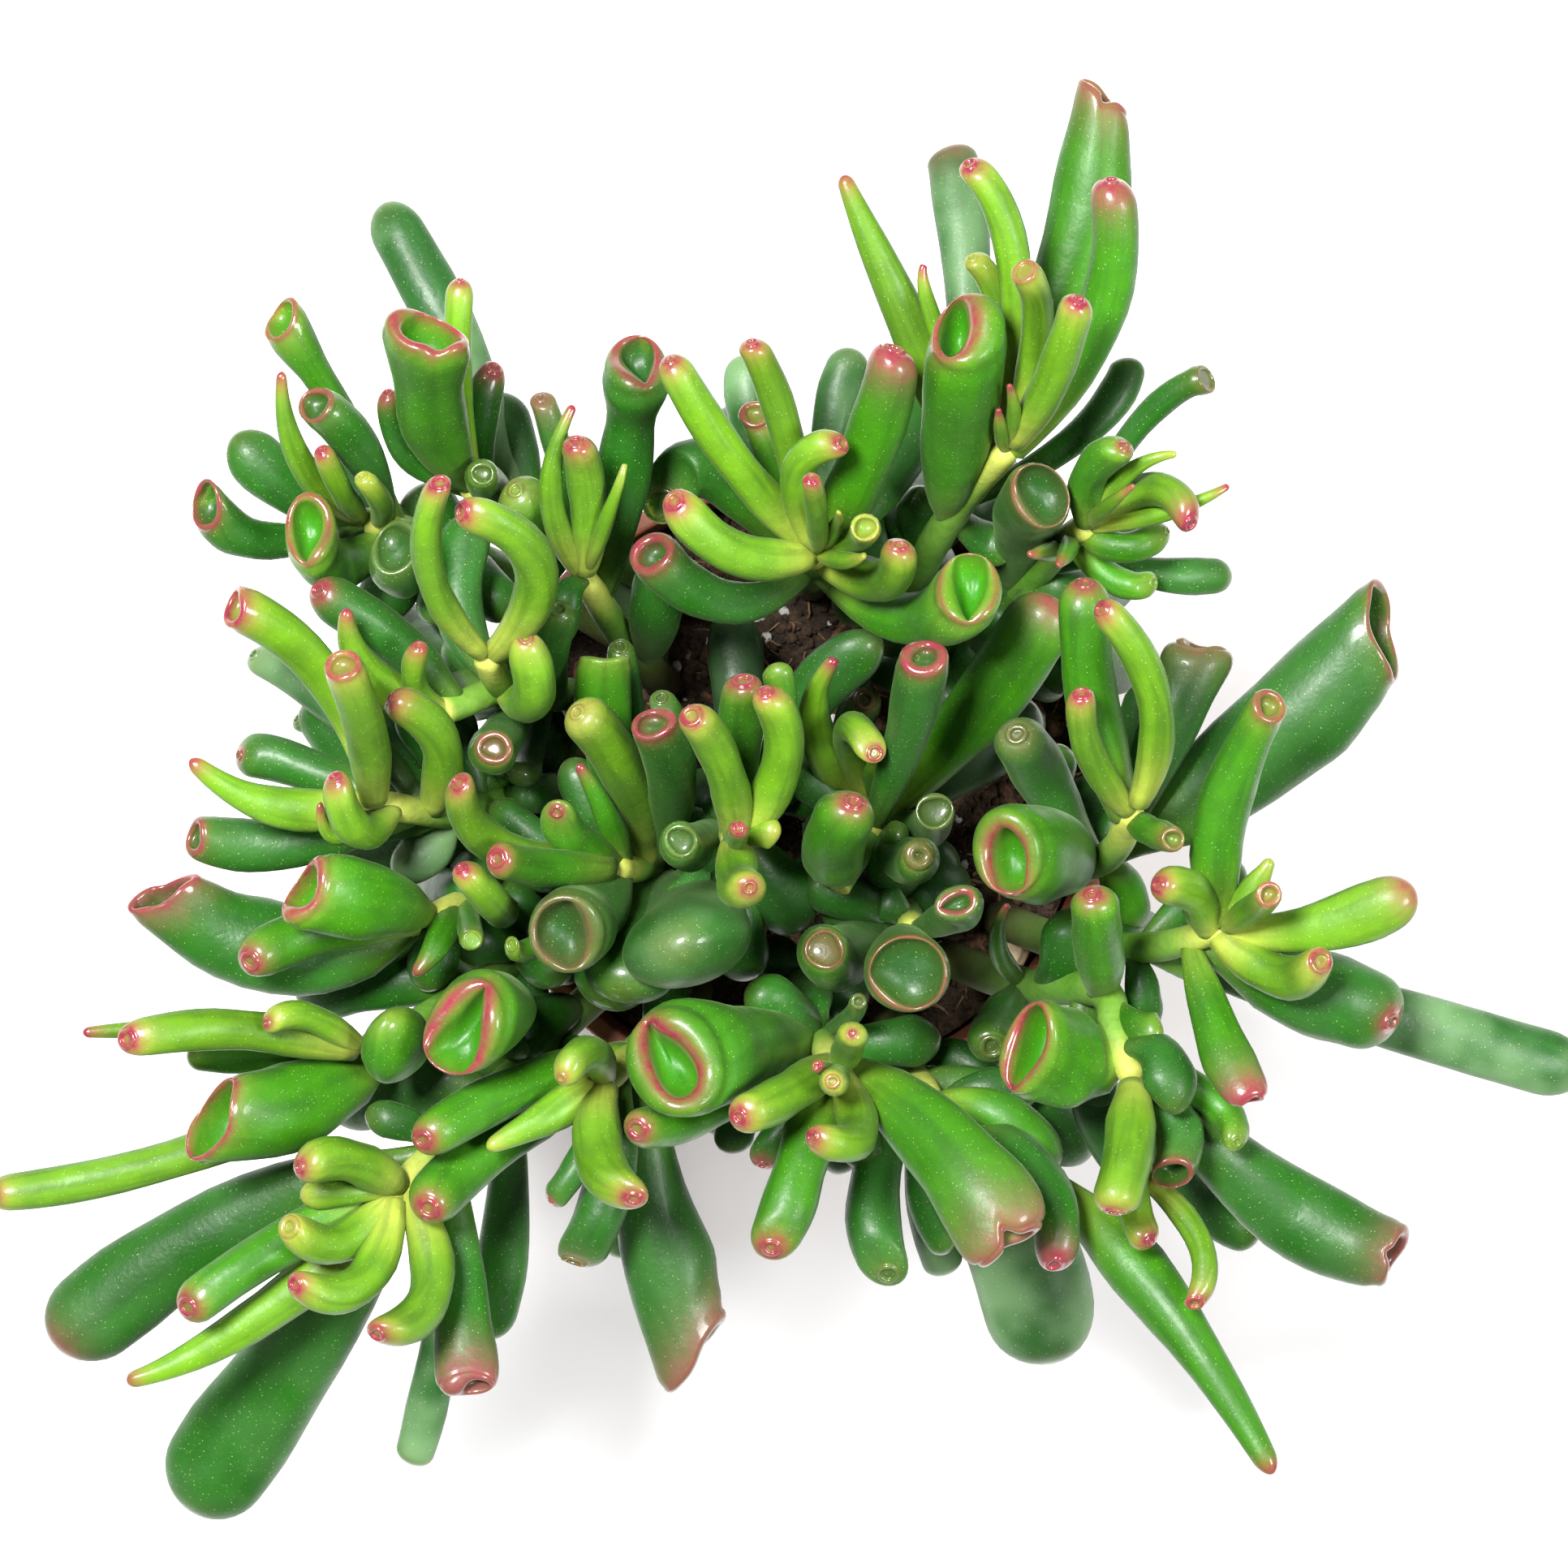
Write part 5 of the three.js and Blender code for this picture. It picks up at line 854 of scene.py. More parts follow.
foot_length = 0.45
lowest_root = 8
stem_point_count = 60


class Leaf:
    def __init__(self, row, stem_points):
        self.row = row
        self.kind, self.tone, width, foot, bend, tip = row[:6]
        spread = spread_at(tip[2])
        start = place(foot)
        self.shape = kinds[self.kind]
        self.half = width * spread / 2
        self.root = stem_points[np.argmin(norm(stem_points - start, axis=1))]
        self.bend = place(bend)
        self.tip = place(tip)
        self.mouth = row[6] if len(row) > 6 else None
        if self.mouth:
            size = spread if self.kind == "spout" else spread / 2
            bearing, rise, axis = (math.radians(angle) for angle in self.mouth[2:])
            self.long, self.short = self.mouth[0] * size, self.mouth[1] * size
            self.facing = np.array([
                math.cos(bearing) * math.cos(rise),
                math.sin(bearing) * math.cos(rise),
                math.sin(rise),
            ])
            self.axis = np.array([math.cos(axis), math.sin(axis), 0])

    def half_width(self, s):
        table = self.shape["width"]
        plain = self.half * np.interp(s, [pair[0] for pair in table], [pair[1] for pair in table])
        rootward = largest_foot_radius + (self.half - largest_foot_radius) * smooth(0, foot_length, s)
        return np.minimum(plain, np.maximum(rootward, smallest_half))

    def line(self, s):
        """Points of the middle line, a parabola from the root through the bend to the tip."""
        s = np.asarray(s, float)[..., None]
        control = 2 * self.bend - 0.5 * self.root - 0.5 * self.tip
        return (1 - s) ** 2 * self.root + 2 * s * (1 - s) * control + s**2 * self.tip

    def length(self):
        points = self.line(np.linspace(0, 1, 25))
        return norm(np.diff(points, axis=0), axis=1).sum()


def leaves_of(shoot, rows):
    points = []
    for i, curve in enumerate(shoot["curves"]):
        for t in np.linspace(0, 1, stem_point_count + 1):
            point = catmull_rom(curve, t)
            if i > 0 or point[2] > soil_height + lowest_root:
                points.append(point)
    return [Leaf(row, np.array(points)) for row in rows]


for shoot in shoots:
    shoot["grown"] = leaves_of(shoot, shoot["leaves"])
print("longest leaf", round(max(leaf.length() for shoot in shoots for leaf in shoot["grown"])), "mm")

# %% [markdown]
# Crowded leaves bend away from each other, from other stems and from the pot. The CAD lets them do so in
# ninety small steps. The same steps are taken here, for all pairs of leaves at once, so that every leaf
# ends where its solid is. Boxes round the leaves find the pairs that are worth a closer look.

# %% Gaps between leaves
leaf_gap = 0.9
sibling_gap = 0.1
siblings_from = 0.25
growth_steps = 90
sideways_share = 0.35
shift_share = 0.8
samples_per_span = 7
mouth_samples_from = 0.85
spout_reach = 0.7
rim_shoulder = 8
soil_highest = 1.5
stem_margin = 4
places = np.arange(1, 10) / 9
bend_push = 4 * places * (1 - places)
tip_push = np.maximum(0, places * (2 * places - 1))

leaves = [leaf for shoot in shoots for leaf in shoot["grown"]]
plant_of = np.array([i for i, shoot in enumerate(shoots) for leaf in shoot["grown"]])


def girth(leaf):
    """Half width and half thickness at the sample places."""
    wide = leaf.half_width(places)
    deep = wide * leaf.shape["thick"]
    if leaf.mouth:
        near_mouth = places > mouth_samples_from
        reach = max(leaf.long, leaf.short) * (spout_reach if leaf.kind == "spout" else 1)
        upright = leaf.short * math.cos(math.asin(leaf.facing[2]))
        wide = np.where(near_mouth, reach, wide)
        deep = np.where(near_mouth, np.maximum(deep, upright), deep)
    return wide, deep


def way_out(apart, reach, height):
    """How far a sample moves to come clear of another, and whether it has to."""
    near = (apart[..., 0] ** 2 + apart[..., 1] ** 2) / reach**2 + (apart[..., 2] / height) ** 2
    way = apart * [sideways_share, sideways_share, 1]
    length = norm(way, axis=-1)
    way[length < 1e-6] = [0, 0, 1]
    length[length < 1e-6] = 1
    return way * ((1 - np.sqrt(near)).clip(0) * height / length)[..., None], near < 1


def stem_samples(shoot):
    rows = []
    for i, curve in enumerate(shoot["curves"]):
        for t in np.linspace(0, 1, samples_per_span * (len(curve) - 1) + 1):
            rows.append([*catmull_rom(curve, t), stem_radius(i == 0, t)])
    return rows


def floor_below(at, wide):
    reach = np.hypot(at[..., 0], at[..., 1])
    inside = np.where(reach > pot_rim_radius - rim_shoulder - wide, pot_height, soil_height + soil_highest)
    return np.where(reach > pot_rim_radius + wide, 0, inside)


wide, deep = (np.array(rows) for rows in zip(*(girth(leaf) for leaf in leaves)))
stems = np.array([row for shoot in shoots for row in stem_samples(shoot)])
stem_plant = np.array([i for i, shoot in enumerate(shoots) for row in stem_samples(shoot)])
print("samples on leaves:", wide.size, "and on stems:", len(stems))

# %% [markdown]
# Only a leaf's bend and tip move, and its foot stays on the stem. A push at the middle of a leaf moves the
# bend, and one near its end moves mostly the tip. The pushes of a step are averaged before any leaf moves,
# so their order doesn't matter.

# %% Growing apart
class Pushes:
    """How far the bends and tips of all leaves are pushed in one step, and with what weight."""

    def __init__(self):
        self.way = {"bend": np.zeros((len(leaves), 3)), "tip": np.zeros((len(leaves), 3))}
        self.weight = {"bend": np.zeros(len(leaves)), "tip": np.zeros(len(leaves))}

    def add(self, who, out, touching, share):
        for end, push_share in (("bend", bend_push), ("tip", tip_push)):
            np.add.at(self.way[end], who, (out * push_share[:, None]).sum(axis=1) * share)
            np.add.at(self.weight[end], who, (touching * push_share).sum(axis=1))

    def move_leaves(self):
        for n, leaf in enumerate(leaves):
            if self.weight["bend"][n] > 0:
                leaf.bend = leaf.bend + self.way["bend"][n] * shift_share / self.weight["bend"][n]
            if self.weight["tip"][n] > 0:
                leaf.tip = leaf.tip + self.way["tip"][n] * shift_share / self.weight["tip"][n]


def boxes(at):
    """The lowest and the highest corner of each leaf."""
    size = np.stack([wide, wide, deep], axis=-1)
    return (at - size).min(axis=1) - leaf_gap / 2, (at + size).max(axis=1) + leaf_gap / 2


def push_off_leaves(pushes, at, low, high):
    meet = np.all((low[:, None] < high[None]) & (high[:, None] > low[None]), axis=-1)
    i, j = np.nonzero(np.triu(meet, 1))
    siblings = (plant_of[i] == plant_of[j])[:, None, None]
    gap = np.where(siblings, sibling_gap, leaf_gap)
    out, touching = way_out(
        at[i][:, :, None] - at[j][:, None],
        wide[i][:, :, None] + wide[j][:, None] + gap,
        deep[i][:, :, None] + deep[j][:, None] + gap,
    )
    feet = (places < siblings_from)[:, None] | (places < siblings_from)[None]
    touching &= ~(siblings & feet)
    out *= touching[..., None]
    pushes.add(i, out.sum(axis=2), touching.sum(axis=2), 0.5)
    pushes.add(j, out.sum(axis=1), touching.sum(axis=1), -0.5)


def push_off_stems(pushes, at, low, high):
    middles = stems[None, :, :3]
    beside = (low[:, None] < middles + stem_margin) & (high[:, None] > middles - stem_margin)
    beside = np.all(beside, axis=-1)
    i, k = np.nonzero(beside & (plant_of[:, None] != stem_plant[None]))
    out, touching = way_out(
        at[i] - stems[k][:, None, :3],
        wide[i] + stems[k][:, 3:] + leaf_gap,
        deep[i] + stems[k][:, 3:] + leaf_gap,
    )
    pushes.add(i, out * touching[..., None], touching, 1)


def push_off_floor(pushes, at):
    lack = (floor_below(at, wide) + leaf_gap + deep - at[..., 2]).clip(0)
    pushes.add(np.arange(len(leaves)), lack[..., None] * [0, 0, 1], lack > 0, 1)


reading_tips = np.array([leaf.tip for leaf in leaves])
for step in range(growth_steps):
    at, pushes = np.array([leaf.line(places) for leaf in leaves]), Pushes()
    low, high = boxes(at)
    push_off_leaves(pushes, at, low, high)
    push_off_stems(pushes, at, low, high)
    push_off_floor(pushes, at)
    pushes.move_leaves()
moved = norm(np.array([leaf.tip for leaf in leaves]) - reading_tips, axis=1)
print("tips moved by up to", round(moved.max(), 1), "mm, half of them under", round(np.median(moved), 2))

# %% [markdown]
# The CAD leaves out the low leaves, to stay light. They join their shoots here, after the growing, so that
# they push nothing. The lowest ones of all follow a rule, because only their darkness shows: each starts at
# the nearest stem and ends near a point of a shaken grid, and none covers a place where the photograph
# shows soil.

# %% Low leaves
low_spacing = 8.5
low_reach = 60
low_steps = range(-8, 9)
low_shake = 2.5
low_lift = 5
shortest_low_leaf = 9
low_half_width = 4
low_root_heights = (102, 128)
low_tip_heights = (102, 108)
outer_from = 38
outer_lift = 4
soil_windows = [
    (-26, 34, 8), (-13, 25, 6), (2, 27, 3), (31, 4.5, 3), (48, -2, 4),
    (41, -13, 5), (2, -38, 3), (-25, -32, 4), (37, -19, 5), (21, -35, 3),
]


def plan_of(point):
    """The plan position that place would move to this point."""
    return (point[:2] - eye_mm[:2]) / spread_at(point[2]) + eye_mm[:2] + pot_in_plan


def low_stem_points():
    """Plan points of the stems' lower parts, each with its shoot's number."""
    points = []
    for number, shoot in enumerate(shoots):
        for t in np.linspace(0, 1, stem_point_count):
            point = catmull_rom(shoot["curves"][0], t)
            if low_root_heights[0] < point[2] < low_root_heights[1]:
                points.append([*plan_of(point), point[2], number])
    return np.array(points)


def covers_soil(foot, tip):
    for x, y, radius in soil_windows:
        window, way = np.array([x, y]), tip - foot
        nearest = foot + way * np.clip((window - foot).dot(way) / way.dot(way), 0, 1)
        if norm(window - nearest) < radius + low_half_width:
            return True
    return False


def add_low_leaves():
    chance = random.Random(21)
    stems = low_stem_points()
    for i in low_steps:
        for k in low_steps:
            shake = [chance.uniform(-low_shake, low_shake) for axis in range(2)]
            tip = pot_in_plan + low_spacing * np.array([i + 0.5 * (k % 2), 0.87 * k]) + shake
            outwards = np.hypot(*(tip - pot_in_plan))
            height = chance.uniform(*low_tip_heights) + (outer_lift if outwards > outer_from else 0)
            width = chance.uniform(6, 2 * low_half_width)
            apart = np.hypot(*(stems[:, :2] - tip).T)
            apart[apart < shortest_low_leaf] = np.inf
            foot = stems[np.argmin(apart)]
            if outwards > low_reach or covers_soil(foot[:2], tip):
                continue
            middle = (foot[:2] + tip) / 2
            row = [width, foot[:3], [*middle, max(foot[2], height) + low_lift], [*tip, height]]
            shoots[int(foot[3])].setdefault("low", []).append(row)


table_count = len(leaves)
add_low_leaves()
for shoot in shoots:
    rows = [row if isinstance(row[0], str) else ["blunt", 2, *row] for row in shoot.get("low", [])]
    low_leaves = leaves_of(shoot, rows)
    shoot["grown"] += low_leaves
    leaves += low_leaves
print("low leaves:", len(leaves) - table_count)

# %% [markdown]
# ## Leaf skins
#
# A leaf could be a curve with a round profile, but its end wouldn't open into a cup, and its section
# couldn't change from a flat oval to a round mouth. So each leaf is built ring by ring. First come its
# bones: at every step along the middle line, a frame of three directions, carried on from the root without
# twist. Towards the tip it turns to face the way that the mouth faces.

# %% Leaf bones
frame_steps = 24


def unit(vectors):
    return vectors / norm(vectors, axis=-1, keepdims=True)


def leaf_bones(leaf):
    """The normals and sides of the leaf's cross-sections at even steps."""
    steps = np.linspace(0, 1, frame_steps + 1)
    control = 2 * leaf.bend - 0.5 * leaf.root - 0.5 * leaf.tip
    tangents = unit(np.outer(1 - steps, control - leaf.root) + np.outer(steps, leaf.tip - control))
    run = leaf.tip - leaf.root
    side = np.array([-run[1], run[0], 0])
    if norm(side) < smallest_half:
        side = np.array([1.0, 0.0, 0.0])
    normals, sides = [], []
    for s, normal in zip(steps, tangents):
        if leaf.mouth:
            turn = smooth(leaf.shape["turn_from"], 1, s)
            normal = unit(normal * (1 - turn) + leaf.facing * turn)
        side = unit(side - normal * side.dot(normal))
        normals.append(normal)
        sides.append(side)
    return steps, np.array(normals), np.array(sides)


def frames_at(leaf, s):
    """The centre, normal, side and upward direction at each place s."""
    steps, normals, sides = leaf_bones(leaf)
    normal = unit(np.stack([np.interp(s, steps, normals[:, k]) for k in range(3)], axis=-1))
    side = np.stack([np.interp(s, steps, sides[:, k]) for k in range(3)], axis=-1)
    side = unit(side - normal * (side * normal).sum(axis=-1, keepdims=True))
    return leaf.line(s), normal, side, np.cross(normal, side)


centre, normal, side, up = frames_at(leaves[0], np.array([0.0, 0.5, 1.0]))
print("the first leaf's end faces", normal[-1].round(2))

# %% [markdown]
# An opening is described by a few numbers: its two half lengths, a shift from the mouth's middle, a depth,
# and a drop that pulls one of its ends to a point. `flare` is the end's size beside the mouth's own: above
# 1 the rim spreads like a trumpet, and below 1 the end closes over like a dome. `waist` narrows the neck
# under the rim, and `notch` cuts into the rim at one bearing. `red` is the place across the lip, the width
# and the strength of the red line, and `blush` the width and strength of a mauve tint round it. Each large
# mouth of the photograph has its own numbers in the table, because no two are alike. The others have the
# plain set below.

# %% Openings
finger_dimple_share = 0.34
finger_flare = 0.66
finger_depth_share = 0.3


def opening_of(leaf):
    open_long, open_short = leaf.long * finger_dimple_share, leaf.short * finger_dimple_share
    plain = dict(open=[open_long, open_short], at=[0, 0], drop=0, deep=finger_depth_share * open_short)
    plain.update(flare=finger_flare if leaf.kind == "finger" else 1, waist=0, notch=[0, 0])
    plain.update(red=[0.4, 1.8, 1], blush=[3, 0])
    return {**plain, **(leaf.row[7] if len(leaf.row) > 7 else {})}


print("the deepest bowl is", max(opening_of(leaf)["deep"] for leaf in leaves if leaf.mouth), "mm deep")

# %% [markdown]
# The wall of a leaf is a stack of rings from its foot to its end. Rings are close where the surface turns
# quickly, and far apart where it is almost straight, so that the triangles go where they show. Every closed
# end is a dome about as long as the leaf is thick, so that a long leaf doesn't end in a spike. A pointed
# leaf narrows slowly before its dome, and a finger's dome stops short, at the dimple.

# %% Rings of the wall
wall_places = [0.035, 0.09, 0.16, 0.24, 0.32, 0.4, 0.48, 0.56, 0.63, 0.7, 0.76, 0.82, 0.87, 0.91, 0.94]
cup_places = [0.96, 0.98, 1]
cup_opens_from = 0.6
dome_steps = 8
dome_lengths = {"finger": 1.0, "cup": 0.9, "blunt": 1.15, "tinged": 1.15, "point": 0.5, "bare": 0.5}
longest_dome = 0.35
point_narrows_from = 0.4
point_end_share = 0.5


def quarter(steps):
    return np.linspace(0, math.pi / 2, steps + 1)[1:]


def full_turn(steps):
    return np.linspace(0, 2 * math.pi, steps, endpoint=False)


def is_domed(leaf):
    return not leaf.mouth or opening_of(leaf)["flare"] < 1


def dome_start(leaf):
    return 1 - min(longest_dome, dome_lengths[leaf.kind] * leaf.half / leaf.length())


def dome_share(leaf, s):
    """0 up to where the dome starts, then along a quarter of a circle to 1 at the end."""
    start = dome_start(leaf)
    return 1 - np.sqrt(1 - np.clip((s - start) / (1 - start), 0, 1) ** 2)


def wall_rings(leaf):
    """Places along the leaf and the share of the outline that each ring keeps."""
    if not is_domed(leaf):
        return np.array(wall_places + cup_places), np.ones(len(wall_places) + len(cup_places))
    start = dome_start(leaf)
    body = [s for s in wall_places if s < start - 0.01] + [start]
    turn = quarter(dome_steps)
    s = np.array(body + list(start + (1 - start) * np.sin(turn)))
    if leaf.mouth:
        return s, np.ones(len(s))
    shares = np.array([1] * len(body) + list(np.cos(turn)))
    if leaf.kind in ("point", "bare"):
        past = np.clip((s - point_narrows_from) / (1 - point_narrows_from), 0, 1)
        shares *= 1 - (1 - point_end_share) * past**1.3
    return s[:-1], shares[:-1]


print("rings of the first leaf's wall:", len(wall_rings(leaves[0])[0]))

# %% [markdown]
# The outline of a ring is an oval, flat side up, that blends into the mouth's edge. A spout's edge is round
# on one side and drawn out on the other. Slow waves keep it from looking machined. A young leaf has a plump
# foot, so the leaves of a crown sit shoulder to shoulder.

# %% Outlines
spout_sharpness = 3
wave_height = 0.042
shoulder = 0.08
shoulder_from = 0.94
trumpet_from = 0.86
waist_place = 0.74
waist_reach = 0.12
plump_foot = {"finger": 0.4, "point": 0.4, "bare": 0.4}
plump_until = 0.55


def mouth_radius(leaf, phi):
    if leaf.kind == "spout":
        return leaf.short + (leaf.long - leaf.short) * ((1 + np.cos(phi)) / 2) ** spout_sharpness
    return leaf.long * leaf.short / np.hypot(leaf.short * np.cos(phi), leaf.long * np.sin(phi))


def edge_share(leaf, s):
    """The width of the mouth's edge at each place beside its own size."""
    flare = opening_of(leaf)["flare"]
    if not is_domed(leaf):
        return (1 + (flare - 1) * smooth(trumpet_from, 1, s)) * (1 - shoulder * smooth(shoulder_from, 1, s))
    if leaf.kind == "finger":
        return flare + np.zeros_like(s)
    return 1 + (flare - 1) * dome_share(leaf, s)


def opened(leaf, s):
    """How far the outline has turned from the oval to the mouth's edge."""
    if leaf.kind == "finger" and is_domed(leaf):
        return dome_share(leaf, s)
    return smooth(cup_opens_from, 1, s)


def outline(leaf, s, phi, mouth_turn, waves):
    """Reach along the side and upward directions, for places s in rows and angles phi in columns."""
    plump = plump_foot.get(leaf.kind, 0) if leaf.tone < 2 else 0
    half = leaf.half_width(s) * (1 + plump * (1 - smooth(0, plump_until, s)))
    ripple = 1 + wave_height * (np.sin(7 * s + waves[0] + phi) + 0.7 * np.sin(13 * s + waves[1] - 2 * phi))
    across = half * np.cos(phi) * ripple
    through = half * leaf.shape["thick"] * np.sin(phi) * ripple
    if leaf.mouth:
        share = opened(leaf, s)
        edge = mouth_radius(leaf, phi - mouth_turn) * edge_share(leaf, s)
        neck = 1 - opening_of(leaf)["waist"] * np.exp(-(((s - waist_place) / waist_reach) ** 2))
        across = (across + (edge * np.cos(phi) - across) * share) * neck
        through = (through + (edge * np.sin(phi) - through) * share) * neck
    return across, through


def sides_of(leaf):
    return int(np.interp(leaf.half * 2, [3, 6, 10, 16], [12, 20, 32, 48])) // 2 * 2


print("sides from", min(map(sides_of, leaves)), "to", max(map(sides_of, leaves)))

# %% [markdown]
# Inside the outline lies the opening, and the skin rolls over from one to the other in a soft lip. The
# height of the lip follows its width, so a narrow lip is a thin edge and a wide one a round shoulder. A
# slow wobble keeps the opening from being a perfect oval.

# %% Lips and bowls
lip_steps = 9
bowl_steps = 6
lip_height_share = 0.45
largest_lip_height = 2.6
largest_opening = 0.93
wobble_share = 0.09


def opening_curve(opening, psi, waves):
    """The opening's edge in the mouth's plane, along its long axis and across it."""
    half_long, half_short = opening["open"]
    turned = psi if opening["drop"] >= 0 else psi + math.pi
    narrowing = (0.5 - 0.5 * np.cos(turned)) ** (abs(opening["drop"]) / 2)
    wobble = 1 + wobble_share * (np.sin(2 * psi + waves[0]) + 0.8 * np.sin(3 * psi + waves[1]))
    along = half_long * np.cos(psi) * wobble + opening["at"][0]
    return along, half_short * np.sin(psi) * narrowing * wobble + opening["at"][1]


def mouth_rings(leaf, phi, mouth_turn, waves):
    """Reach along side and up, and the lift along the normal, for the lip's and the bowl's rings."""
    opening = opening_of(leaf)
    edge = mouth_radius(leaf, phi - mouth_turn) * edge_share(leaf, 1.0)
    rim = np.stack([edge * np.cos(phi), edge * np.sin(phi)])
    long_way = np.array([math.cos(mouth_turn), math.sin(mouth_turn)])
    cross_way = np.array([-long_way[1], long_way[0]])
    u, v = opening_curve(opening, phi - mouth_turn, waves)
    inner = np.outer(long_way, u) + np.outer(cross_way, v)
    reach = norm(inner, axis=0)
    inner *= np.minimum(1, largest_opening * edge / np.maximum(reach, 1e-6))
    height = np.minimum(lip_height_share * norm(inner - rim, axis=0), largest_lip_height)
    middle = (long_way * opening["at"][0] + cross_way * opening["at"][1])[:, None]
    flat, lifts = [], []
    for turn in np.linspace(0, math.pi, lip_steps + 1)[1:]:
        flat.append(rim + (inner - rim) * (1 - math.cos(turn)) / 2)
        lifts.append(height * math.sin(turn))
    for turn in quarter(bowl_steps)[:-1]:
        flat.append(middle + (inner - middle) * math.cos(turn))
        lifts.append(np.full(len(phi), -opening["deep"] * math.sin(turn)))
    return np.array(flat), np.array(lifts), middle[:, 0], height.mean()


print("rings across a lip and down a bowl:", lip_steps + bowl_steps)

# %% [markdown]
# A real rim doesn't lie in one plane: it sways a little, and a notch pulls it back at one bearing. Its
# colours aren't even either. Red gathers in a line on the lip, with a pale halo and sometimes a mauve blush
# round it, so all three fall with the distance from that line, measured in millimetres along the skin.

# %% Rims and their tints
red_by_tone = [1, 0.95, 0.9, 0.5]
closed_ends = {
    "point": [0, 2.4, 1], "bare": [0, 1.4, 0.1], "blunt": [0, 1.8, 0.06], "tinged": [0, 2.6, 0.7],
}
halo_reach = 3.4
closed_blush = [5, 0.8]
dimple_red_share = 0.5
sway_share = 0.06
sway_from = 0.75
notch_half_angle = 0.35


def rim_swing(leaf, psi, wave, lip_height):
    """How far the rim stands out of its plane, at angles psi round the mouth."""
    sway = 0 if leaf.kind == "finger" else sway_share * leaf.long
    depth, bearing = opening_of(leaf)["notch"]
    apart = np.angle(np.exp(1j * (psi - math.radians(bearing))))
    notch = depth * np.exp(-((apart / notch_half_angle) ** 2))
    return sway * np.cos(2 * psi + wave * 0.25) - notch - 0.5 * lip_height


def tints_of(leaf, grid, crest, line):
    """How red, pale and mauve each point is. The red line has its place, width and strength."""
    steps = norm(np.diff(grid, axis=0), axis=-1)
    travelled = np.vstack([np.zeros((1, grid.shape[1])), np.cumsum(steps, axis=0)])
    distance = np.abs(travelled - travelled[crest][None])
    red = line[2] * np.interp(leaf.tone, range(4), red_by_tone) * np.exp(-((distance / line[1]) ** 2))
    if leaf.kind == "finger":
        red[crest:] = np.maximum(red[crest:], dimple_red_share * red[crest].max())
    reach, strength = opening_of(leaf)["blush"] if leaf.mouth else closed_blush
    blush = strength * np.exp(-((distance / reach) ** 2)) * (leaf.kind not in ("point", "bare", "blunt"))
    return {"red": red, "halo": np.exp(-((distance / halo_reach) ** 2)), "blush": blush}


print("the widest red line is", max(opening_of(leaf)["red"][1] for leaf in leaves if leaf.mouth), "mm wide")

# %% [markdown]
# Now the rings become points, all at once. Beside its place, each point keeps some numbers for the
# material: how far it is along the leaf, its tints, whether it is in the bowl, its direction round the
# leaf, the leaf's tone and a random number for the leaf.

# %% Skin of one leaf
def on_points(shape, values, first, last):
    """Values for all points of the rings, between the values of the leaf's two poles."""
    return np.concatenate([[first], np.broadcast_to(values, shape).ravel(), [last]])


def skin_of(leaf, chance):
    """Points, faces and point numbers of one leaf, in millimetres."""
    s, share = wall_rings(leaf)
    phi = full_turn(sides_of(leaf))
    centre, normal, side, up = (part[:, None] for part in frames_at(leaf, s))
    end, end_normal, end_side, end_up = (part[0] for part in frames_at(leaf, np.array([1.0])))
    waves = [chance.uniform(0, 6.28) for i in range(3)]
    mouth_turn = math.atan2(leaf.axis.dot(end_up), leaf.axis.dot(end_side)) if leaf.mouth else 0.0
    across, through = outline(leaf, s[:, None], phi[None], mouth_turn, waves)
    grid = centre + (side * across[..., None] + up * through[..., None]) * share[:, None, None]
    crest, line, inside = len(s) - 1, closed_ends.get(leaf.kind), np.zeros(len(s))
    if leaf.mouth:
        opening = opening_of(leaf)
        line = opening["red"]
        flat, lifts, middle, lip_height = mouth_rings(leaf, phi, mouth_turn, waves)
        swing = rim_swing(leaf, phi - mouth_turn, waves[2], lip_height)
        grid += normal * (swing[None] * smooth(sway_from, 1, s)[:, None])[..., None]
        calm = np.concatenate([np.ones(lip_steps), np.cos(quarter(bowl_steps))[:-1]])
        lifts = lifts + swing[None] * calm[:, None]
        rings = end + end_side * flat[:, 0, :, None] + end_up * flat[:, 1, :, None]
        grid = np.concatenate([grid, rings + end_normal * lifts[..., None]])
        end = end + end_side * middle[0] + end_up * middle[1] - end_normal * opening["deep"]
        crest += max(1, round(line[0] * lip_steps))
        inside = np.concatenate([inside, np.linspace(0, 1, lip_steps) ** 4, np.ones(bowl_steps - 1)])
        s = np.concatenate([s, np.ones(lip_steps + bowl_steps - 1)])
    shape = grid.shape[:2]
    points = np.vstack([leaf.line(0.0)[None], grid.reshape(-1, 3), end[None]])
    numbers = {
        "along": on_points(shape, s[:, None], 0, 1),
        "inside": on_points(shape, inside[:, None], 0, inside[-1]),
        "tone": np.full(len(points), leaf.tone / 3),
        "chance": np.full(len(points), chance.random()),
        "streak_x": on_points(shape, np.cos(phi), 0, 0),
        "streak_y": on_points(shape, np.sin(phi), 0, 0),
    }
    for name, tint in tints_of(leaf, grid, crest, line).items():
        numbers[name] = on_points(shape, tint, 0, tint[-1].mean())
    return points, faces_of(*shape), numbers


def faces_of(rows, columns):
    """Quads between the rings, and triangles that close both poles."""
    last = rows * columns + 1
    faces = []
    for column in range(columns):
        beside = (column + 1) % columns
        faces.append((0, 1 + beside, 1 + column))
        for row in range(rows - 1):
            low, high = 1 + row * columns, 1 + (row + 1) * columns
            faces.append((low + column, low + beside, high + beside, high + column))
        top = 1 + (rows - 1) * columns
        faces.append((top + column, top + beside, last))
    return faces


points, faces, numbers = skin_of(leaves[0], random.Random(1))
print("the first leaf has", len(points), "points and", len(faces), "faces")
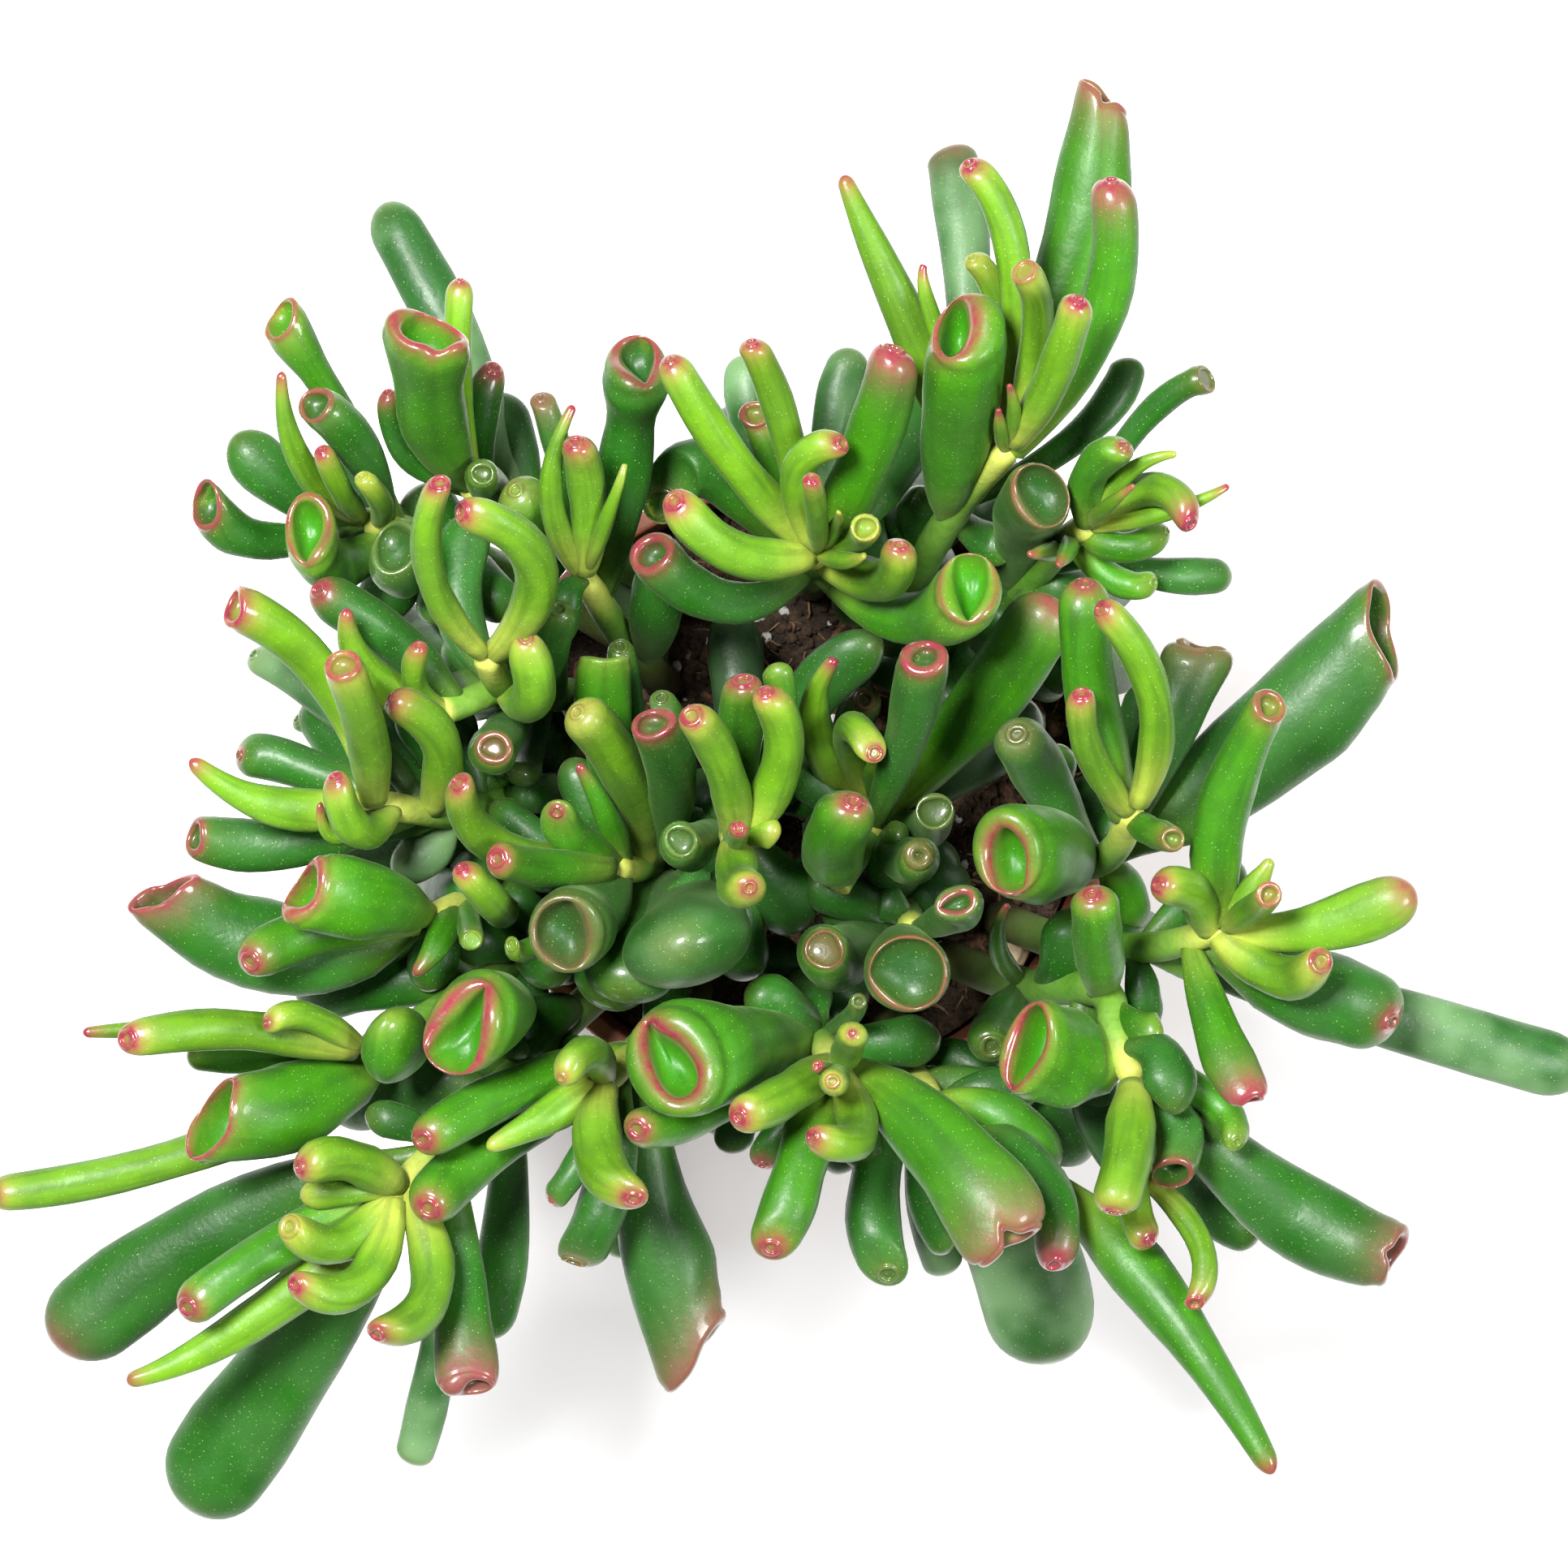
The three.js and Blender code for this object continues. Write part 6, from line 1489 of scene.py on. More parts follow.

# %% [markdown]
# All leaves of one shoot become one mesh. It keeps one more number, how far each point of its skin faces
# up, which the material uses for painted shade on the flanks. The piece rides on the object's only body and
# stands for the shoot's faceted solid.

# %% Leaf meshes
def plain_mesh(name, points, faces):
    mesh = bpy.data.meshes.new(name)
    mesh.from_pydata([tuple(point) for point in np.asarray(points) * MM], [], faces)
    mesh.polygons.foreach_set("use_smooth", [True] * len(mesh.polygons))
    mesh.update()
    return mesh


def as_piece(name, mesh, material, slot, *nodes):
    mesh.materials.clear()
    mesh.materials.append(material)
    piece = add_object(name, mesh)
    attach(piece, "root")
    if nodes:
        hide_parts(*nodes)


def shoot_mesh(shoot):
    chance = random.Random(shoot["name"])
    all_points, all_faces, all_numbers = [], [], {}
    for leaf in shoot["grown"]:
        start = sum(len(points) for points in all_points)
        points, faces, numbers = skin_of(leaf, chance)
        all_points.append(points)
        all_faces += [tuple(start + corner for corner in face) for face in faces]
        for name, values in numbers.items():
            all_numbers.setdefault(name, []).append(values)
    mesh = plain_mesh(shoot["name"] + "_leaves", np.vstack(all_points), all_faces)
    normals = np.empty(len(mesh.vertices) * 3)
    mesh.vertex_normals.foreach_get("vector", normals)
    # How far each point faces up, for the painted shade on the flanks.
    all_numbers["upward"] = [normals[2::3]]
    for name, values in all_numbers.items():
        kept = mesh.attributes.new(name, "FLOAT", "POINT")
        kept.data.foreach_set("value", np.concatenate(values))
    return mesh


leaf_meshes = {shoot["name"]: shoot_mesh(shoot) for shoot in shoots}
print("faces of all leaves:", sum(len(mesh.polygons) for mesh in leaf_meshes.values()))

# %% [markdown]
# ## Leaf skin material
#
# A fleshy leaf is waxy and a little translucent, so it gets some subsurface scattering, a soft gloss and a
# faint green sheen. Everything in its colour reads places and numbers that the mesh keeps. The named
# colours come first, and helpers for the streaks along a leaf and for the pale dots that the plant breathes
# through.

# %% Colours of the leaf
young_green = colour(96, 140, 36)
fresh_green = colour(58, 118, 24)
grown_green = colour(34, 88, 22)
old_green = colour(44, 88, 40)
crown_yellow = colour(182, 190, 84)
deep_green = colour(14, 54, 12)
bowl_green = colour(52, 124, 26)
# The bowl's dark green is painted shade for the hollows of older cups.
bowl_painted_shade = colour(26, 66, 26)
bloom_grey = colour(128, 160, 116)
dot_cream = colour(196, 218, 150)
halo_yellow = colour(186, 172, 78)
rim_red = colour(112, 34, 52)
bead_red = colour(150, 50, 66)
blush_mauve = colour(124, 74, 74)


def ramp(tree, factor, stops):
    node = add_node(tree, "ShaderNodeValToRGB", Fac=factor)
    elements = node.color_ramp.elements
    while len(elements) < len(stops):
        elements.new(0.5)
    for element, (place, shade) in zip(elements, stops):
        element.position = place
        element.color = shade
    return node.outputs["Color"]


def streak_noise(tree, scale):
    """Noise that is drawn out along the leaf: it changes quickly round it and slowly along it."""
    long_way = times(tree, point_value(tree, "along"), 1.1)
    shift = times(tree, point_value(tree, "chance"), 37.0)
    shifted = math_node(tree, "ADD", long_way, shift)
    x, y = point_value(tree, "streak_x"), point_value(tree, "streak_y")
    spot = add_node(tree, "ShaderNodeCombineXYZ", X=x, Y=y, Z=shifted).outputs[0]
    return add_node(tree, "ShaderNodeTexNoise", Vector=spot, Scale=scale).outputs["Fac"]


def leaf_dots(tree, scale, smallest, largest, kept_from):
    """Pale breathing dots in some of the cells of a Voronoi pattern."""
    cells = add_node(tree, "ShaderNodeTexVoronoi", Vector=object_point(tree), Scale=scale)
    near = map_range(tree, cells.outputs["Distance"], smallest, largest, 1.0, 0.0)
    kept = add_node(tree, "ShaderNodeSeparateColor", Color=cells.outputs["Color"]).outputs[0]
    return times(tree, near, map_range(tree, kept, kept_from, kept_from + 0.3))


print("the darkest leaf green is", [round(value, 3) for value in deep_green[:3]])

# %% [markdown]
# The green is built in layers over a base by tone: it is yellower at the foot of a young leaf, then come
# long streaks, mottling, a grey bloom on old leaves, painted shade on the flanks, a bowl colour with painted
# shade in older cups, and the dots. Leaves low in the middle of the bush get painted shade.

# %% Layers of green
def leaf_green(tree, tone, youth, streaks, mottle):
    """The tone's green, with the yellow foot, streaks, mottling, bloom, painted shade on flanks and old
    bowls, and dots over it.
    """
    shade = ramp(tree, tone, [(0, young_green), (0.33, fresh_green), (0.67, grown_green), (1, old_green)])
    foot = times(tree, map_range(tree, point_value(tree, "along"), 0.0, 0.42, 1.0, 0.0), youth)
    shade = mix_colour(tree, times(tree, foot, 0.85), shade, crown_yellow)
    shade = mix_colour(tree, map_range(tree, streaks, 0.42, 0.7, 0.0, 0.35), shade, deep_green)
    shade = mix_colour(tree, map_range(tree, mottle, 0.3, 0.75, 0.0, 0.22), shade, deep_green)
    age = map_range(tree, tone, 0.6, 1.0, 0.03, 0.52)
    bloom = times(tree, age, map_range(tree, noise(tree, 70.0), 0.35, 0.65))
    shade = mix_colour(tree, bloom, shade, bloom_grey)
    # Painted shade: the less a point of the skin faces up, the more deep green it gets.
    painted_flank_shade = map_range(tree, point_value(tree, "upward"), 0.0, 0.75, 0.55, 0.0)
    shade = mix_colour(tree, painted_flank_shade, shade, deep_green)
    # Inside the bowl: its own green in young cups, painted shade in older ones.
    bowl = mix_colour(tree, map_range(tree, tone, 0.3, 0.7), bowl_green, bowl_painted_shade)
    shade = mix_colour(tree, times(tree, point_value(tree, "inside"), 0.7), shade, bowl)
    large_dots = times(tree, leaf_dots(tree, 1350.0, 0.05, 0.16, 0.15), 0.5)
    fine_dots = times(tree, leaf_dots(tree, 2100.0, 0.05, 0.24, 0.45), 0.2)
    return mix_colour(tree, math_node(tree, "MAXIMUM", large_dots, fine_dots), shade, dot_cream)


def shaded_by_place(tree, shade):
    """The green with painted shade low in the bush's middle, and a little different from leaf to leaf."""
    spot = add_node(tree, "ShaderNodeSeparateXYZ", Vector=object_point(tree)).outputs
    flat = add_node(tree, "ShaderNodeCombineXYZ", X=spot["X"], Y=spot["Y"])
    from_axis = add_node(tree, "ShaderNodeVectorMath", {"operation": "LENGTH"}, Vector=flat.outputs[0])
    # Painted shade: below 148 mm a leaf darkens, to under half at 100 mm, unless it is far from the axis.
    painted_shade_low = map_range(tree, spot["Z"], 0.1, 0.148, 0.46, 1.04)
    unshaded_outside = map_range(tree, from_axis.outputs["Value"], 0.058, 0.085, 0.0, 1.04)
    own = map_range(tree, point_value(tree, "chance"), 0.0, 1.0, 0.86, 1.12)
    tone_and_painted_shade = times(tree, own, math_node(tree, "MAXIMUM", painted_shade_low, unshaded_outside))
    lit = add_node(tree, "ShaderNodeHueSaturation", Color=shade, Value=tone_and_painted_shade, Saturation=1.04)
    return lit.outputs[0]


print("bloom on old leaves is", [round(value, 3) for value in bloom_grey[:3]])

# %% [markdown]
# The halo, the blush and the red of the rim go over the green. The skin is smoother there, with a thin
# clear coat, so the glints gather on tips and rims as they do on the real leaves.

# %% Leaf skin material
def make_leaf_skin():
    material, tree = new_material("leaf_skin")
    tone, halo = point_value(tree, "tone"), point_value(tree, "halo")
    youth = map_range(tree, tone, 0.0, 0.5, 1.0, 0.15)
    mottle, streaks = noise(tree, 240.0, 3.0), streak_noise(tree, 1.6)
    shade = shaded_by_place(tree, leaf_green(tree, tone, youth, streaks, mottle))
    ragged = map_range(tree, noise(tree, 560.0, 4.0, 0.6), 0.3, 0.7, 0.72, 1.15)
    paling = times(tree, times(tree, halo, 0.4), youth)
    shade = mix_colour(tree, times(tree, paling, ragged), shade, halo_yellow)
    blushing = times(tree, point_value(tree, "blush"), 0.75)
    shade = mix_colour(tree, times(tree, blushing, ragged), shade, blush_mauve)
    redness = math_node(tree, "MULTIPLY", point_value(tree, "red"), ragged, clamp=True)
    shade = mix_colour(tree, redness, shade, mix_colour(tree, mottle, bead_red, rim_red))

    relief = math_node(tree, "ADD", times(tree, streaks, 0.15), mottle)
    relief = math_node(tree, "ADD", relief, times(tree, noise(tree, 1500.0), 0.2))
    waxy = map_range(tree, mottle, 0.25, 0.75, 0.38, 0.5)
    gloss = add_node(tree, "ShaderNodeMix", Factor=redness, A=waxy, B=0.2)
    wet = math_node(tree, "MAXIMUM", redness, times(tree, halo, 0.6))
    coat = map_range(tree, wet, 0.1, 0.8, 0.02, 0.7)
    finish_material(
        tree, Base_Color=shade, Roughness=gloss.outputs[0], Normal=bumps(tree, relief, 0.35, 0.6),
        Coat_Weight=coat, Coat_Roughness=0.09, Specular_IOR_Level=0.28,
        Subsurface_Weight=0.18, Subsurface_Radius=(0.6, 1.0, 0.25), Subsurface_Scale=2.5 * MM,
        Sheen_Weight=0.12, Sheen_Tint=(0.5, 0.8, 0.3, 1), Sheen_Roughness=0.4,
    )
    return material


leaf_skin = make_leaf_skin()
for shoot in shoots:
    as_piece(shoot["name"] + "_leaves", leaf_meshes[shoot["name"]], leaf_skin, "leaf", shoot["name"])
print("leaf pieces:", len(leaf_meshes))

# %% [markdown]
# ## Stems
#
# A stem follows a path, so Geometry Nodes makes it from bare polylines whose points know how thick the stem
# is there. The tree turns them into curves, sweeps a circle along them, and moves the skin in and out by a
# slow noise, which gives the knots where old leaves fell off.

# %% Geometry Nodes helpers
def new_tree(name, **inputs):
    """An empty tree with a geometry input and output, and named inputs of the kinds that are given."""
    tree = bpy.data.node_groups.new(name, "GeometryNodeTree")
    tree.interface.new_socket("Geometry", in_out="INPUT", socket_type="NodeSocketGeometry")
    for label, kind in inputs.items():
        tree.interface.new_socket(label.replace("_", " "), in_out="INPUT", socket_type="NodeSocket" + kind)
    tree.interface.new_socket("Geometry", in_out="OUTPUT", socket_type="NodeSocketGeometry")
    given = tree.nodes.new("NodeGroupInput")
    result = tree.nodes.new("NodeGroupOutput")
    return tree, given.outputs, result.inputs["Geometry"]


def end_tree(tree, geometry, material_socket, result):
    real = add_node(tree, "GeometryNodeRealizeInstances", Geometry=geometry)
    painted = add_node(tree, "GeometryNodeSetMaterial", Geometry=real.outputs[0], Material=material_socket)
    tree.links.new(painted.outputs[0], result)


def grown_mesh(name, base_mesh, tree, **inputs):
    """The plain mesh that the tree makes from base_mesh with these inputs."""
    source = add_object(name + "_source", base_mesh)
    modifier = source.modifiers.new(name, "NODES")
    modifier.node_group = tree
    for item in tree.interface.items_tree:
        label = item.name.replace(" ", "_")
        if item.item_type == "SOCKET" and item.in_out == "INPUT" and label in inputs:
            modifier[item.identifier] = inputs[label]
    bpy.context.view_layer.update()
    evaluated = source.evaluated_get(bpy.context.evaluated_depsgraph_get())
    mesh = bpy.data.meshes.new_from_object(evaluated)
    source.modifiers.remove(modifier)
    bpy.data.objects.remove(source)
    mesh.name = name
    mesh.polygons.foreach_set("use_smooth", [True] * len(mesh.polygons))
    return mesh


print("Geometry Nodes helpers ready")

# %% Stem tree
stem_steps = 34
round_end_from = 0.965


def make_stem_tree():
    tree, given, result = new_tree(
        "stem_sweep", Sides="Int", Knot_Height="Float", Knot_Scale="Float", Bark="Material"
    )
    paths = add_node(tree, "GeometryNodeMeshToCurve", Mesh=given["Geometry"])
    kind = {"data_type": "FLOAT"}
    radius = add_node(tree, "GeometryNodeInputNamedAttribute", kind, Name="stem_radius").outputs[0]
    thick = add_node(tree, "GeometryNodeSetCurveRadius", Curve=paths.outputs[0], Radius=radius)
    circle = add_node(tree, "GeometryNodeCurvePrimitiveCircle", Resolution=given["Sides"], Radius=1.0)
    swept = add_node(
        tree, "GeometryNodeCurveToMesh", Curve=thick.outputs[0], Profile_Curve=circle.outputs[0],
        Scale=radius, Fill_Caps=True,
    )
    knots = add_node(tree, "ShaderNodeTexNoise", Scale=given["Knot Scale"])
    swell = math_node(tree, "SUBTRACT", knots.outputs["Fac"], 0.5)
    reach = times(tree, swell, given["Knot Height"])
    outwards = add_node(tree, "GeometryNodeInputNormal").outputs[0]
    push = add_node(tree, "ShaderNodeVectorMath", {"operation": "SCALE"}, Vector=outwards, Scale=reach)
    moved = add_node(tree, "GeometryNodeSetPosition", Geometry=swept.outputs[0], Offset=push.outputs[0])
    end_tree(tree, moved.outputs[0], given["Bark"], result)
    return tree


def stem_paths():
    points, edges, radii, places = [], [], [], []
    rounding = quarter(6)[:-1]
    shares = [*np.linspace(0, round_end_from, stem_steps + 1)]
    shares += [*(round_end_from + (1 - round_end_from) * np.sin(rounding))]
    closing = [1.0] * (stem_steps + 1) + [*np.cos(rounding)]
    for shoot in shoots:
        for i, curve in enumerate(shoot["curves"]):
            for k, (t, share) in enumerate(zip(shares, closing)):
                if k > 0:
                    edges.append((len(points) - 1, len(points)))
                points.append(catmull_rom(curve, t) * MM)
                radii.append(stem_radius(i == 0, t) * share * MM)
                places.append(t)
    mesh = bpy.data.meshes.new("stem_paths")
    mesh.from_pydata([tuple(point) for point in points], edges, [])
    mesh.attributes.new("stem_radius", "FLOAT", "POINT").data.foreach_set("value", radii)
    mesh.attributes.new("stem_place", "FLOAT", "POINT").data.foreach_set("value", places)
    return mesh


def make_bark():
    material, tree = new_material("stem_bark")
    fine = noise(tree, 900.0, 4.0)
    rings = noise(tree, 160.0)
    wobbled = math_node(tree, "ADD", height_of(tree), times(tree, rings, 0.02))
    # Darker and browner low down: partly the bark's own colour, partly painted shade low in the bush.
    shade = ramp(tree, map_range(tree, wobbled, 0.1, 0.18), [
        (0, colour(82, 76, 44)),
        (0.25, colour(74, 104, 38)),
        (0.6, colour(80, 130, 36)),
        (1, colour(112, 150, 52)),
    ])
    crown = map_range(tree, point_value(tree, "stem_place"), 0.84, 0.98)
    shade = mix_colour(tree, crown, shade, crown_yellow)
    shade = mix_colour(tree, map_range(tree, fine, 0.4, 0.75, 0.0, 0.2), shade, colour(60, 62, 34))
    rough = map_range(tree, rings, 0.3, 0.7, 0.45, 0.75)
    finish_material(tree, Base_Color=shade, Roughness=rough, Normal=bumps(tree, fine, 0.2, 0.6))
    return material


bark = make_bark()
stem_mesh = grown_mesh(
    "stems", stem_paths(), make_stem_tree(), Sides=14, Knot_Height=0.5 * MM, Knot_Scale=260.0, Bark=bark
)
as_piece("stems", stem_mesh, bark, "leaf", *[shoot["name"] for shoot in shoots])
print("stem faces:", len(stem_mesh.polygons))

# %% [markdown]
# ## Pot
#
# The leaves hide the pot from above, but the model is seen from every side. A moulded nursery pot is a body
# of revolution: a tapered wall, a plain band round the rim and a flat floor with drain holes. Its outline
# could be spun, but here the rings are laid out directly, with each corner rounded as a mould rounds it.

# %% Pot outline
pot_band_height = 14
pot_wall_radius = 49.4
pot_foot_radius = 37
pot_wall = 1.5
pot_floor = 2.4
pot_corner = 0.8
pot_sides = 96
band_foot = pot_height - pot_band_height
inner_neck = band_foot - 2


def wall_radius(height):
    return pot_foot_radius + (pot_wall_radius - pot_foot_radius) * height / band_foot


def rounded(outline, radius, steps=3):
    """The outline with each corner between its ends replaced by a short arc."""
    points = [np.array(point, float) for point in outline]
    result = [points[0]]
    for before, corner, after in zip(points, points[1:], points[2:]):
        into, out = before - corner, after - corner
        cut = min(radius, norm(into) * 0.45, norm(out) * 0.45)
        start, end = corner + unit(into) * cut, corner + unit(out) * cut
        for t in np.linspace(0, 1, steps + 1):
            result.append((1 - t) ** 2 * start + 2 * t * (1 - t) * corner + t**2 * end)
    return result + [points[-1]]


def turned_mesh(name, outline, sides):
    """A closed body of revolution from an outline that starts and ends on the axis."""
    rings = outline[1:-1]
    points = [(0, 0, outline[0][1])]
    points += [(r * math.cos(turn), r * math.sin(turn), z) for r, z in rings for turn in full_turn(sides)]
    points.append((0, 0, outline[-1][1]))
    return plain_mesh(name, points, faces_of(len(rings), sides))


pot_outline = rounded([
    (0, 0), (pot_foot_radius, 0), (pot_wall_radius, band_foot), (pot_rim_radius, band_foot),
    (pot_rim_radius, pot_height), (pot_rim_radius - 2 * pot_wall, pot_height),
    (wall_radius(band_foot) - pot_wall, inner_neck), (wall_radius(pot_floor) - pot_wall, pot_floor),
    (0, pot_floor),
], pot_corner)
print("points in the pot's outline:", len(pot_outline))

# %% [markdown]
# The drain holes repeat round a ring, so Geometry Nodes cuts them: a cylinder stands on each point of a
# circle, and all of them are taken away from the pot. The inputs are the same three numbers as in the CAD.

# %% Drain holes
drain_hole_radius = 4
drain_ring_radius = 25
drain_holes = 6


def make_drain_tree():
    tree, given, result = new_tree(
        "drain_holes", Hole_Radius="Float", Ring_Radius="Float", Holes="Int", Plastic="Material"
    )
    ring = add_node(tree, "GeometryNodeMeshCircle", Vertices=given["Holes"], Radius=given["Ring Radius"])
    cutter = add_node(
        tree, "GeometryNodeMeshCylinder", Vertices=32, Depth=10 * MM, Radius=given["Hole Radius"]
    )
    placed = add_node(
        tree, "GeometryNodeInstanceOnPoints", Points=ring.outputs[0], Instance=cutter.outputs[0]
    )
    half_step = (0, 0, math.pi / drain_holes)
    turned = add_node(tree, "GeometryNodeTransform", Geometry=placed.outputs[0], Rotation=half_step)
    real = add_node(tree, "GeometryNodeRealizeInstances", Geometry=turned.outputs[0])
    cut = add_node(
        tree, "GeometryNodeMeshBoolean", {"operation": "DIFFERENCE", "solver": "EXACT"},
        Mesh_1=given["Geometry"], Mesh_2=real.outputs[0],
    )
    end_tree(tree, cut.outputs[0], given["Plastic"], result)
    return tree


def make_pot_plastic():
    material, tree = new_material("pot_plastic")
    grain = noise(tree, 1400.0, 3.0)
    clouds = noise(tree, 30.0, 3.0)
    shade = mix_colour(tree, map_range(tree, clouds, 0.3, 0.7), colour(138, 76, 52), colour(150, 86, 60))
    dust = times(tree, map_range(tree, height_of(tree), 0.0, 0.03, 0.5, 0.0), clouds)
    shade = mix_colour(tree, dust, shade, colour(120, 96, 78))
    rough = map_range(tree, grain, 0.2, 0.8, 0.5, 0.66)
    finish_material(tree, Base_Color=shade, Roughness=rough, Normal=bumps(tree, grain, 0.25, 0.4))
    return material


pot_plastic = make_pot_plastic()
pot_mesh = grown_mesh(
    "pot_body", turned_mesh("pot_outline", pot_outline, pot_sides), make_drain_tree(),
    Hole_Radius=drain_hole_radius * MM, Ring_Radius=drain_ring_radius * MM, Holes=drain_holes,
    Plastic=pot_plastic,
)
pot_mesh.shade_flat()
as_piece("pot_body", pot_mesh, pot_plastic, "pot", "pot")
print("pot faces:", len(pot_mesh.polygons))

# %% [markdown]
# ## Soil
#
# Potting soil is peat with bark, wood fibres and white perlite. A lump with the CAD's low waves, and
# smaller ones, stands for the bulk of it, and thousands of loose grains lie on top.

# %% Soil body
soil_roughness = 0.9
soil_gap = 0.35
soil_edge = pot_rim_radius - 2 * pot_wall - soil_gap - 1.2
soil_rings = 40
edge_slope = 8


def soil_top(x, y):
    """Height of the soil at x, y, before its grains."""
    waves = soil_roughness * (np.sin(x * 0.21 + 1) * np.cos(y * 0.17) + 0.5 * np.sin(x * 0.43 - y * 0.37))
    small = 0.35 * np.sin(x * 1.3 + 2 * np.sin(y * 0.9)) + 0.25 * np.cos(y * 1.7 - x * 0.8)
    edge = smooth(soil_edge, soil_edge - edge_slope, np.hypot(x, y))
    return soil_height + (soil_roughness / 2 + waves + small) * edge


def soil_mesh():
    bottom = pot_floor + soil_gap
    outline = [(0, bottom), (wall_radius(bottom) - pot_wall - soil_gap, bottom),
               (wall_radius(inner_neck) - pot_wall - soil_gap, inner_neck), (soil_edge, soil_height)]
    outline += [(radius, soil_height) for radius in np.linspace(soil_edge, 0, soil_rings)[1:]]
    mesh = turned_mesh("soil_body", outline, pot_sides)
    for vertex in mesh.vertices:
        if vertex.co.z > (soil_height - 0.01) * MM:
            vertex.co.z = soil_top(vertex.co.x / MM, vertex.co.y / MM) * MM
    mesh.update()
    return mesh


def make_peat(name, dark, light, scale=700.0, gloss=0.9):
    material, tree = new_material(name)
    grain = noise(tree, scale, 5.0, 0.65)
    lumps = noise(tree, scale / 5, 3.0)
    shade = mix_colour(tree, map_range(tree, grain, 0.35, 0.7), dark, light)
    shade = mix_colour(tree, map_range(tree, lumps, 0.3, 0.6, 0.6, 0.0), shade, dark)
    rough = map_range(tree, lumps, 0.3, 0.7, gloss - 0.1, gloss)
    finish_material(tree, Base_Color=shade, Roughness=rough, Normal=bumps(tree, grain, 0.8, 1.0))
    return material


peat = make_peat("peat", colour(42, 30, 20), colour(92, 70, 50))
as_piece("soil_body", soil_mesh(), peat, "soil", "soil")
print("the soil's top at the middle:", round(float(soil_top(0.0, 0.0)), 1), "mm")

# %% [markdown]
# One tree scatters the loose grains, and is used four times. It spreads points over the soil's top, puts a
# small body on each, turns and sizes it at random, and bends all of them with a noise, so that no two stay
# alike. Each body has few faces, because there are thousands of them.

# %% Scatter tree
def random_turn(tree, tilt, seed):
    """A random heading for each grain, leaning by up to the tilt."""
    turn = add_node(
        tree, "FunctionNodeRandomValue", {"data_type": "FLOAT_VECTOR"}, Min=(-1, -1, -3.2), Max=(1, 1, 3.2),
        Seed=seed,
    )
    most = add_node(tree, "ShaderNodeCombineXYZ", X=tilt, Y=tilt, Z=1.0)
    way = add_node(tree, "ShaderNodeVectorMath", {"operation": "MULTIPLY"}, Vector=turn.outputs[0])
    feed(tree, way.inputs[1], most.outputs[0])
    return way.outputs[0]


def bent_by_noise(tree, geometry, strength):
    wobble = add_node(tree, "ShaderNodeTexNoise", Scale=300.0, Detail=1.0).outputs["Color"]
    centred = add_node(tree, "ShaderNodeVectorMath", {"operation": "SUBTRACT"}, Vector=wobble)
    centred.inputs[1].default_value = (0.5, 0.5, 0.5)
    shift = centred.outputs[0]
    push = add_node(tree, "ShaderNodeVectorMath", {"operation": "SCALE"}, Vector=shift, Scale=strength)
    moved = add_node(tree, "GeometryNodeSetPosition", Geometry=geometry, Offset=push.outputs[0])
    return moved.outputs[0]


def make_scatter_tree():
    tree, given, result = new_tree(
        "scattered_grains", Grain="Object", Density="Float", Smallest="Float", Largest="Float",
        Tilt="Float", Bend="Float", Seed="Int", Finish="Material",
    )
    seed = given["Seed"]
    spots = add_node(
        tree, "GeometryNodeDistributePointsOnFaces", Mesh=given["Geometry"], Density=given["Density"],
        Seed=seed,
    )
    size = add_node(tree, "FunctionNodeRandomValue", {"data_type": "FLOAT"}, Seed=seed)
    for number, label in ((2, "Smallest"), (3, "Largest")):
        feed(tree, size.inputs[number], given[label])
    body = add_node(tree, "GeometryNodeObjectInfo", Object=given["Grain"])
    placed = add_node(
        tree, "GeometryNodeInstanceOnPoints", Points=spots.outputs[0], Instance=body.outputs["Geometry"],
        Rotation=random_turn(tree, given["Tilt"], seed), Scale=size.outputs[1],
    )
    real = add_node(tree, "GeometryNodeRealizeInstances", Geometry=placed.outputs[0])
    end_tree(tree, bent_by_noise(tree, real.outputs[0], given["Bend"]), given["Finish"], result)
    return tree


scatter_tree = make_scatter_tree()
print("sockets of the scatter tree:", [item.name for item in scatter_tree.interface.items_tree])

# %% Grain shapes
top_sides = 72
top_rings = 24


def lump_shape(name, radii, detail=1):
    body = bmesh.new()
    bmesh.ops.create_icosphere(body, subdivisions=detail, radius=MM)
    chance = random.Random(name)
    for vertex in body.verts:
        swell = chance.uniform(0.8, 1.15)
        vertex.co = Vector(a * b * swell for a, b in zip(vertex.co, radii))
    mesh = bpy.data.meshes.new(name)
    body.to_mesh(mesh)
    body.free()
    return bpy.data.objects.new(name, mesh)


def fibre_shape(name, length, radius, sides=5, steps=6):
    """A thin closed rod with tapered ends."""
    points = [(-length / 2, 0, 0)]
    for i in range(1, steps):
        x = length * (i / steps - 0.5)
        reach = radius * math.sin(math.pi * i / steps) ** 0.5
        points += [(x, reach * math.cos(turn), reach * math.sin(turn)) for turn in full_turn(sides)]
    points.append((length / 2, 0, 0))
    return bpy.data.objects.new(name, plain_mesh(name, points, faces_of(steps - 1, sides)))


def top_mesh():
    """Only the top of the soil, for the grains to lie on."""
    radii = np.linspace(0, soil_edge - 1, top_rings)[1:]
    turns = full_turn(top_sides)
    flat = [(0.0, 0.0)] + [(r * math.cos(turn), r * math.sin(turn)) for r in radii for turn in turns]
    points = [(x, y, float(soil_top(x, y))) for x, y in flat]
    faces = [(0, 1 + i, 1 + (i + 1) % top_sides) for i in range(top_sides)]
    for low in range(1, len(points) - top_sides, top_sides):
        for i in range(top_sides):
            beside = (i + 1) % top_sides
            faces.append((low + i, low + top_sides + i, low + top_sides + beside, low + beside))
    return plain_mesh("soil_top", points, faces)


print("grain shapes ready")

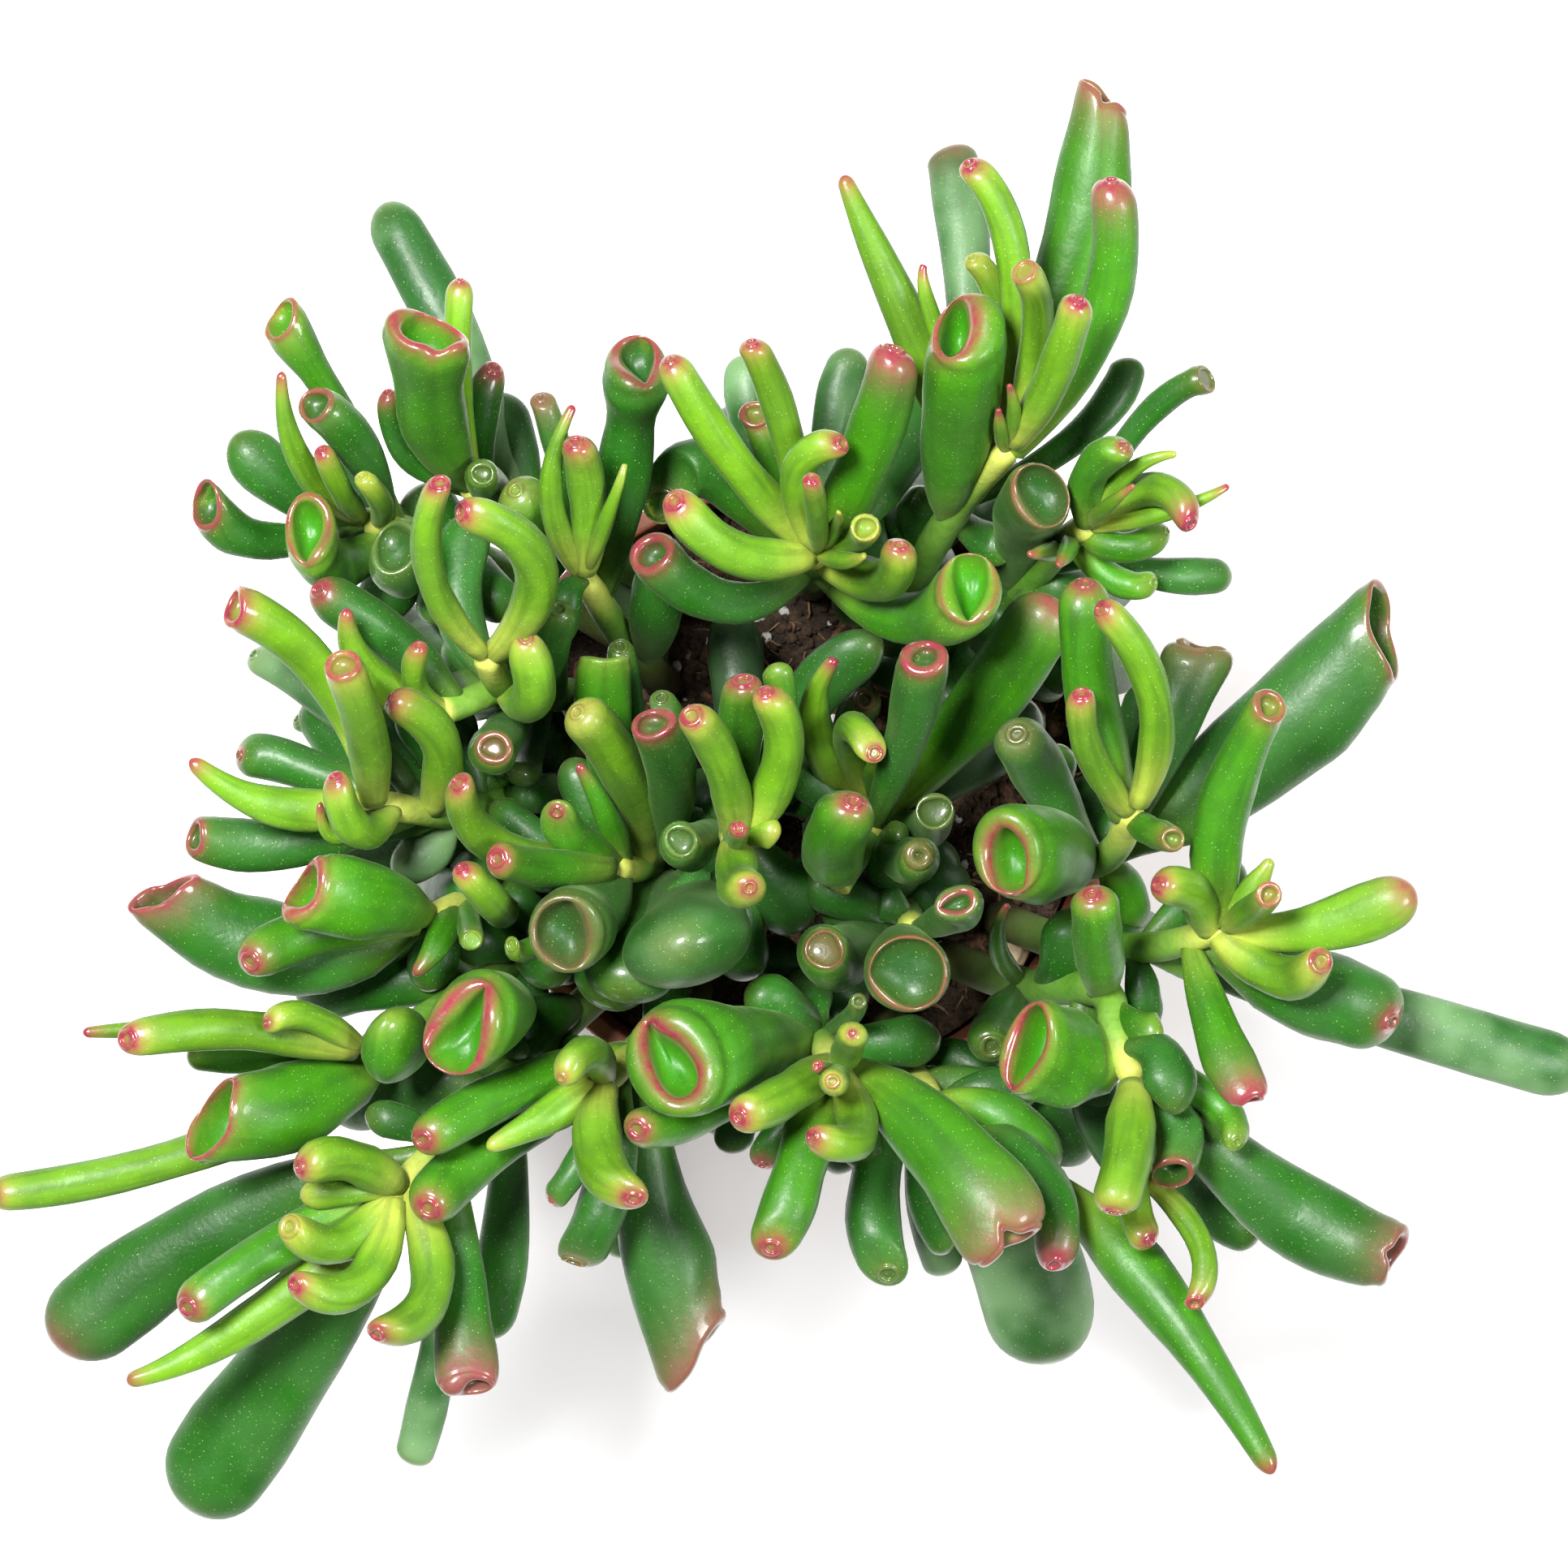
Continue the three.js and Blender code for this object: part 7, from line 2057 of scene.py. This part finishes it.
# %% Scattered grains
bark_finish = make_peat("bark_chips", colour(70, 46, 30), colour(148, 108, 76), 500.0, 0.75)
fibre_finish = make_peat("wood_fibres", colour(116, 88, 60), colour(178, 146, 108), 600.0, 0.8)
perlite_finish = make_peat("perlite", colour(196, 194, 184), colour(240, 240, 234), 900.0, 0.85)
grain_kinds = {
    "peat_crumbs": dict(
        Grain=lump_shape("crumb", (1.0, 0.8, 0.6)), Density=4.2e5, Smallest=0.35, Largest=1.2,
        Tilt=3.0, Bend=0.6 * MM, Seed=3, Finish=peat,
    ),
    "bark_chips": dict(
        Grain=lump_shape("chip", (2.4, 1.4, 0.5)), Density=1.9e4, Smallest=0.6, Largest=1.5,
        Tilt=0.5, Bend=1.0 * MM, Seed=5, Finish=bark_finish,
    ),
    "wood_fibres": dict(
        Grain=fibre_shape("fibre", 8, 0.22), Density=4.5e4, Smallest=0.5, Largest=1.4,
        Tilt=0.25, Bend=3.0 * MM, Seed=8, Finish=fibre_finish,
    ),
    "perlite": dict(
        Grain=lump_shape("pearl", (0.9, 0.8, 0.7), 2), Density=1.3e4, Smallest=0.5, Largest=1.3,
        Tilt=3.0, Bend=0.5 * MM, Seed=11, Finish=perlite_finish,
    ),
}
for name, inputs in grain_kinds.items():
    grains = grown_mesh(name, top_mesh(), scatter_tree, **inputs)
    as_piece(name, grains, inputs["Finish"], "soil")
    bpy.data.objects.remove(inputs["Grain"])
    print(name, "faces:", len(grains.polygons))

# %% [markdown]
# Two things on the soil aren't potting soil: a cream seed hull, ridged from end to end, and a small pale
# stone. Both show between the leaves, so each is shaped on its own from a ball of rings.

# %% Hull and stone
def ball_mesh(name, radii, steps, sides, bump_of):
    """A closed ball with half lengths radii, each point's radius scaled by bump_of(theta, phi)."""
    points = [(-radii[0], 0, 0)]
    for theta in np.linspace(0, math.pi, steps + 1)[1:-1]:
        for phi in full_turn(sides):
            swell = bump_of(theta, phi)
            points.append((-radii[0] * math.cos(theta), radii[1] * math.sin(theta) * math.cos(phi) * swell,
                           radii[2] * math.sin(theta) * math.sin(phi) * swell))
    points.append((radii[0], 0, 0))
    return plain_mesh(name, points, faces_of(steps - 1, sides))


def laid_on_soil(mesh, plan, turn, sink):
    """Turn the mesh about the vertical, and put it on the soil below a place in the picture."""
    x, y = place((plan[0], plan[1], soil_height))[:2]
    z = float(soil_top(x, y)) + sink
    mesh.transform(Matrix.Translation(Vector((x, y, z)) * MM) @ Matrix.Rotation(math.radians(turn), 4, "Z"))
    return mesh


def make_shell(name, pale, dark, scale):
    material, tree = new_material(name)
    shade = mix_colour(tree, map_range(tree, noise(tree, scale, 4.0), 0.35, 0.7), pale, dark)
    relief = bumps(tree, noise(tree, scale * 3, 3.0), 0.4, 0.4)
    finish_material(tree, Base_Color=shade, Roughness=0.55, Normal=relief)
    return material


def hull_ribs(theta, phi):
    return 1 + 0.06 * math.cos(9 * phi)


def stone_dents(theta, phi):
    return 1 + 0.08 * math.sin(3 * phi + 2 * theta)


hull_shell = make_shell("hull_shell", colour(214, 196, 160), colour(168, 140, 104), 300.0)
hull = ball_mesh("seed_hull", (6, 3.1, 2.4), 22, 40, hull_ribs)
as_piece("seed_hull", laid_on_soil(hull, (38, -20), 70, 1.2), hull_shell, "soil")
stone_face = make_shell("stone_face", colour(206, 190, 178), colour(160, 144, 132), 400.0)
stone = ball_mesh("pale_stone", (2.9, 2.4, 1.8), 14, 24, stone_dents)
as_piece("pale_stone", laid_on_soil(stone, (21, -35), 20, 0.8), stone_face, "soil")
